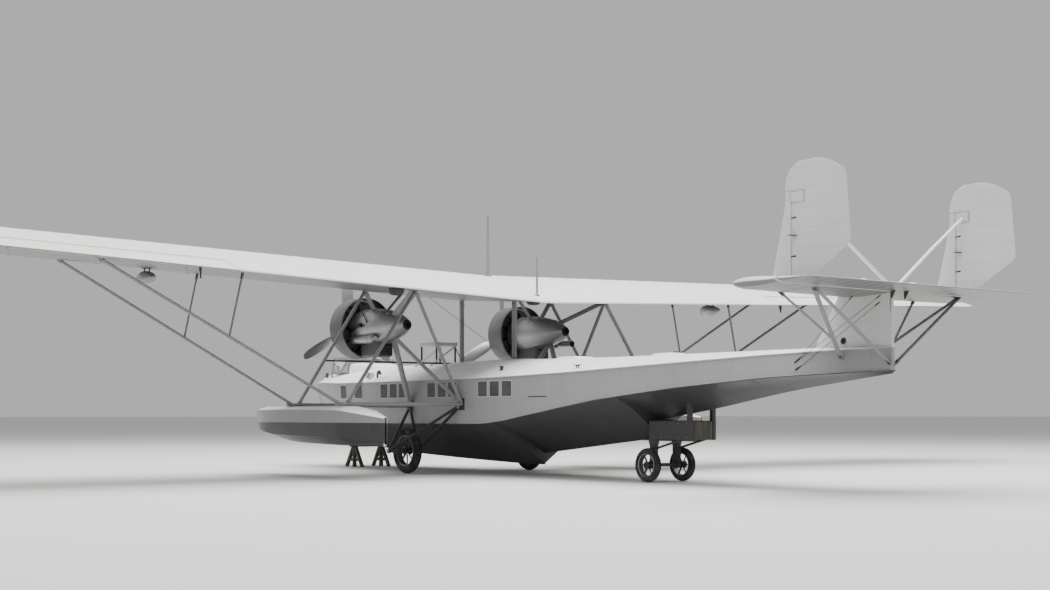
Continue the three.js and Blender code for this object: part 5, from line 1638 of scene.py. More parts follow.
def elevator_ring(out, _, edge, depth, notched=False):
    radius, sag = TAIL["nose"] * depth, tail_sag(out)
    half_edge = min(TAIL["edge"] / 2, radius * 0.5)
    arc = [(TAIL["hinge"] + radius * math.cos(turn), radius * math.sin(turn))
           for turn in (math.radians(-90 + 15 * k) for k in range(13))]
    upper = [(TAIL["hinge"] + (edge - TAIL["hinge"]) * part, radius + (half_edge - radius) * part - sag)
             for part in (0.3, 0.6, 0.9)]
    outline = [*arc, *upper, (edge + 0.004, half_edge), (edge, 0), (edge + 0.004, -half_edge),
               *((x, -z) for x, z in reversed(upper))]
    limit = TAIL["hinge"] - SLOT_BACK if notched else TAIL["hinge"] + 1
    return [(row(min(x, limit)), out, TAIL["height"] + z) for x, z in outline]


marks = [out + shift for out in ELEVATOR_HINGES
         for shift in (-SLOT_HALF - 1e-4, -SLOT_HALF, SLOT_HALF, SLOT_HALF + 1e-4)]
flap = Shape().wear(tail_dope)
flap.skin([elevator_ring(*r, notched=any(abs(abs(r[0]) - out) <= SLOT_HALF + 1e-6 for out in ELEVATOR_HINGES))
           for r in tail_rows(marks)])
flap.wear(gear_iron)
for sign in (-1, 1):
    flap.skin([[(row(x), sign * 0.16 + thick, TAIL["height"] - z) for x, z in ELEVATOR_LEVER]
               for thick in (-0.005, 0.005)])
flap.place("elevator_skin", body="elevator", slot="doped_skin", replaces=["elevator"], edge=30)

# %% [markdown]
# A small white fairing covers each inner hinge of the elevator.

# %% Hinge fairings
HINGE_FAIRING = {"front": -11.52, "length": 0.258, "half": 0.045, "height": 0.062, "lift": 0.070}
fairings = Shape().wear(white_paint)
for matrix in HANDS.values():
    fairings.matrix = matrix
    rings = []
    for part in (0.0, 0.06, 0.2, 0.45, 0.7, 0.9, 1.0):
        swell = math.sin(math.pi * min(1, part ** 0.8)) ** 0.6 if 0 < part < 1 else 0.03
        x = row(HINGE_FAIRING["front"] - part * HINGE_FAIRING["length"])
        rings.append([(x, ELEVATOR_HINGES[0] + HINGE_FAIRING["half"] * swell * math.cos(turn),
                       TAIL["height"] + HINGE_FAIRING["lift"] + HINGE_FAIRING["height"] * swell * math.sin(turn))
                      for turn in around(16)])
    fairings.skin(rings)
fairings.place("hinge_fairings", slot="white_paint")
print("fairings", len(HANDS))

# %% [markdown]
# A fin and its rudder are upright, so their sections lie flat, one above the other. The fin is
# blunt in front, and the rudder has a round nose about its hinge line, flat sides and a thin rear
# edge. At the top a balance horn of the rudder reaches forward over a small post of the fin.

# %% Outlines of fin and rudder
FIN = {"out": 2.0, "half": 0.055, "low": 3.312, "rear": -11.455, "top": 4.59}
RUDDER = {"hinge": -11.52, "nose": 0.042, "low": 3.335, "notch_low": 4.408, "notch_high": 4.612,
          "notch": -11.732, "edge": 0.005}
RUDDER_HINGES = [3.62, 4.20]
FIN_POST = {"front": -11.425, "rear": -11.71, "half": 0.038, "low": 4.43}
# Columns: station, height. The round outline from the foot up behind and forward over the top
RUDDER_REAR = [(-11.9, 3.335), (-12.25, 3.5475), (-12.56, 3.735), (-12.598, 3.80), (-12.55, 4.3), (-12.505, 4.76),
               (-12.46, 4.85), (-12.2, 4.995), (-12.02, 5.045), (-11.87, 5.059)]
RUDDER_FRONT = [(-11.336, 4.612), (-11.336, 4.68), (-11.365, 4.83), (-11.45, 4.955), (-11.60, 5.038),
                (-11.73, 5.055), (-11.865, 5.059)]


def outline_at(rows, height):
    for (x0, z0), (x1, z1) in zip(rows, rows[1:]):
        if z0 <= height <= z1:
            return x0 + (x1 - x0) * (height - z0) / max(1e-6, z1 - z0)
    return rows[-1][0]


def fin_half(part):
    """Half-thickness of the fin at a part of its chord"""
    return FIN["half"] * min(1.0, (part / 0.35) ** 0.5 if part < 0.35 else 1.0)


def fin_nose(height):
    return max(0.0, min(1.0, (height - 3.23) / 1.17)) * -0.295 - 11.04


print("rudder outline", len(RUDDER_REAR) + len(RUDDER_FRONT))

# %% [markdown]
# Each ring of a fin or rudder lies at one height. The covering sags a little between the ribs,
# and a flat tape marks each rib on both faces.

# %% Rings of fin and rudder
UPRIGHT_SAG = 0.002


def fin_ring(height):
    nose, parts = fin_nose(height), (0, 0.01, 0.04, 0.1, 0.2, 0.35, 0.7, 1.0)
    sag = rib_sag(height, TAIL["pitch"], UPRIGHT_SAG)
    port = [(row(nose + (FIN["rear"] - nose) * part), FIN["out"] + fin_half(part) - sag * min(1, part * 3), height)
            for part in parts]
    return port + [(x, 2 * FIN["out"] - y, z) for x, y, z in reversed(port[1:])]


def rudder_half(station, rear):
    part = max(0.0, (RUDDER["hinge"] - station) / (RUDDER["hinge"] - rear))
    return RUDDER["nose"] + (RUDDER["edge"] - RUDDER["nose"]) * part


def rudder_ring(height, front, rear):
    sag = rib_sag(height, TAIL["pitch"], UPRIGHT_SAG)
    nose_half = rudder_half(front, rear) if front < RUDDER["hinge"] else RUDDER["nose"]
    port = [(front, 0.002)]
    for back in (0.004, 0.015, 0.032, 0.05):
        share = back / 0.05
        port.append((front - back, nose_half * math.sqrt(1 - (1 - share) ** 2)))
    for part in (0.25, 0.5, 0.75, 1.0):
        x = front - 0.05 + (rear - front + 0.05) * part
        port.append((x, min(nose_half, rudder_half(x, rear)) - (sag if part < 1 else 0)))
    return [(row(x), FIN["out"] + y, height) for x, y in port] + [
        (row(x), FIN["out"] - y, height) for x, y in reversed(port)]


def levels(low, high, step=0.075):
    count = max(1, round((high - low) / step))
    return [low + (high - low) * k / count for k in range(count + 1)]


def side_tape(shape, stations, half_at, height):
    """A flat tape along X on both faces of an upright surface"""
    for sign in (-1, 1):
        shape.skin([[(row(x), FIN["out"] + sign * (half_at(x) + proud), height + up) for proud, up in
                     ((-0.003, -0.015), (0.0012, -0.013), (0.0012, 0.013), (-0.003, 0.015))] for x in stations])


def steps_between(start, end, count):
    return [start + (end - start) * k / count for k in range(count + 1)]


print("rings of a fin", len(levels(FIN["low"], FIN["top"])))

# %% [markdown]
# The fin has a white strip down its rear edge, painted light for the light seen through the hinge
# gap, and hinge arms of iron. Above them stands the short post that the balance horn reaches over.

# %% Fins
FIN_TAPES = (3.6, 3.9, 4.2, 4.5)
for side, matrix in HANDS.items():
    fin_shape = Shape(matrix).wear(tail_paint).skin([fin_ring(z) for z in levels(FIN["low"], FIN["top"])])
    for z in FIN_TAPES:
        nose = fin_nose(z)
        stations = steps_between(nose - 0.01, FIN["rear"] + 0.002, 8)
        side_tape(fin_shape, stations, lambda x: fin_half(min(1, (nose - x) / (nose - FIN["rear"]))), z)
    fin_shape.block((row(FIN_POST["rear"]), FIN["out"] - FIN_POST["half"], FIN_POST["low"]),
                    (row(FIN_POST["front"]), FIN["out"] + FIN_POST["half"], FIN["top"]), 0.012)
    # Painted light: a white strip for the light seen through the gap between fin and rudder.
    fin_shape.wear(white_paint).block((row(FIN["rear"]) - 0.004, FIN["out"] - 0.05, FIN["low"]),
                                      (row(FIN["rear"]) + 0.006, FIN["out"] + 0.0565, FIN_POST["low"]), 0.003)
    fin_shape.wear(gear_iron)
    for z in RUDDER_HINGES:
        x, y = row(RUDDER["hinge"]), FIN["out"]
        fin_shape.block((x - 0.018, y - 0.018, z - 0.008), (row(FIN["rear"]) + 0.02, y + 0.018, z + 0.008), 0.003)
        fin_shape.tube([(x, y, z - 0.034), (x, y, z + 0.034)], 0.024, sides=12)
    fin_shape.place(f"fin_skin_{side}", slot="topside_paint", replaces=[f"fin_{side}"], edge=30)
print("fins", len(HANDS))

# %% [markdown]
# The rudder is three skins: the long part behind the hinges, the neck behind the fin's post and the
# balance horn. A lever on each face takes its control cable.

# %% Rudders
RUDDER_TAPES = (3.45, 3.75, 4.05, 4.35, 4.5, 4.65, 4.8, 4.95)
# Columns: station, distance out from the middle of the rudder
RUDDER_LEVER = [(-11.50, 0.03), (-11.52, 0.17), (-11.545, 0.17), (-11.60, 0.03)]
for side, matrix in HANDS.items():
    rudder_shape = Shape(matrix).wear(tail_paint)
    nose = RUDDER["hinge"] + RUDDER["nose"] + 0.003
    heights = hinge_marks(levels(RUDDER["low"], RUDDER["notch_low"]), RUDDER_HINGES)
    rudder_shape.skin([rudder_ring(z, RUDDER["hinge"] - SLOT_BACK if cut_back else nose, outline_at(RUDDER_REAR, z))
                       for z, cut_back in heights])
    rudder_shape.skin([rudder_ring(z, RUDDER["notch"], outline_at(RUDDER_REAR, z))
                       for z in levels(RUDDER["notch_low"], RUDDER["notch_high"])])
    crown = levels(RUDDER["notch_high"], 4.93, 0.06) + levels(4.95, 5.0585, 0.012)
    rudder_shape.skin([rudder_ring(z, outline_at(RUDDER_FRONT, z), outline_at(RUDDER_REAR, z)) for z in crown])
    for z in RUDDER_TAPES:
        rear = outline_at(RUDDER_REAR, z)
        front = (RUDDER["notch"] if RUDDER["notch_low"] < z < RUDDER["notch_high"] else
                 outline_at(RUDDER_FRONT, z) if z > RUDDER["notch_high"] else RUDDER["hinge"])
        stations = steps_between(front - 0.06, rear + 0.02, 6)
        side_tape(rudder_shape, stations, lambda x: min(RUDDER["nose"], rudder_half(x, rear)), z)
    rudder_shape.wear(gear_iron)
    for sign in (-1, 1):
        rudder_shape.skin([[(row(x), FIN["out"] + sign * y, z) for x, y in RUDDER_LEVER] for z in (3.925, 3.935)])
    rudder_shape.place(f"rudder_skin_{side}", body=f"rudder_{side}", slot="topside_paint",
                       replaces=[f"rudder_{side}"], edge=30)
print("rudders", len(HANDS))

# %% [markdown]
# Under the tailplane stands a narrow pylon with a round post down its rear edge, a bead around its
# foot and a small port with a metal rim on each side.

# %% Pylon
PYLON_REAR = -11.745
# Columns: height, leading edge, half-thickness
PYLON_LEVELS = [(2.2, -10.1, 0.130), (2.345, -10.15, 0.120), (3.17, -10.64, 0.080)]
# Columns: part of the chord, part of the half-thickness
PYLON_SHAPE = [(0, 0.02), (0.008, 0.16), (0.03, 0.33), (0.06, 0.5), (0.15, 0.8), (0.3, 1), (0.5, 0.93), (0.7, 0.8),
               (0.88, 0.5), (1.0, 0.25)]
PYLON_PORT = (row(-10.84), 0.113, 2.43)


def pylon_ring(height):
    _, nose, half = table_row(PYLON_LEVELS, height)
    port = [(row(nose + part * (PYLON_REAR - nose)), width * half, height) for part, width in PYLON_SHAPE]
    return port + [(x, -y, z) for x, y, z in reversed(port)]


pylon = Shape().wear(tail_paint).skin([pylon_ring(z) for z in (2.22, 2.345, 2.6, 2.9, 3.169)])
pylon.wear(strut_paint).tube([(row(-11.715), 0, z) for z in (1.93, 2.6, 3.165)], 0.055, 0.058, sides=14)
foot_path = [Vector(p) + Vector((0, 0.004, 0)) for p in pylon_ring(2.338)[1:len(PYLON_SHAPE) - 1]]
for matrix in HANDS.values():
    pylon.matrix = matrix
    pylon.wear(tail_paint).tube(foot_path, 0.022, 0.022, sides=8)
    # Painted shade: the port's opening is a near-black disc inside its rim.
    pylon.wear(dark_opening).turn([(-0.02, 0.048), (0.003, 0.048), (0.004, 0.001)], PYLON_PORT,
                                  axis=(0, 1, 0.05), sides=24)
    pylon.wear(dull_alloy).turn([(-0.02, 0.060), (0.006, 0.060), (0.009, 0.054), (0.002, 0.049)], PYLON_PORT,
                                axis=(0, 1, 0.05), sides=24)
pylon.place("pylon_skin", slot="topside_paint", replaces=["tail_pylon"], edge=35)
pylon_rows = [[tuple(Vector(p) + Vector((0, 0.001, 0))) for p in pylon_ring(z)[2:9]] for z in (2.50, 2.83, 3.12)]
pylon_rows += [[MIRRORED @ Vector(p) for p in line] for line in pylon_rows]
repeat("pylon_rivets", domes, pylon_rows, 0.05, 0.005, 0.005, tail_paint)
print("pylon rows of rivets", len(pylon_rows))

# %% [markdown]
# On each side three streamlined struts hold the tail to the stern. White braces run from the middle
# of the tailplane to the tops of the fins. Control cables come out of the hull side and run up to
# the levers of the elevator.

# %% Struts, braces and cables of the tail
TAIL_APEX, TAIL_STERN = (-11.69, 1.8, 3.19), (-11.74, 0.03, 2.021)
TAIL_SIDE, TAIL_OUTER = (-10.95, 0.26, 2.08), (-10.85, 1.68, 3.19)
FORK = tuple(between(TAIL_APEX, TAIL_SIDE, 0.7))
# Columns: first end, second end, chord, thickness
TAIL_STRUTS = [(TAIL_STERN, TAIL_APEX, 0.085, 0.042), (TAIL_SIDE, TAIL_APEX, 0.095, 0.045),
               (FORK, TAIL_OUTER, 0.060, 0.034)]
# Columns: end, other end, part of the way to it where the sleeve starts, chord, thickness
TAIL_SLEEVES = [(TAIL_APEX, TAIL_SIDE, 0.02, 0.095, 0.045), (TAIL_APEX, TAIL_STERN, 0.02, 0.085, 0.042),
                (TAIL_SIDE, TAIL_APEX, 0.07, 0.095, 0.045), (TAIL_STERN, TAIL_APEX, 0.02, 0.085, 0.042),
                (TAIL_OUTER, FORK, 0.03, 0.060, 0.034)]
# Columns: the end at the hull, the end at the tail
TAIL_CABLES = [((-10.20, 0.520, 2.10), (-11.20, 0.30, 3.14)), ((-10.25, 0.555, 1.98), (-11.60, 0.13, 3.02)),
               ((-10.20, 0.520, 2.10), (-11.62, 0.13, 3.13))]
FIN_BRACE = [(-11.748, 0.13, 3.29), (-11.678, 1.06, 3.92), (-11.610, 1.948, 4.487)]
for side, matrix in HANDS.items():
    frame_shape = Shape(matrix).wear(strut_paint)
    for strut in TAIL_STRUTS:
        streamlined(frame_shape, *strut)
    for end, other, part, chord, thickness in TAIL_SLEEVES:
        socket_end(frame_shape, between(end, other, part), other, chord, thickness)
    frame_shape.place(f"tail_struts_smooth_{side}", slot="strut_paint", replaces=[f"tail_struts_{side}"])

    brace = Shape(matrix).wear(white_paint)
    brace.tube(station_points(*FIN_BRACE), 0.066, 0.05, sides=20)
    brace.wear(gear_iron).block((row(-11.77), 0.09, 3.27), (row(-11.72), 0.17, 3.32), 0.008)
    brace.place(f"fin_brace_smooth_{side}", slot="white_paint", replaces=[f"fin_brace_{side}"])

    cables = Shape(matrix).wear(gear_iron)
    for low, high in TAIL_CABLES:
        bottom, top = ROOT_AT + Vector(low), ROOT_AT + Vector(high)
        cables.tube([bottom, top], 0.009, sides=6)
        away = (Vector(high) - Vector(low)).normalized()
        at = bottom + away * 0.02
        cables.tube([at - away * 0.05, at, at + away * 0.07], [0.055, 0.05, 0.02], sides=10)
        cables.tube([top - away * 0.10, top - away * 0.02], 0.022, sides=8)
    cables.place(f"tail_cables_{side}", slot="gear_iron")
print("tail struts", len(TAIL_STRUTS) * len(HANDS))

# %% [markdown]
# The spokes of all four wheels come from one tree, which sets flat cones around a circle. They
# narrow outwards from the hub to the rim. The tree's inputs are the count and the sizes.

# %% Tree of spokes
CONE = {"Vertices": 16, "Side Segments": 3, "Radius Top": 0.72, "Radius Bottom": 1.0, "Depth": 1.0}
SPOKE_FLATNESS = 0.62


def spoke_tree():
    tree = bpy.data.node_groups.new("spokes", "GeometryNodeTree")
    for name, kind in (("Count", "NodeSocketInt"), ("Inner", "NodeSocketFloat"), ("Outer", "NodeSocketFloat"),
                       ("Wide", "NodeSocketFloat"), ("Finish", "NodeSocketMaterial")):
        tree.interface.new_socket(name, in_out="INPUT", socket_type=kind)
    tree.interface.new_socket("Geometry", in_out="OUTPUT", socket_type="NodeSocketGeometry")
    start, end = tree.nodes.new("NodeGroupInput"), tree.nodes.new("NodeGroupOutput")
    circle, place, turn, cone, instances, realize, finish = [tree.nodes.new(kind) for kind in (
        "GeometryNodeMeshCircle", "GeometryNodeInputPosition", "FunctionNodeAlignEulerToVector",
        "GeometryNodeMeshCone", "GeometryNodeInstanceOnPoints", "GeometryNodeRealizeInstances",
        "GeometryNodeSetMaterial")]
    size, length, depth = [tree.nodes.new(kind) for kind in (
        "ShaderNodeCombineXYZ", "ShaderNodeMath", "ShaderNodeMath")]
    turn.axis = "Z"
    length.operation, depth.operation = "SUBTRACT", "MULTIPLY"
    depth.inputs[1].default_value = SPOKE_FLATNESS
    for socket, value in CONE.items():
        cone.inputs[socket].default_value = value
    for source, target in (
            (start.outputs["Count"], circle.inputs["Vertices"]), (start.outputs["Inner"], circle.inputs["Radius"]),
            (place.outputs[0], turn.inputs["Vector"]), (start.outputs["Outer"], length.inputs[0]),
            (start.outputs["Inner"], length.inputs[1]), (start.outputs["Wide"], size.inputs["X"]),
            (start.outputs["Wide"], depth.inputs[0]), (depth.outputs[0], size.inputs["Y"]),
            (length.outputs[0], size.inputs["Z"]), (circle.outputs[0], instances.inputs["Points"]),
            (cone.outputs["Mesh"], instances.inputs["Instance"]), (turn.outputs[0], instances.inputs["Rotation"]),
            (size.outputs[0], instances.inputs["Scale"]), (start.outputs["Finish"], finish.inputs["Material"]),
            (instances.outputs[0], realize.inputs[0]), (realize.outputs[0], finish.inputs[0]),
            (finish.outputs[0], end.inputs[0])):
        tree.links.new(source, target)
    return tree


spokes = spoke_tree()
print("spoke tree", len(spokes.nodes))

# %% [markdown]
# The tree lays the spokes out around Z, so each set is turned upright and moved to its wheel.

# %% Sets of spokes
MAIN_WHEEL = {"station": -0.3, "out": 1.62, "radius": 0.48, "width": 0.19, "axle": 0.0403, "spokes": 8}
DOLLY_WHEEL = {"station": -6.51, "out": 0.43, "radius": 0.315, "width": 0.145, "axle": 0.024, "spokes": 6}
WHEEL_TURN = Matrix.Rotation(math.pi / 2, 4, "X")


def spoke_set(name, centre, count, inner, outer, wide, body):
    """Spokes in the plane of X and Z around a centre"""
    holder = add_object(name, bpy.data.meshes.new(name + "_start"))
    modifier = holder.modifiers.new("spokes", "NODES")
    modifier.node_group = spokes
    values = {"Count": count, "Inner": inner, "Outer": outer, "Wide": wide / 2, "Finish": gear_iron}
    set_inputs(modifier, spokes, values)
    mesh = settle(holder)
    mesh.transform(Matrix.Translation(centre) @ WHEEL_TURN)
    shade(mesh, REPEAT_EDGE)
    return ride(holder, body)


print("spokes", len(HANDS) * (MAIN_WHEEL["spokes"] + DOLLY_WHEEL["spokes"]))

# %% [markdown]
# A wheel is a turned tyre on a rolled steel rim with a hub of two flanges. The tyre is turned from
# a rounded section with shallow grooves in its tread. A ring of bolts sits on each flange.

# %% Parts of a wheel
def tyre_section(radius, width):
    """The rounded section of a tyre, with three grooves in the tread"""
    depth = 0.19 * radius
    middle, points = radius - depth, []
    for k in range(40):
        turn = 2 * math.pi * k / 40
        along, up = math.sin(turn) * width / 2, math.cos(turn) * depth
        groove = 0.005 if up > 0.75 * depth and k in (38, 0, 2) else 0.0
        points.append((along * (0.97 if up < 0 else 1), middle + up * (1.0 if up > 0 else 0.86) - groove))
    return [*points, points[0]]


def wheel_shape(shape, wheel, out):
    radius, width = wheel["radius"], wheel["width"]
    centre = (row(wheel["station"]), out, radius)
    inner = radius * 0.655
    shape.wear(tyre_rubber).turn(tyre_section(radius, width), centre, axis=(0, 1, 0), sides=72)
    half = width * 0.36
    shape.wear(dull_alloy).turn(
        [(-half, inner + 0.012), (-half - 0.008, inner + 0.004), (-half, inner - 0.008), (-half * 0.6, inner - 0.012),
         (0, inner - 0.018), (half * 0.6, inner - 0.012), (half, inner - 0.008), (half + 0.008, inner + 0.004),
         (half, inner + 0.012), (0, inner + 0.006), (-half, inner + 0.012)], centre, axis=(0, 1, 0), sides=72)
    axle, hub = wheel["axle"], wheel["axle"] + 0.045
    reach = width * 0.55
    shape.wear(gear_iron).turn(
        [(-reach, axle + 0.001), (-reach, axle + 0.016), (-reach + 0.02, axle + 0.018), (-reach + 0.026, hub),
         (-reach + 0.040, hub), (-reach + 0.048, axle + 0.022), (0, axle + 0.026), (reach - 0.048, axle + 0.022),
         (reach - 0.040, hub), (reach - 0.026, hub), (reach - 0.02, axle + 0.018), (reach, axle + 0.016),
         (reach, axle + 0.001), (-reach, axle + 0.001)], centre, axis=(0, 1, 0), sides=36)
    return centre, inner, hub, reach


def hub_bolts(centre, hub, reach):
    runs = []
    for sign in (-1, 1):
        face = sign * (reach - 0.024)
        for k in range(8):
            turn = 2 * math.pi * (k + 0.5) / 8
            x, z = centre[0] + math.cos(turn) * (hub - 0.012), centre[2] + math.sin(turn) * (hub - 0.012)
            runs.append([(x, centre[1] + face, z), (x, centre[1] + face + sign * 0.002, z)])
    return runs


print("tyre section", len(tyre_section(MAIN_WHEEL["radius"], MAIN_WHEEL["width"])))

# %% [markdown]
# Each main wheel is three pieces on one body: tyre with rim and hub, spokes, and bolts.

# %% Main wheels
for side, matrix in HANDS.items():
    body = f"main_wheel_{side}"
    sign = SIDES[side]
    wheel = Shape(matrix)
    centre, inner, hub, reach = wheel_shape(wheel, MAIN_WHEEL, MAIN_WHEEL["out"])
    wheel.place(f"main_wheel_tyre_{side}", body=body, slot="tyre_rubber", replaces=[f"main_wheel_{side}"])
    spoke_set(f"main_wheel_spokes_{side}", (centre[0], sign * centre[1], centre[2]), MAIN_WHEEL["spokes"],
              hub - 0.012, inner - 0.008, 0.050, body)
    repeat(f"main_wheel_bolts_{side}", bolts, hub_bolts(centre, hub, reach), 0.003, 0.0065, 0.008, dull_alloy,
           body=body, matrix=matrix)
print("main wheels", len(HANDS))

# %% [markdown]
# The two dolly wheels turn together with their axle, so their tyres and the axle are one piece.

# %% Dolly wheels
dolly = Shape()
dolly_runs = []
for side, matrix in HANDS.items():
    dolly.matrix = matrix
    sign = SIDES[side]
    centre, inner, hub, reach = wheel_shape(dolly, DOLLY_WHEEL, DOLLY_WHEEL["out"])
    spoke_set(f"dolly_spokes_{side}", (centre[0], sign * centre[1], centre[2]), DOLLY_WHEEL["spokes"],
              hub - 0.012, inner - 0.008, 0.044, "dolly_wheels")
    dolly_runs += [[matrix @ Vector(point) for point in run] for run in hub_bolts(centre, hub, reach)]
    outer_end = centre[1] + 0.058
    dolly.wear(steel_hub).turn([(-0.03, 0.026), (0.0, 0.027), (0.006, 0.020), (0.008, 0.0)],
                               (centre[0], outer_end - 0.008, centre[2]), axis=(0, 1, 0), sides=20)
dolly.matrix = Matrix()
axle = [(DOLLY_WHEEL["station"], y, DOLLY_WHEEL["radius"]) for y in (-0.482, -0.33, 0.33, 0.482)]
dolly.wear(gear_iron).tube(station_points(*axle), [0.05, 0.0635, 0.0635, 0.05], sides=28)
dolly.place("dolly_tyres", body="dolly_wheels", slot="tyre_rubber", replaces=["dolly_wheels"])
repeat("dolly_bolts", bolts, dolly_runs, 0.003, 0.006, 0.008, dull_alloy, body="dolly_wheels")
print("dolly bolts on wheels", len(dolly_runs))

# %% [markdown]
# The main wheels hang on a frame of round tubes under the two hull brackets, with the axle through
# it. The same brackets take the float booms and the engine struts, so they are big steel plates
# with rows of bolts.

# %% Gear legs and hull brackets
GEAR_STATION, GEAR_OUT, AXLE_HEIGHT = MAIN_WHEEL["station"], MAIN_WHEEL["out"], MAIN_WHEEL["radius"]
LEG_INNER = (GEAR_STATION, GEAR_OUT - 0.095 - 0.16, AXLE_HEIGHT)
LEG_OUTER = (GEAR_STATION, GEAR_OUT + 0.095 + 0.365, AXLE_HEIGHT)
AXLE_OVERHANG = 0.03
PLATE_OUT = 1.3525


def gear_axis(*outs):
    """Points on the axle of the main wheels"""
    return station_points(*[(GEAR_STATION, out, AXLE_HEIGHT) for out in outs])


for side, matrix in HANDS.items():
    legs = Shape(matrix)
    for foot in (LEG_INNER, LEG_OUTER):
        for node in (FRONT_HULL, REAR_HULL):
            tube_path = [foot, *(between(foot, node, part) for part in (0.03, 0.5, 0.93)), node]
            legs.wear(gear_iron).tube(station_points(*tube_path), [0.052, 0.060, 0.062, 0.060, 0.046], sides=16)
            socket_end(legs, node, foot, 0.072, 0.060)
            legs.tube(station_points(between(foot, node, 0.05), between(foot, node, 0.09)), 0.070, sides=16)
        legs.tube(gear_axis(foot[1] - 0.026, foot[1] + 0.026), 0.100, sides=20)
    legs.wear(steel_hub).tube(gear_axis(LEG_INNER[1] - AXLE_OVERHANG, LEG_OUTER[1] + AXLE_OVERHANG), 0.0795, sides=28)
    for y in (GEAR_OUT - 0.112, GEAR_OUT + 0.112):
        legs.wear(gear_iron).tube(gear_axis(y - 0.006, y + 0.006), 0.11, sides=24)
    legs.place(f"main_gear_frame_{side}", slot="gear_iron", replaces=[f"main_gear_leg_{side}"])

    plates, heads = Shape(matrix).wear(gear_iron), []
    for node in (FRONT_HULL, REAR_HULL):
        x, out, z = row(node[0]), PLATE_OUT, node[2]
        plates.block((x - 0.10, out - 0.012, z - 0.12), (x + 0.10, out + 0.004, z + 0.12), 0.004)
        plates.block((x - 0.012, out, z - 0.09), (x + 0.012, out + 0.045, z + 0.12), 0.006)
        heads += [[(x + dx, out + 0.006, z + dz), (x + dx, out + 0.008, z + dz)]
                  for dz in (-0.095, -0.032, 0.032, 0.095) for dx in (-0.08, 0.08)]
    plates.place(f"hull_brackets_{side}", slot="gear_iron")
    repeat(f"bracket_bolts_{side}", bolts, heads, 0.003, 0.011, 0.010, gear_iron, matrix=matrix)
print("gear frames", len(HANDS))

# %% [markdown]
# The tail stands on a riveted iron frame with cross timbers that carry the bottom behind the rear
# step. Two posts stand at its rear end, and an axle box hangs under each side rail.

# %% Dolly frame
CRADLE = {"front": -6.18, "rear": -7.5, "half": 0.33, "low": 0.78, "high": 1.13, "rail": 0.09}
CRADLE_SEAMS = (-7.42, -7.2, -6.98, -6.76, -6.54)
# Columns: distance along the axle, radius
AXLE_BOX = [(-0.044, 0.0335), (-0.044, 0.066), (-0.03, 0.070), (0.03, 0.070), (0.044, 0.066), (0.044, 0.0335)]
cradle, cradle_bolts = Shape(), []
half, rail = CRADLE["half"], CRADLE["rail"]
for matrix in HANDS.values():
    cradle.matrix = matrix
    cradle.wear(gear_iron).block((row(CRADLE["rear"]), half - rail, CRADLE["low"]),
                                 (row(-6.42), half, CRADLE["high"]), 0.008)
    front_top = hull_row(-6.30)[1] - 0.02
    cradle.block((row(-6.43), half - rail, CRADLE["low"]), (row(CRADLE["front"]), half, front_top), 0.008)
    for z in (CRADLE["low"] + 0.012, CRADLE["high"] - 0.034):
        cradle.block((row(CRADLE["rear"]) + 0.006, half - 0.004, z), (row(-6.44), half - 0.0005, z + 0.022), 0.002)
    y = half - rail / 2
    cradle.block((row(CRADLE["rear"]), y - 0.044, 1.12), (row(CRADLE["rear"]) + 0.09, y + 0.044, 1.58), 0.01)
    cradle.wear(timber).block((row(CRADLE["rear"]) + 0.004, y - 0.041, 1.56),
                              (row(CRADLE["rear"]) + 0.086, y + 0.041, 1.69), 0.008)
    x = row(DOLLY_WHEEL["station"])
    cradle.wear(gear_iron).skin([[(x - w, y - 0.044, z), (x + w, y - 0.044, z), (x + w, y + 0.044, z),
                                  (x - w, y + 0.044, z)] for w, z in ((0.11, 0.79), (0.07, 0.66), (0.066, 0.36))])
    cradle.turn(AXLE_BOX, (x, y, DOLLY_WHEEL["radius"]), axis=(0, 1, 0), sides=32)
    cradle.tube([(x - 0.06, y, 0.62), (row(-7.3), y, 0.80)], 0.045, 0.045, sides=12)
    for station in CRADLE_SEAMS:
        for z in (0.83, 1.08):
            cradle_bolts.append([matrix @ Vector((row(station), half + 0.001, z)),
                                 matrix @ Vector((row(station), half + 0.003, z))])
cradle.matrix = Matrix()
middle = (CRADLE["front"] + CRADLE["rear"]) / 2 - rail
for station, top in ((CRADLE["rear"], CRADLE["high"]), (middle, CRADLE["high"]), (CRADLE["front"] - rail, 0.83)):
    cradle.wear(timber).block((row(station) + 0.004, -half + rail, CRADLE["low"] + 0.004),
                              (row(station) + rail - 0.004, half - rail, top - 0.004), 0.012)
cradle.place("dolly_cradle", slot="gear_iron", replaces=["dolly_frame"])
repeat("dolly_frame_bolts", bolts, cradle_bolts, 0.003, 0.012, 0.010, steel_hub)
print("dolly frame bolts", len(cradle_bolts))

# %% [markdown]
# The bow rests on a trestle of squared timber that is bolted through. Its beam is hollowed to the
# shape of the bottom, and on each side three legs spread from it to the floor.

# %% Bow trestle
# Half and spread place the legs across and along, low and high are the edges of the beam
TRESTLE = {"station": 3.9, "half": 0.37, "spread": 0.35, "low": 0.47, "high": 0.64}
trestle, trestle_bolts = Shape(), []
keel_here = hull_row(TRESTLE["station"])


def bottom_height(out):
    """Height of the hull bottom over the trestle, on the two planes of its hollow bottom"""
    _, keel, chine_out, chine, *_ = keel_here
    knee_out, knee = chine_out * HOLLOW_ACROSS, keel + (chine - keel) * HOLLOW_UP
    if out < knee_out:
        return keel + (knee - keel) * out / knee_out
    return knee + (chine - knee) * (out - knee_out) / (chine_out - knee_out)


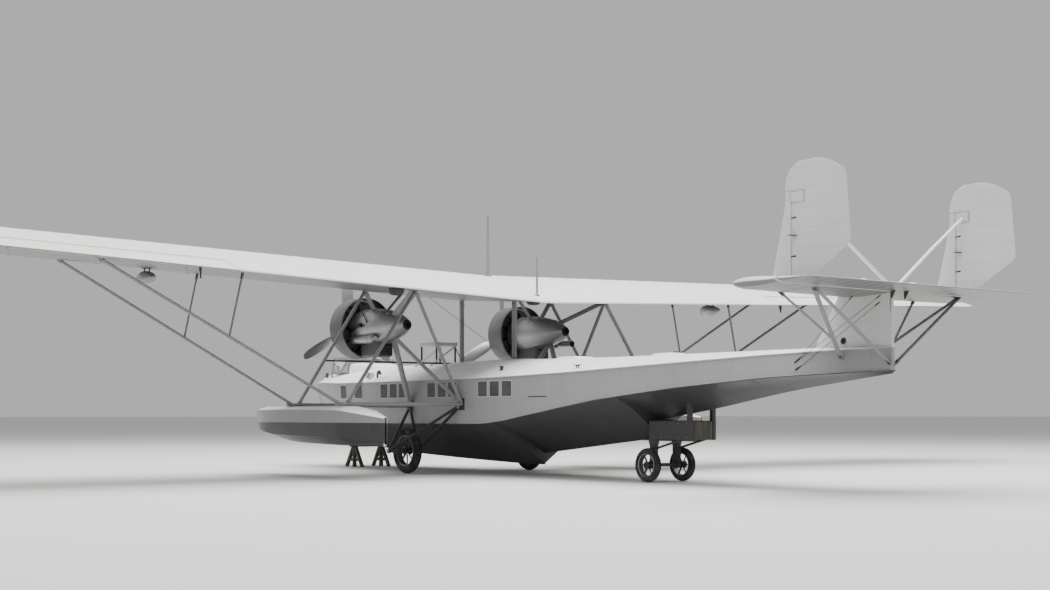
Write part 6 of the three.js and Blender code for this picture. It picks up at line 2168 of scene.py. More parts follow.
x = row(TRESTLE["station"])
beam_out, beam_half = TRESTLE["half"] + 0.11, 0.053
beam_rings = []
for y in (-beam_out, -0.3, -0.12, -0.004, 0.004, 0.12, 0.3, beam_out):
    top = min(TRESTLE["high"], bottom_height(abs(y)) - 0.012)
    beam_rings.append([(x - beam_half, y, TRESTLE["low"]), (x + beam_half, y, TRESTLE["low"]),
                       (x + beam_half, y, top), (x - beam_half, y, top)])
trestle.wear(timber).skin(beam_rings)
for sign in (-1, 1):
    y = sign * TRESTLE["half"]
    for lean in (-TRESTLE["spread"], 0, TRESTLE["spread"]):
        foot, head = (x + lean, y, 0.002), (x + lean * 0.10, y, 0.50)
        trestle.skin([[(px + dx, py + dy, pz) for dx, dy in
                       ((-0.040, -0.036), (0.040, -0.036), (0.040, 0.036), (-0.040, 0.036))]
                      for px, py, pz in (foot, tuple(between(foot, head, 0.5)), head)])
        trestle_bolts.append([(head[0], y + sign * 0.037, 0.49), (head[0], y + sign * 0.039, 0.49)])
    trestle.block((x - 0.245, y - 0.024, 0.132), (x + 0.245, y + 0.024, 0.208), 0.006)
    for along in (-0.2, 0.0, 0.2):
        trestle_bolts.append([(x + along, y + sign * 0.025, 0.17), (x + along, y + sign * 0.027, 0.17)])
trestle.place("trestle_timbers", slot="timber", replaces=["bow_trestle"])
repeat("trestle_bolts", bolts, trestle_bolts, 0.003, 0.011, 0.010, steel_hub)
print("trestle bolts", len(trestle_bolts))

# %% [markdown]
# The glass of the cabin is opaque and dark, painted shade for the unlit cabin behind it, with a
# faint haze on it. The panes of the windscreen are clear and a little dusty.

# %% Glass
def cabin_glass_finish():
    finish = Finish("cabin_glass", specular=0.6)
    haze = finish.noise(7.0, detail=4)
    # Painted shade: near-black glass for the dark cabin behind it, with a lighter haze.
    tone = finish.mix(haze, (0.030, 0.033, 0.034), (0.085, 0.088, 0.088))
    return finish.set(Base_Color=tone, Roughness=haze * 0.16 + 0.05)


def screen_glass_finish():
    finish = Finish("screen_glass", specular=0.6)
    dust = finish.step(finish.noise(9.0, detail=4), 0.45, 0.8)
    finish.shader.inputs["Transmission Weight"].default_value = 0.9
    finish.shader.inputs["IOR"].default_value = 1.2
    return finish.set(Base_Color=(0.82, 0.85, 0.85), Roughness=dust * 0.12 + 0.03)


cabin_glass = cabin_glass_finish()
screen_glass = screen_glass_finish()
frame_grey = enamel("frame_grey", (0.50, 0.505, 0.50), 0.38)
print("glass", cabin_glass.name, screen_glass.name)

# %% [markdown]
# Eleven panes stand in each side of the cabin, alone or in threes, between two stringers. They sit
# in pressed frames that stand a little proud of the plating and follow its curve.

# %% Windows
PANE = {"low": 1.592, "high": 1.908, "rim": 0.014, "proud": 0.008, "gap": 0.072, "corner": 0.022}
CLEAR_OF_HULL = 4
# Columns: forward edge of the first pane, number of panes, width of a pane
WINDOW_GROUPS = [(2.93, 1, 0.29), (2.28, 1, 0.33), (1.19, 3, 0.30), (-0.65, 3, 0.308), (-2.46, 3, 0.315)]


def hull_side(station, height, proud=0.0):
    """The hull's side at a station and height, moved out a little"""
    hit = hull_tree.ray_cast(Vector((row(station), CLEAR_OF_HULL, height)), Vector((0, -1, 0)))[0]
    return (row(station), hit.y + proud, height)


def rounded(width, height, corner, steps=5):
    """Corner points of a rounded rectangle about its middle"""
    points = []
    for number, (sx, sz) in enumerate(((1, 1), (-1, 1), (-1, -1), (1, -1))):
        for k in range(steps + 1):
            turn = math.pi / 2 * (number + k / steps)
            points.append((sx * (width / 2 - corner) + corner * math.cos(turn),
                           sz * (height / 2 - corner) + corner * math.sin(turn)))
    return points


def pane(shape, front, width):
    middle, height = front - width / 2, (PANE["low"] + PANE["high"]) / 2
    tall, rim, proud = PANE["high"] - PANE["low"], PANE["rim"], PANE["proud"]

    def ring(inset, out):
        return [hull_side(middle + dx, height + dz, out)
                for dx, dz in rounded(width - 2 * inset, tall - 2 * inset, PANE["corner"])]

    shape.wear(frame_grey).skin([ring(-rim * 0.4, -0.004), ring(-rim * 0.3, proud * 0.8), ring(rim * 0.1, proud),
                                 ring(rim * 0.5, proud * 0.9), ring(rim * 0.6, 0.0045)], caps=False)
    shape.wear(cabin_glass).skin([ring(rim * 0.55, 0.0005), ring(rim * 0.6, 0.0048)])


for side, matrix in HANDS.items():
    windows = Shape(matrix)
    for front, count, width in WINDOW_GROUPS:
        for k in range(count):
            pane(windows, front - k * (width + PANE["gap"]), width)
    windows.place(f"windows_{side}", slot="topside_paint", edge=50)
print("panes", 2 * sum(count for _, count, _ in WINDOW_GROUPS))

# %% [markdown]
# The cockpit is an open well with a roof and a sloping screen of flat panes in steel tube. The roof
# is a thin sheet with four cross strips and two rails.

# %% Windscreen
SCREEN = {"rear": 3.74, "corner": 4.44, "prow": 4.83, "half": 0.6, "top": 2.58, "foot": 5.23, "sill": 2.235}
SPLAY = 0.04
# Columns: share of the roof's outline, height over the top of the frame
ROOF_LEVELS = [(1.0, -0.012), (1.0, 0.010), (0.97, 0.017), (0.8, 0.0205), (0.4, 0.0215)]
ROOF_MIDDLE = 4.25
# Columns: station, half-length
ROOF_STRIPS = [(3.90, 0.56), (4.15, 0.56), (4.40, 0.56), (4.62, 0.26)]
screen = Shape()
prow_top, prow_foot = (SCREEN["prow"], 0, SCREEN["top"]), (SCREEN["foot"], 0, SCREEN["sill"])
for matrix in HANDS.values():
    screen.matrix = matrix
    half, top, sill = SCREEN["half"], SCREEN["top"], SCREEN["sill"]
    rear_top, corner_top = (SCREEN["rear"], half, top), (SCREEN["corner"], half, top)
    rear_foot = deck_point(SCREEN["rear"], half + SPLAY, -0.01)
    corner_foot = deck_point(SCREEN["corner"] + 0.06, half + SPLAY, -0.01)
    corner_sill = (SCREEN["corner"] + 0.06, half + SPLAY, sill - 0.02)
    rear_sill = (SCREEN["rear"], half + SPLAY, sill)
    for start, end in ((rear_top, rear_foot), (corner_top, corner_foot), (rear_top, corner_top),
                       (corner_top, prow_top), (corner_sill, prow_foot), (rear_sill, corner_sill)):
        screen.wear(strut_paint).tube(station_points(start, between(start, end, 0.5), end), 0.040, sides=14)
    panes = [[corner_top, prow_top, prow_foot, corner_sill], [rear_top, corner_top, corner_sill, rear_sill]]
    for corners in panes:
        middle = sum((Vector(c) for c in corners), Vector()) / 4
        inset = [Vector(c).lerp(middle, 0.035) for c in corners]
        facing = (inset[1] - inset[0]).cross(inset[2] - inset[1]).normalized() * 0.003
        screen.wear(screen_glass).skin([station_points(*(c + facing for c in inset)),
                                        station_points(*(c - facing for c in inset))])
    if matrix == HANDS["port"]:
        roof_edge = [(SCREEN["rear"] - 0.018, half - 0.004), (SCREEN["corner"], half - 0.004),
                     (SCREEN["prow"] - 0.003, 0)]
        outline = [*roof_edge, *((x, -y) for x, y in reversed(roof_edge[:2]))]
        screen.wear(frame_grey).skin([
            station_points(*[(ROOF_MIDDLE + (x - ROOF_MIDDLE) * share, y * share, top + lift) for x, y in outline])
            for share, lift in ROOF_LEVELS])
screen.matrix = Matrix()
screen.wear(strut_paint).tube(station_points(prow_top, between(prow_top, prow_foot, 0.5), prow_foot), 0.042,
                              sides=14)
for station, half in ROOF_STRIPS:
    screen.wear(frame_grey).skin([[(row(station) + dx, y, 2.597 + dz) for dx, dz in
                                   ((-0.02, 0), (-0.014, 0.0078), (0.014, 0.0078), (0.02, 0))] for y in (-half, half)])
for y in (-0.3, 0.3):
    screen.wear(gear_iron).tube(station_points((3.86, y, 2.600), (4.30, y, 2.600)), 0.014, 0.012, sides=8)
screen.place("windscreen", slot="strut_paint", replaces=["windscreen_frame"], edge=40)
print("screen panes", len(panes) * len(HANDS))

# %% [markdown]
# Behind the cockpit a low fairing runs down into the deck and ends in a point.

# %% Cockpit fairing
# Columns: station, half-width, height
FAIRING_SECTIONS = [(3.70, 0.60, 2.455), (3.48, 0.565, 2.452), (3.25, 0.48, 2.425), (3.05, 0.30, 2.392),
                    (2.92, 0.15, 2.366), (2.86, 0.065, 2.354)]
fairing_rings = []
for station, half, top in FAIRING_SECTIONS:
    port_side = [(half * 1.08, deck_height(station, half) - 0.02), (half * 1.02, top - 0.075),
                 (half * 0.97, top - 0.042), (half * 0.86, top - 0.015), (half * 0.66, top - 0.002),
                 (half * 0.35, top), (0, top)]
    fairing_rings.append([(row(station), y, z) for y, z in port_side]
                         + [(row(station), -y, z) for y, z in reversed(port_side[:-1])])
Shape().wear(hull_paint).skin(fairing_rings).place("cockpit_fairing_skin", slot="topside_paint",
                                                   replaces=["cockpit_fairing"], edge=40)
print("fairing rings", len(fairing_rings))

# %% [markdown]
# Two seats stand in the cockpit side by side, with a seat cushion and a back cushion in leather.
# A cushion starts as a soft block with a crown and edges that are pulled in between its corners.

# %% Blocks for the cushions
CUSHION_CUTS = 9


def cushion_block(name, low, high, crown_axis):
    size = Vector([end - start for start, end in zip(low, high)])
    middle = Vector(low) + size / 2
    soft = bmesh.new()
    bmesh.ops.create_cube(soft, size=1.0)
    bmesh.ops.subdivide_edges(soft, edges=soft.edges, cuts=CUSHION_CUTS, use_grid_fill=True)
    start = [index for index in range(3) if index != crown_axis]
    for vertex in soft.verts:
        u, v = vertex.co[start[0]] * 2, vertex.co[start[1]] * 2
        crown = (1 - u * u) * (1 - v * v)
        pull = 1 - 0.05 * (1 - min(u * u, v * v)) * max(abs(u), abs(v)) ** 6
        vertex.co[crown_axis] *= 0.72 + 0.26 * crown
        vertex.co[start[0]] *= 0.97 * pull
        vertex.co[start[1]] *= 0.97 * pull
        vertex.co = Vector([a * b for a, b in zip(vertex.co, size)]) + middle
    mesh = bpy.data.meshes.new(name)
    soft.to_mesh(mesh)
    soft.free()
    return add_object(name, mesh)


print("cuts of a cushion", CUSHION_CUTS)

# %% [markdown] A short cloth simulation with pressure then fills it, and no point moves more
# than a few millimetres. A sewn cord goes around each cushion.

# %% Filled cushions
PRESSURE, PRESSURE_FRAMES, MOST_SWELL = 2.5, 12, 0.008
WELT_WIDTH = 0.009


def swell(piece):
    mesh = piece.data
    rest = [vertex.co.copy() for vertex in mesh.vertices]
    cloth = piece.modifiers.new("fill", "CLOTH")
    cloth.settings.effector_weights.gravity = 0
    cloth.settings.use_pressure = True
    cloth.settings.uniform_pressure_force = PRESSURE
    cloth.settings.quality = 5
    for number in range(1, PRESSURE_FRAMES + 1):
        bpy.context.scene.frame_set(number)
    swelled = bpy.data.meshes.new_from_object(piece.evaluated_get(bpy.context.evaluated_depsgraph_get()))
    piece.modifiers.clear()
    bpy.context.scene.frame_set(1)
    for vertex, before, after in zip(mesh.vertices, rest, swelled.vertices):
        move = after.co - before
        vertex.co = before + move.normalized() * min(move.length, MOST_SWELL) if move.length else before
    bpy.data.meshes.remove(swelled)


def filled_cushion(name, low, high, crown_axis):
    piece = cushion_block(name, low, high, crown_axis)
    swell(piece)
    for vertex in piece.data.vertices:
        vertex.co = [max(a, min(b, value)) for a, b, value in zip(low, high, vertex.co)]
    round_off = piece.modifiers.new("round", "SUBSURF")
    round_off.levels = round_off.render_levels = 1
    mesh = settle(piece)
    mesh.materials.append(seat_leather)
    mesh.shade_smooth()
    ride(piece, "root")


def welt(shape, low, high, axis, at):
    """A sewn cord around a cushion, half way up its thickness"""
    (x0, y0, z0), (x1, y1, z1) = low, high
    if axis == 2:
        loop = [(x0, y0, at), (x1, y0, at), (x1, y1, at), (x0, y1, at), (x0, y0, at)]
    else:
        loop = [(at, y0, z0), (at, y0, z1), (at, y1, z1), (at, y1, z0), (at, y0, z0)]
    shape.tube(loop, WELT_WIDTH, sides=6, caps=False)


print("pressure", PRESSURE, "frames", PRESSURE_FRAMES)

# %% [markdown]
# Each seat has a bent metal pan on a common timber board, and side rails that run down from the
# back. The sewn edges of the cushions are laid on after they are filled.

# %% Seats
SEAT = {"out": 0.265, "half": 0.2, "rear": 0.07, "front": 0.5}
rear, floor_z = COCKPIT["rear"], COCKPIT["floor"]
board = Shape().wear(timber)
board.block((row(rear + 0.06), -0.5, floor_z + 0.002), (row(rear + 0.52), 0.5, floor_z + 0.045), 0.006)
board.place("seat_board", slot="timber")
for side, sign in SIDES.items():
    y = sign * SEAT["out"]
    left, right = y - SEAT["half"] + 0.012, y + SEAT["half"] - 0.012
    back_x, front_x = row(rear + SEAT["rear"]), row(rear + SEAT["front"])
    pan = Shape().wear(dull_alloy)
    pan.block((back_x + 0.01, left - 0.008, floor_z + 0.045), (front_x, right + 0.008, floor_z + 0.135), 0.012)
    pan.skin([[(back_x + 0.002, left + 0.01, z), (back_x + 0.002, right - 0.01, z),
               (back_x + 0.016, right - 0.006, z), (back_x + 0.016, left + 0.006, z)]
              for z in (floor_z + 0.06, floor_z + 0.69)])
    for edge_y in (left - 0.004, right + 0.004):
        pan.tube([(back_x + 0.012, edge_y, floor_z + 0.62), (back_x + 0.10, edge_y, floor_z + 0.40),
                  (front_x - 0.08, edge_y, floor_z + 0.22), (front_x - 0.02, edge_y, floor_z + 0.13)], 0.014, sides=10)
    pan.place(f"seat_pan_{side}", slot="bare_metal")
    seat_low, seat_high = (back_x + 0.06, left, floor_z + 0.135), (front_x, right, floor_z + 0.258)
    back_low, back_high = (back_x + 0.016, left, floor_z + 0.24), (back_x + 0.105, right, floor_z + 0.718)
    filled_cushion(f"seat_cushion_{side}", seat_low, seat_high, 2)
    filled_cushion(f"back_cushion_{side}", back_low, back_high, 0)
    seams = Shape().wear(seat_leather)
    welt(seams, (seat_low[0] + 0.012, seat_low[1] + 0.008, 0), (seat_high[0] - 0.012, seat_high[1] - 0.008, 0), 2,
         (seat_low[2] + seat_high[2]) / 2)
    welt(seams, (0, back_low[1] + 0.008, back_low[2] + 0.012), (0, back_high[1] - 0.008, back_high[2] - 0.012), 0,
         (back_low[0] + back_high[0]) / 2)
    seams.place(f"seat_welts_{side}", slot="seat_leather")
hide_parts("cockpit_seats")
print("seats", len(SIDES))

# %% [markdown]
# In front of the seats is a dashboard with two rows of round dials, each with a white needle.

# %% Dashboard
WELL_FRONT = COCKPIT["front"]
# Columns: distance along X from the face of the dashboard, radius
DIAL_RIM = [(0.0, 0.030), (-0.006, 0.042), (-0.012, 0.040), (-0.010, 0.034), (-0.002, 0.034)]
DIAL_FACE = [(0.0, 0.036), (-0.004, 0.035), (-0.005, 0.001)]
panel = Shape().wear(gear_iron)
panel.block((row(WELL_FRONT) - 0.035, -0.50, 1.86), (row(WELL_FRONT) - 0.006, 0.50, 2.12), 0.01)
dial_rows = [(out, height) for out in (-0.40, -0.27, -0.14, 0.0, 0.14, 0.27, 0.40) for height in (1.93, 2.045)]
for out, height in dial_rows:
    at = (row(WELL_FRONT) - 0.036, out, height)
    panel.wear(steel_hub).turn(DIAL_RIM, at, sides=28)
    panel.wear(dark_opening).turn(DIAL_FACE, at, sides=28)
    panel.wear(white_paint).tube([(at[0] - 0.0062, out, height), (at[0] - 0.0062, out + 0.018, height + 0.016)],
                                 0.003, sides=6)
print("dials", len(dial_rows))

# %% [markdown]
# Two control wheels stand on one column, each with a pair of rudder pedals in front of it. The
# throttles hang on the dashboard between the two seats.

# %% Control wheels, pedals and throttles
PEDAL_OUTS = (-0.08, 0.08)
THROTTLE_KNOB = [(-0.02, 0.0), (-0.016, 0.012), (0.0, 0.017), (0.016, 0.012), (0.02, 0.0)]
column_x = row(4.47)
panel.wear(dull_alloy).tube([(column_x, 0, floor_z + 0.01), (column_x - 0.01, 0, 1.99)], 0.05, sides=18)
panel.tube([(column_x - 0.01, -0.27, 1.99), (column_x - 0.01, 0.27, 1.99)], 0.04, sides=16)
for sign in (-1, 1):
    wheel_at = Vector((column_x - 0.05, sign * SEAT["out"], 2.01))
    tilt = Matrix.Rotation(math.radians(20), 3, "Y")
    wheel_ring = [wheel_at + tilt @ Vector((0, math.sin(turn) * 0.15, math.cos(turn) * 0.15))
                  for turn in around(40, closed=True)]
    panel.wear(timber).tube(wheel_ring, 0.024, sides=10, caps=False)
    for k in range(4):
        turn = math.pi / 2 * k + math.pi / 4
        rim_point = wheel_at + tilt @ Vector((0, math.sin(turn) * 0.148, math.cos(turn) * 0.148))
        panel.wear(dull_alloy).tube([wheel_at, rim_point], 0.016, sides=8)
    panel.tube([wheel_at - Vector((0.02, 0, 0)), wheel_at + Vector((0.04, 0, -0.02))], 0.06, sides=18)
    for foot in PEDAL_OUTS:
        y = sign * SEAT["out"] + foot
        panel.wear(gear_iron).block((row(4.56), y - 0.035, floor_z + 0.10), (row(4.58), y + 0.035, floor_z + 0.22),
                                    0.006)
        panel.tube(station_points((4.57, y, floor_z + 0.005), (4.57, y, floor_z + 0.12)), 0.02, sides=8)
for out in (-0.035, 0.035):
    panel.wear(dull_alloy).tube(station_points((4.60, out, 1.96), (4.50, out, 2.06)), 0.010, sides=8)
    panel.wear(black_rubber).turn(THROTTLE_KNOB, (row(4.50), out, 2.06), axis=(0, 0, 1), sides=14)
panel.place("cockpit_controls", slot="gear_iron")
print("pedals", len(PEDAL_OUTS) * 2)

# %% [markdown]
# On the deck under the wing stands a light stand of boards on four posts, from which the engines
# can be reached. A flat brace crosses it in front and behind, and a thin stay holds its rear.

# %% Stand on the deck
STAND = {"front": 1.25, "rear": 0.58, "half": 0.25, "top": 2.85}
board_paint = enamel("board_paint", (0.40, 0.405, 0.395), 0.6)
stand = Shape()
for sign in (-1, 1):
    y, top = sign * STAND["half"], STAND["top"]
    stand.wear(board_paint).block((row(STAND["rear"]), y - 0.048, top - 0.098),
                                  (row(STAND["front"]), y + 0.048, top), 0.008)
    for x in (STAND["rear"] + 0.04, STAND["front"] - 0.04):
        stand.wear(gear_iron).tube(station_points(deck_point(x, y, 0.004), (x, y, top - 0.06)), 0.044, sides=14)
        stand.turn([(0.0, 0.055), (0.010, 0.055), (0.018, 0.024)], station_points(deck_point(x, y, 0.002))[0],
                   axis=(0, 0, 1), sides=20)
for x in (STAND["rear"] + 0.003, STAND["front"] - 0.097):
    stand.wear(board_paint).block((row(x), -STAND["half"], STAND["top"] - 0.090),
                                  (row(x + 0.094), STAND["half"], STAND["top"] - 0.004), 0.008)
stand.wear(board_paint)
rear_x, front_x = STAND["rear"] + 0.04, STAND["front"] - 0.04
for x in (rear_x, front_x):
    brace_ends = (x, -STAND["half"] + 0.02, STAND["top"] - 0.11), deck_point(x - 0.12, 0.5, 0.012)
    stand.skin([station_points((px - 0.03, py, pz - 0.012), (px + 0.03, py, pz - 0.012),
                               (px + 0.03, py, pz + 0.012), (px - 0.03, py, pz + 0.012))
                for px, py, pz in brace_ends])
stay = (rear_x, -STAND["half"], 2.74), deck_point(rear_x - 0.10, -0.42, 0.006)
stand.wear(gear_iron).tube(station_points(*stay), 0.022, sides=8)
stand.place("stand", slot="strut_paint", replaces=["deck_handrail"])
print("stand", STAND["top"])

# %% [markdown]
# Three hatches lie on the deck, each with a crowned lid, two hinges in front and a handle behind.

# %% Deck hatches
fittings = Shape()
# Columns: station, length, half-width of a hatch
HATCHES = [(5.45, 0.42, 0.20), (-3.9, 0.62, 0.26), (-6.6, 0.50, 0.22)]
# Columns: share of the hatch's outline, height over the deck
HATCH_LEVELS = [(1.06, -0.012), (1.06, 0.012), (1.0, 0.030), (0.94, 0.036), (0.5, 0.038)]


def deck_line(*points):
    return station_points(*[deck_point(*point) for point in points])


for station, length, half in HATCHES:
    fittings.wear(hull_paint).skin([deck_line(*[(station + dx * share, dy * share, lift)
                                                for dx, dy in rounded(length, 2 * half, 0.07)])
                                    for share, lift in HATCH_LEVELS])
    hinge, handle = station + length / 2 + 0.01, station - length / 2 + 0.05
    for dy in (-half * 0.6, half * 0.6):
        fittings.wear(gear_iron).tube(deck_line((hinge, dy - 0.05, 0.028), (hinge, dy + 0.05, 0.028)), 0.022, sides=10)
    fittings.tube(deck_line((handle, -0.06, 0.052), (handle, 0.06, 0.052)), 0.016, sides=8)
    for dy in (-0.06, 0.06):
        fittings.tube(deck_line((handle, dy, 0.030), (handle, dy, 0.052)), 0.016, sides=8)
print("hatches", len(HATCHES))

# %% [markdown]
# On each side are three cleats, a ventilator box with slats, a hooked vent pipe, a round outlet in
# the hull side and a slot low behind the windows.

# %% Fittings on both sides
# Columns: station, distance out
CLEATS = [(5.05, 0.45), (2.1, 1.12), (-5.2, 1.02)]
VENT_SLATS = 4
for matrix in HANDS.values():
    fittings.matrix = matrix
    for station, out in CLEATS:
        fittings.wear(gear_iron)
        z = deck_height(station, out)
        for foot in (station - 0.03, station + 0.03):
            fittings.tube(station_points((foot, out, z - 0.01), (foot, out, z + 0.045)), 0.022, sides=10)
        fittings.tube(station_points((station - 0.11, out, z + 0.058), (station, out, z + 0.046),
                                     (station + 0.11, out, z + 0.058)), [0.016, 0.028, 0.016], sides=10)
    x, y, z = deck_point(1.92, 1.14)
    fittings.wear(frame_grey).block((row(x) - 0.062, y - 0.07, z - 0.03), (row(x) + 0.062, y + 0.07, z + 0.135), 0.02)
    # Painted shade: near-black strips between the slats of the ventilator box.
    fittings.wear(dark_opening)
    for slat in range(VENT_SLATS):
        fittings.block((row(x) - 0.05, y + 0.068, z + 0.020 + slat * 0.026),
                       (row(x) + 0.05, y + 0.0712, z + 0.032 + slat * 0.026), 0.001)
    x, y, z = deck_point(1.66, 1.13)
    hook = smooth_curve([(row(x), y, z - 0.01), (row(x), y, z + 0.09), (row(x) - 0.045, y, z + 0.145),
                         (row(x) - 0.10, y, z + 0.125), (row(x) - 0.115, y, z + 0.075)], 5)
    fittings.wear(gear_iron).tube(hook, [0.05] * (len(hook) - 3) + [0.062, 0.07, 0.072], sides=16)
    # Painted shade: the round outlet and the low slot are near-black for their dark insides.
    fittings.wear(dark_opening).turn([(-0.01, 0.038), (0.005, 0.036), (0.006, 0.001)], hull_side(1.98, 1.92),
                                     axis=(0, 1, 0), sides=20)
    slot_at = [hull_side(station, 1.585, 0.002) for station in (-4.05, -4.32, -4.58)]
    fittings.tube(slot_at, 0.016, 0.006, sides=8)
print("cleats", len(CLEATS) * len(HANDS))

# %% [markdown]
# One mushroom vent stands on the port deck behind the wing. At the bow are a mooring post with a
# cross bar and a ring.

# %% Vent and mooring post
# Columns: height over the deck, radius
VENT_PROFILE = [(-0.01, 0.045), (0.01, 0.045), (0.02, 0.030), (0.05, 0.030), (0.06, 0.050), (0.075, 0.045),
                (0.085, 0.02), (0.087, 0.001)]
POST_PROFILE = [(-0.02, 0.05), (0.012, 0.05), (0.02, 0.032), (0.10, 0.030), (0.115, 0.045), (0.135, 0.042),
                (0.148, 0.02), (0.15, 0.001)]
fittings.matrix = Matrix()
x, y, z = deck_point(-2.79, 1.0)
fittings.wear(gear_iron).turn(VENT_PROFILE, (row(x), y, z), axis=(0, 0, 1), sides=28)
x, y, z = deck_point(5.82, 0.0)
fittings.wear(gear_iron).turn(POST_PROFILE, (row(x), y, z), axis=(0, 0, 1), sides=24)
fittings.tube(station_points((5.82, -0.09, z + 0.07), (5.82, 0.09, z + 0.07)), 0.018, sides=10)
ring_path = [(row(6.12) + 0.045 * math.cos(turn), 0.012 * math.sin(turn), 1.76 + 0.045 * math.sin(turn))
             for turn in around(24, closed=True)]
fittings.tube(ring_path, 0.014, sides=8, caps=False)
fittings.place("deck_fittings", slot="gear_iron", edge=40)

# %% [markdown]
# A landing lamp hangs under each wing in a drop-shaped pod of sheet metal on two short hangers, with
# a glass in front.

# %% Landing lamps
LAMP = {"station": -0.12, "out": 7.37, "drop": 0.19}
# Columns of the turned profiles: distance along X from the lamp's middle, radius
LAMP_PROFILE = [(-0.418, 0.001), (-0.415, 0.018), (-0.36, 0.050), (-0.26, 0.094), (-0.16, 0.121), (-0.06, 0.1375),
                (0.02, 0.1415), (0.08, 0.1395), (0.120, 0.129), (0.150, 0.114)]
RIM_PROFILE = [(0.140, 0.112), (0.142, 0.1265), (0.158, 0.1175), (0.156, 0.104)]
LENS_PROFILE = [(0.145, 0.108), (0.157, 0.104), (0.167, 0.080), (0.171, 0.045), (0.1718, 0.001)]
lamp_glass = Finish("lamp_glass", specular=0.8)
lamp_haze = lamp_glass.noise(60.0, detail=1)
lamp_glass_material = lamp_glass.set(Base_Color=lamp_glass.mix(lamp_haze, (0.42, 0.43, 0.42), (0.62, 0.63, 0.60)),
                                     Roughness=lamp_haze * 0.1 + 0.08)
for side, matrix in HANDS.items():
    z = underside(LAMP["station"], LAMP["out"]) - LAMP["drop"]
    centre = (row(LAMP["station"]), LAMP["out"], z)
    pod = Shape(matrix).wear(nacelle_metal)
    pod.turn(LAMP_PROFILE, centre, sides=48)
    pod.wear(dull_alloy).turn(RIM_PROFILE, centre, sides=48)
    pod.wear(lamp_glass_material).turn(LENS_PROFILE, centre, sides=48)
    for dx in (-0.17, 0.05):
        foot = (centre[0] + dx, centre[1], z + 0.09)
        head = (centre[0] + dx, centre[1], underside(LAMP["station"] + dx, LAMP["out"]) + 0.004)
        pod.wear(gear_iron).tube([foot, head], 0.045, 0.020, sides=12)
        pod.block((head[0] - 0.045, head[1] - 0.03, head[2] - 0.012), (head[0] + 0.045, head[1] + 0.03, head[2]), 0.004)
    pod.place(f"lamp_pod_{side}", slot="bare_metal", replaces=[f"landing_light_{side}"])
print("lamps", len(HANDS))

# %% [markdown]
# Beside each aileron hinge a small triangular bracket shows below the wing, and a lever on the
# aileron takes its push rod. A dark rod with a nut at each end runs from the middle strut of the
# wing out to the front struts of the float.

# %% Brackets, levers and spreader rods
LEVER_OUT = 7.39
# Columns: station, height from the hinge line
AILERON_LEVER = [(-2.455, -0.05), (-2.505, -0.275), (-2.525, -0.275), (-2.56, -0.05)]
# Columns: station, height from the underside of the wing
HINGE_BRACKET = [(-2.345, 0.01), (-2.20, 0.01), (-2.30, -0.08), (-2.338, -0.165), (-2.350, -0.16)]
PLATE_HALF = 0.007
SPREADER = {"height": 2.345, "outs": (0.122, 1.8, 3.45), "nuts": (0.21, 3.36)}
for side, matrix in HANDS.items():
    brackets = Shape(matrix).wear(frame_grey)
    for out in HINGE_OUTS:
        top = underside(-2.3, out)
        brackets.skin([[(row(x), out + thick, top + height) for x, height in HINGE_BRACKET]
                       for thick in (-PLATE_HALF, PLATE_HALF)])
    brackets.place(f"aileron_brackets_{side}", slot="strut_paint")

    lever = Shape(matrix).wear(gear_iron)
    hinge_z = hinge_height(LEVER_OUT)
    lever.skin([[(row(x), LEVER_OUT + thick, hinge_z + height) for x, height in AILERON_LEVER]
                for thick in (-PLATE_HALF, PLATE_HALF)])
    pin = [(-2.515, LEVER_OUT + dy, hinge_z - 0.262) for dy in (-0.02, 0.02)]
    lever.tube(station_points(*pin), 0.022, sides=10)
    lever.place(f"aileron_lever_{side}", body=f"aileron_{side}", slot="gear_iron")

    rod = Shape(matrix).wear(gear_iron)
    rod.tube([(row(0), out, SPREADER["height"]) for out in SPREADER["outs"]], 0.038, sides=16)
    for out in SPREADER["nuts"]:
        rod.tube([(row(0), out + dy, SPREADER["height"]) for dy in (-0.03, 0.03)], 0.040, sides=6)
    rod.place(f"spreader_rod_{side}", slot="gear_iron", replaces=[f"spreader_bar_{side}"])
print("levers", len(HANDS))

# %% [markdown]
# One thin wire runs from the wing down to the starboard engine mount, and two small boxes sit under
# the wing, each with an outlet that is a near-black disc of painted shade.

# %% Bay wire and boxes
BAY_WIRE = [(0, 0.86, underside(0, 0.86)), (0, -0.4, 3.018), (0, -1.80, 2.238)]
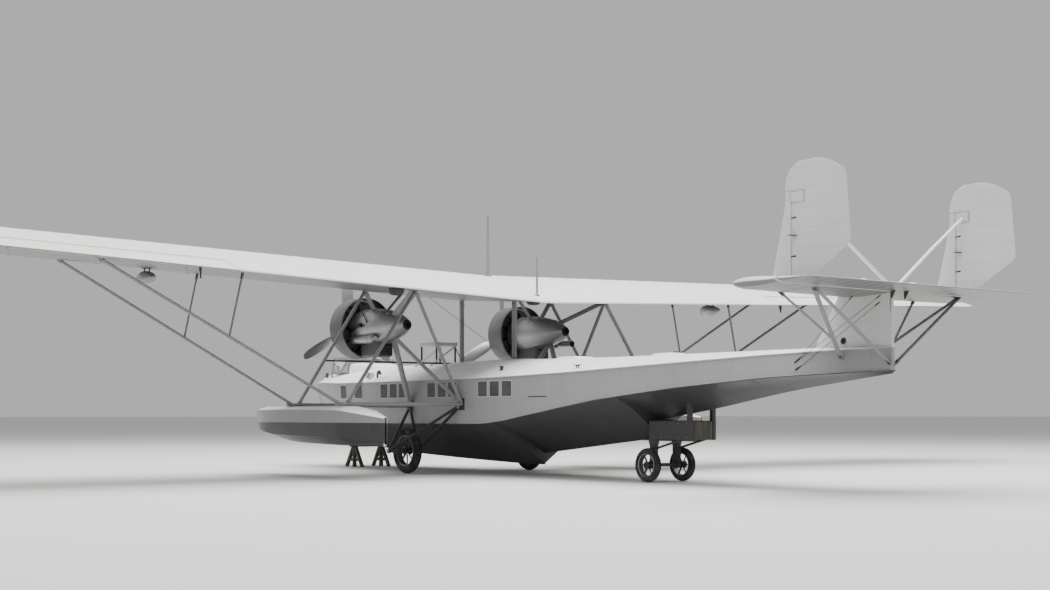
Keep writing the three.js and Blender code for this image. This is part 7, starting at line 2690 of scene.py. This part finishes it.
# Columns: middle station, middle across, low, high, half-length, half-width
BOXES = [(-2.25, 3.145, 3.555, 3.69, 0.11, 0.125), (-1.91, -0.49, 3.545, 3.70, 0.11, 0.13)]
wire = Shape().wear(dull_alloy)
wire.tube(station_points(*BAY_WIRE), 0.014, sides=8)
for station, out, low, high, length, half in BOXES:
    levels_of_box = ((low, 0.55), (low + 0.008, 0.72), (low + 0.03, 0.9), (low + 0.06, 1.0), (high - 0.02, 1.0),
                     (high - 0.02, 1.12), (high - 0.01, 1.12), (high, 1.0))
    wire.wear(gear_iron).skin([[(row(station) + dx * share, out + dy * share, z)
                                for dx, dy in rounded(2 * length, 2 * half, 0.05)] for z, share in levels_of_box])
    for dx in (-0.9, 0.9):
        for dy in (-0.85, 0.85):
            wire.wear(dull_alloy).turn([(-0.010, 0.0), (-0.010, 0.008), (0.0, 0.008)],
                                       (row(station) + dx * length, out + dy * half, high - 0.02), axis=(0, 0, 1),
                                       sides=8)
    wire.wear(dark_opening).turn([(-0.004, 0.001), (-0.004, 0.035), (0.004, 0.035)], (row(station), out, low + 0.002),
                                 axis=(0, 0, 1), sides=20)
wire.place("bay_wire_and_boxes", slot="gear_iron")
print("boxes", len(BOXES))

# %% [markdown]
# A short open tube follows the exhaust cylinder on the starboard side. The photograph shows it
# there and not on the port side.

# %% Starboard trunk
# Columns: station, radius
TRUNK_PROFILE = [(-0.31, 0.060), (-0.34, 0.078), (-0.62, 0.080), (-0.80, 0.074), (-0.84, 0.076), (-0.845, 0.070),
                 (-0.82, 0.066), (-0.60, 0.066)]
trunk_at = (0, -ENGINE["out"] - PIPE["out"], ENGINE["height"] - PIPE["below"])
trunk = Shape().wear(nacelle_metal).turn(shifted(TRUNK_PROFILE), trunk_at, sides=36)
# Painted shade: a near-black disc closes the tube inside its open end.
trunk.wear(dark_opening).turn(shifted([(-0.60, 0.066), (-0.60, 0.001)]), trunk_at, sides=36)
trunk.wear(gear_iron).turn(shifted([(-0.335, 0.076), (-0.338, 0.084), (-0.372, 0.084), (-0.375, 0.076)]), trunk_at,
                           sides=36)
trunk.place("trunk_starboard", slot="bare_metal")
print("trunk rows", len(TRUNK_PROFILE))

# %% [markdown]
# The floor of the studio is a pale matt sheet that runs to the horizon. It isn't part of the boat.

# %% Floor
FLOOR_REACH = 600
floor_mesh = bpy.data.meshes.new("floor")
floor_mesh.from_pydata([(-FLOOR_REACH, -FLOOR_REACH, 0), (FLOOR_REACH, -FLOOR_REACH, 0),
                        (FLOOR_REACH, FLOOR_REACH, 0), (-FLOOR_REACH, FLOOR_REACH, 0)], [], [(0, 1, 2, 3)])
floor = add_object("floor", floor_mesh)
pale = Finish("pale_floor", specular=0.2)
floor_mesh.materials.append(pale.set(Base_Color=(0.72, 0.72, 0.70), Roughness=0.9))
print("floor", FLOOR_REACH)
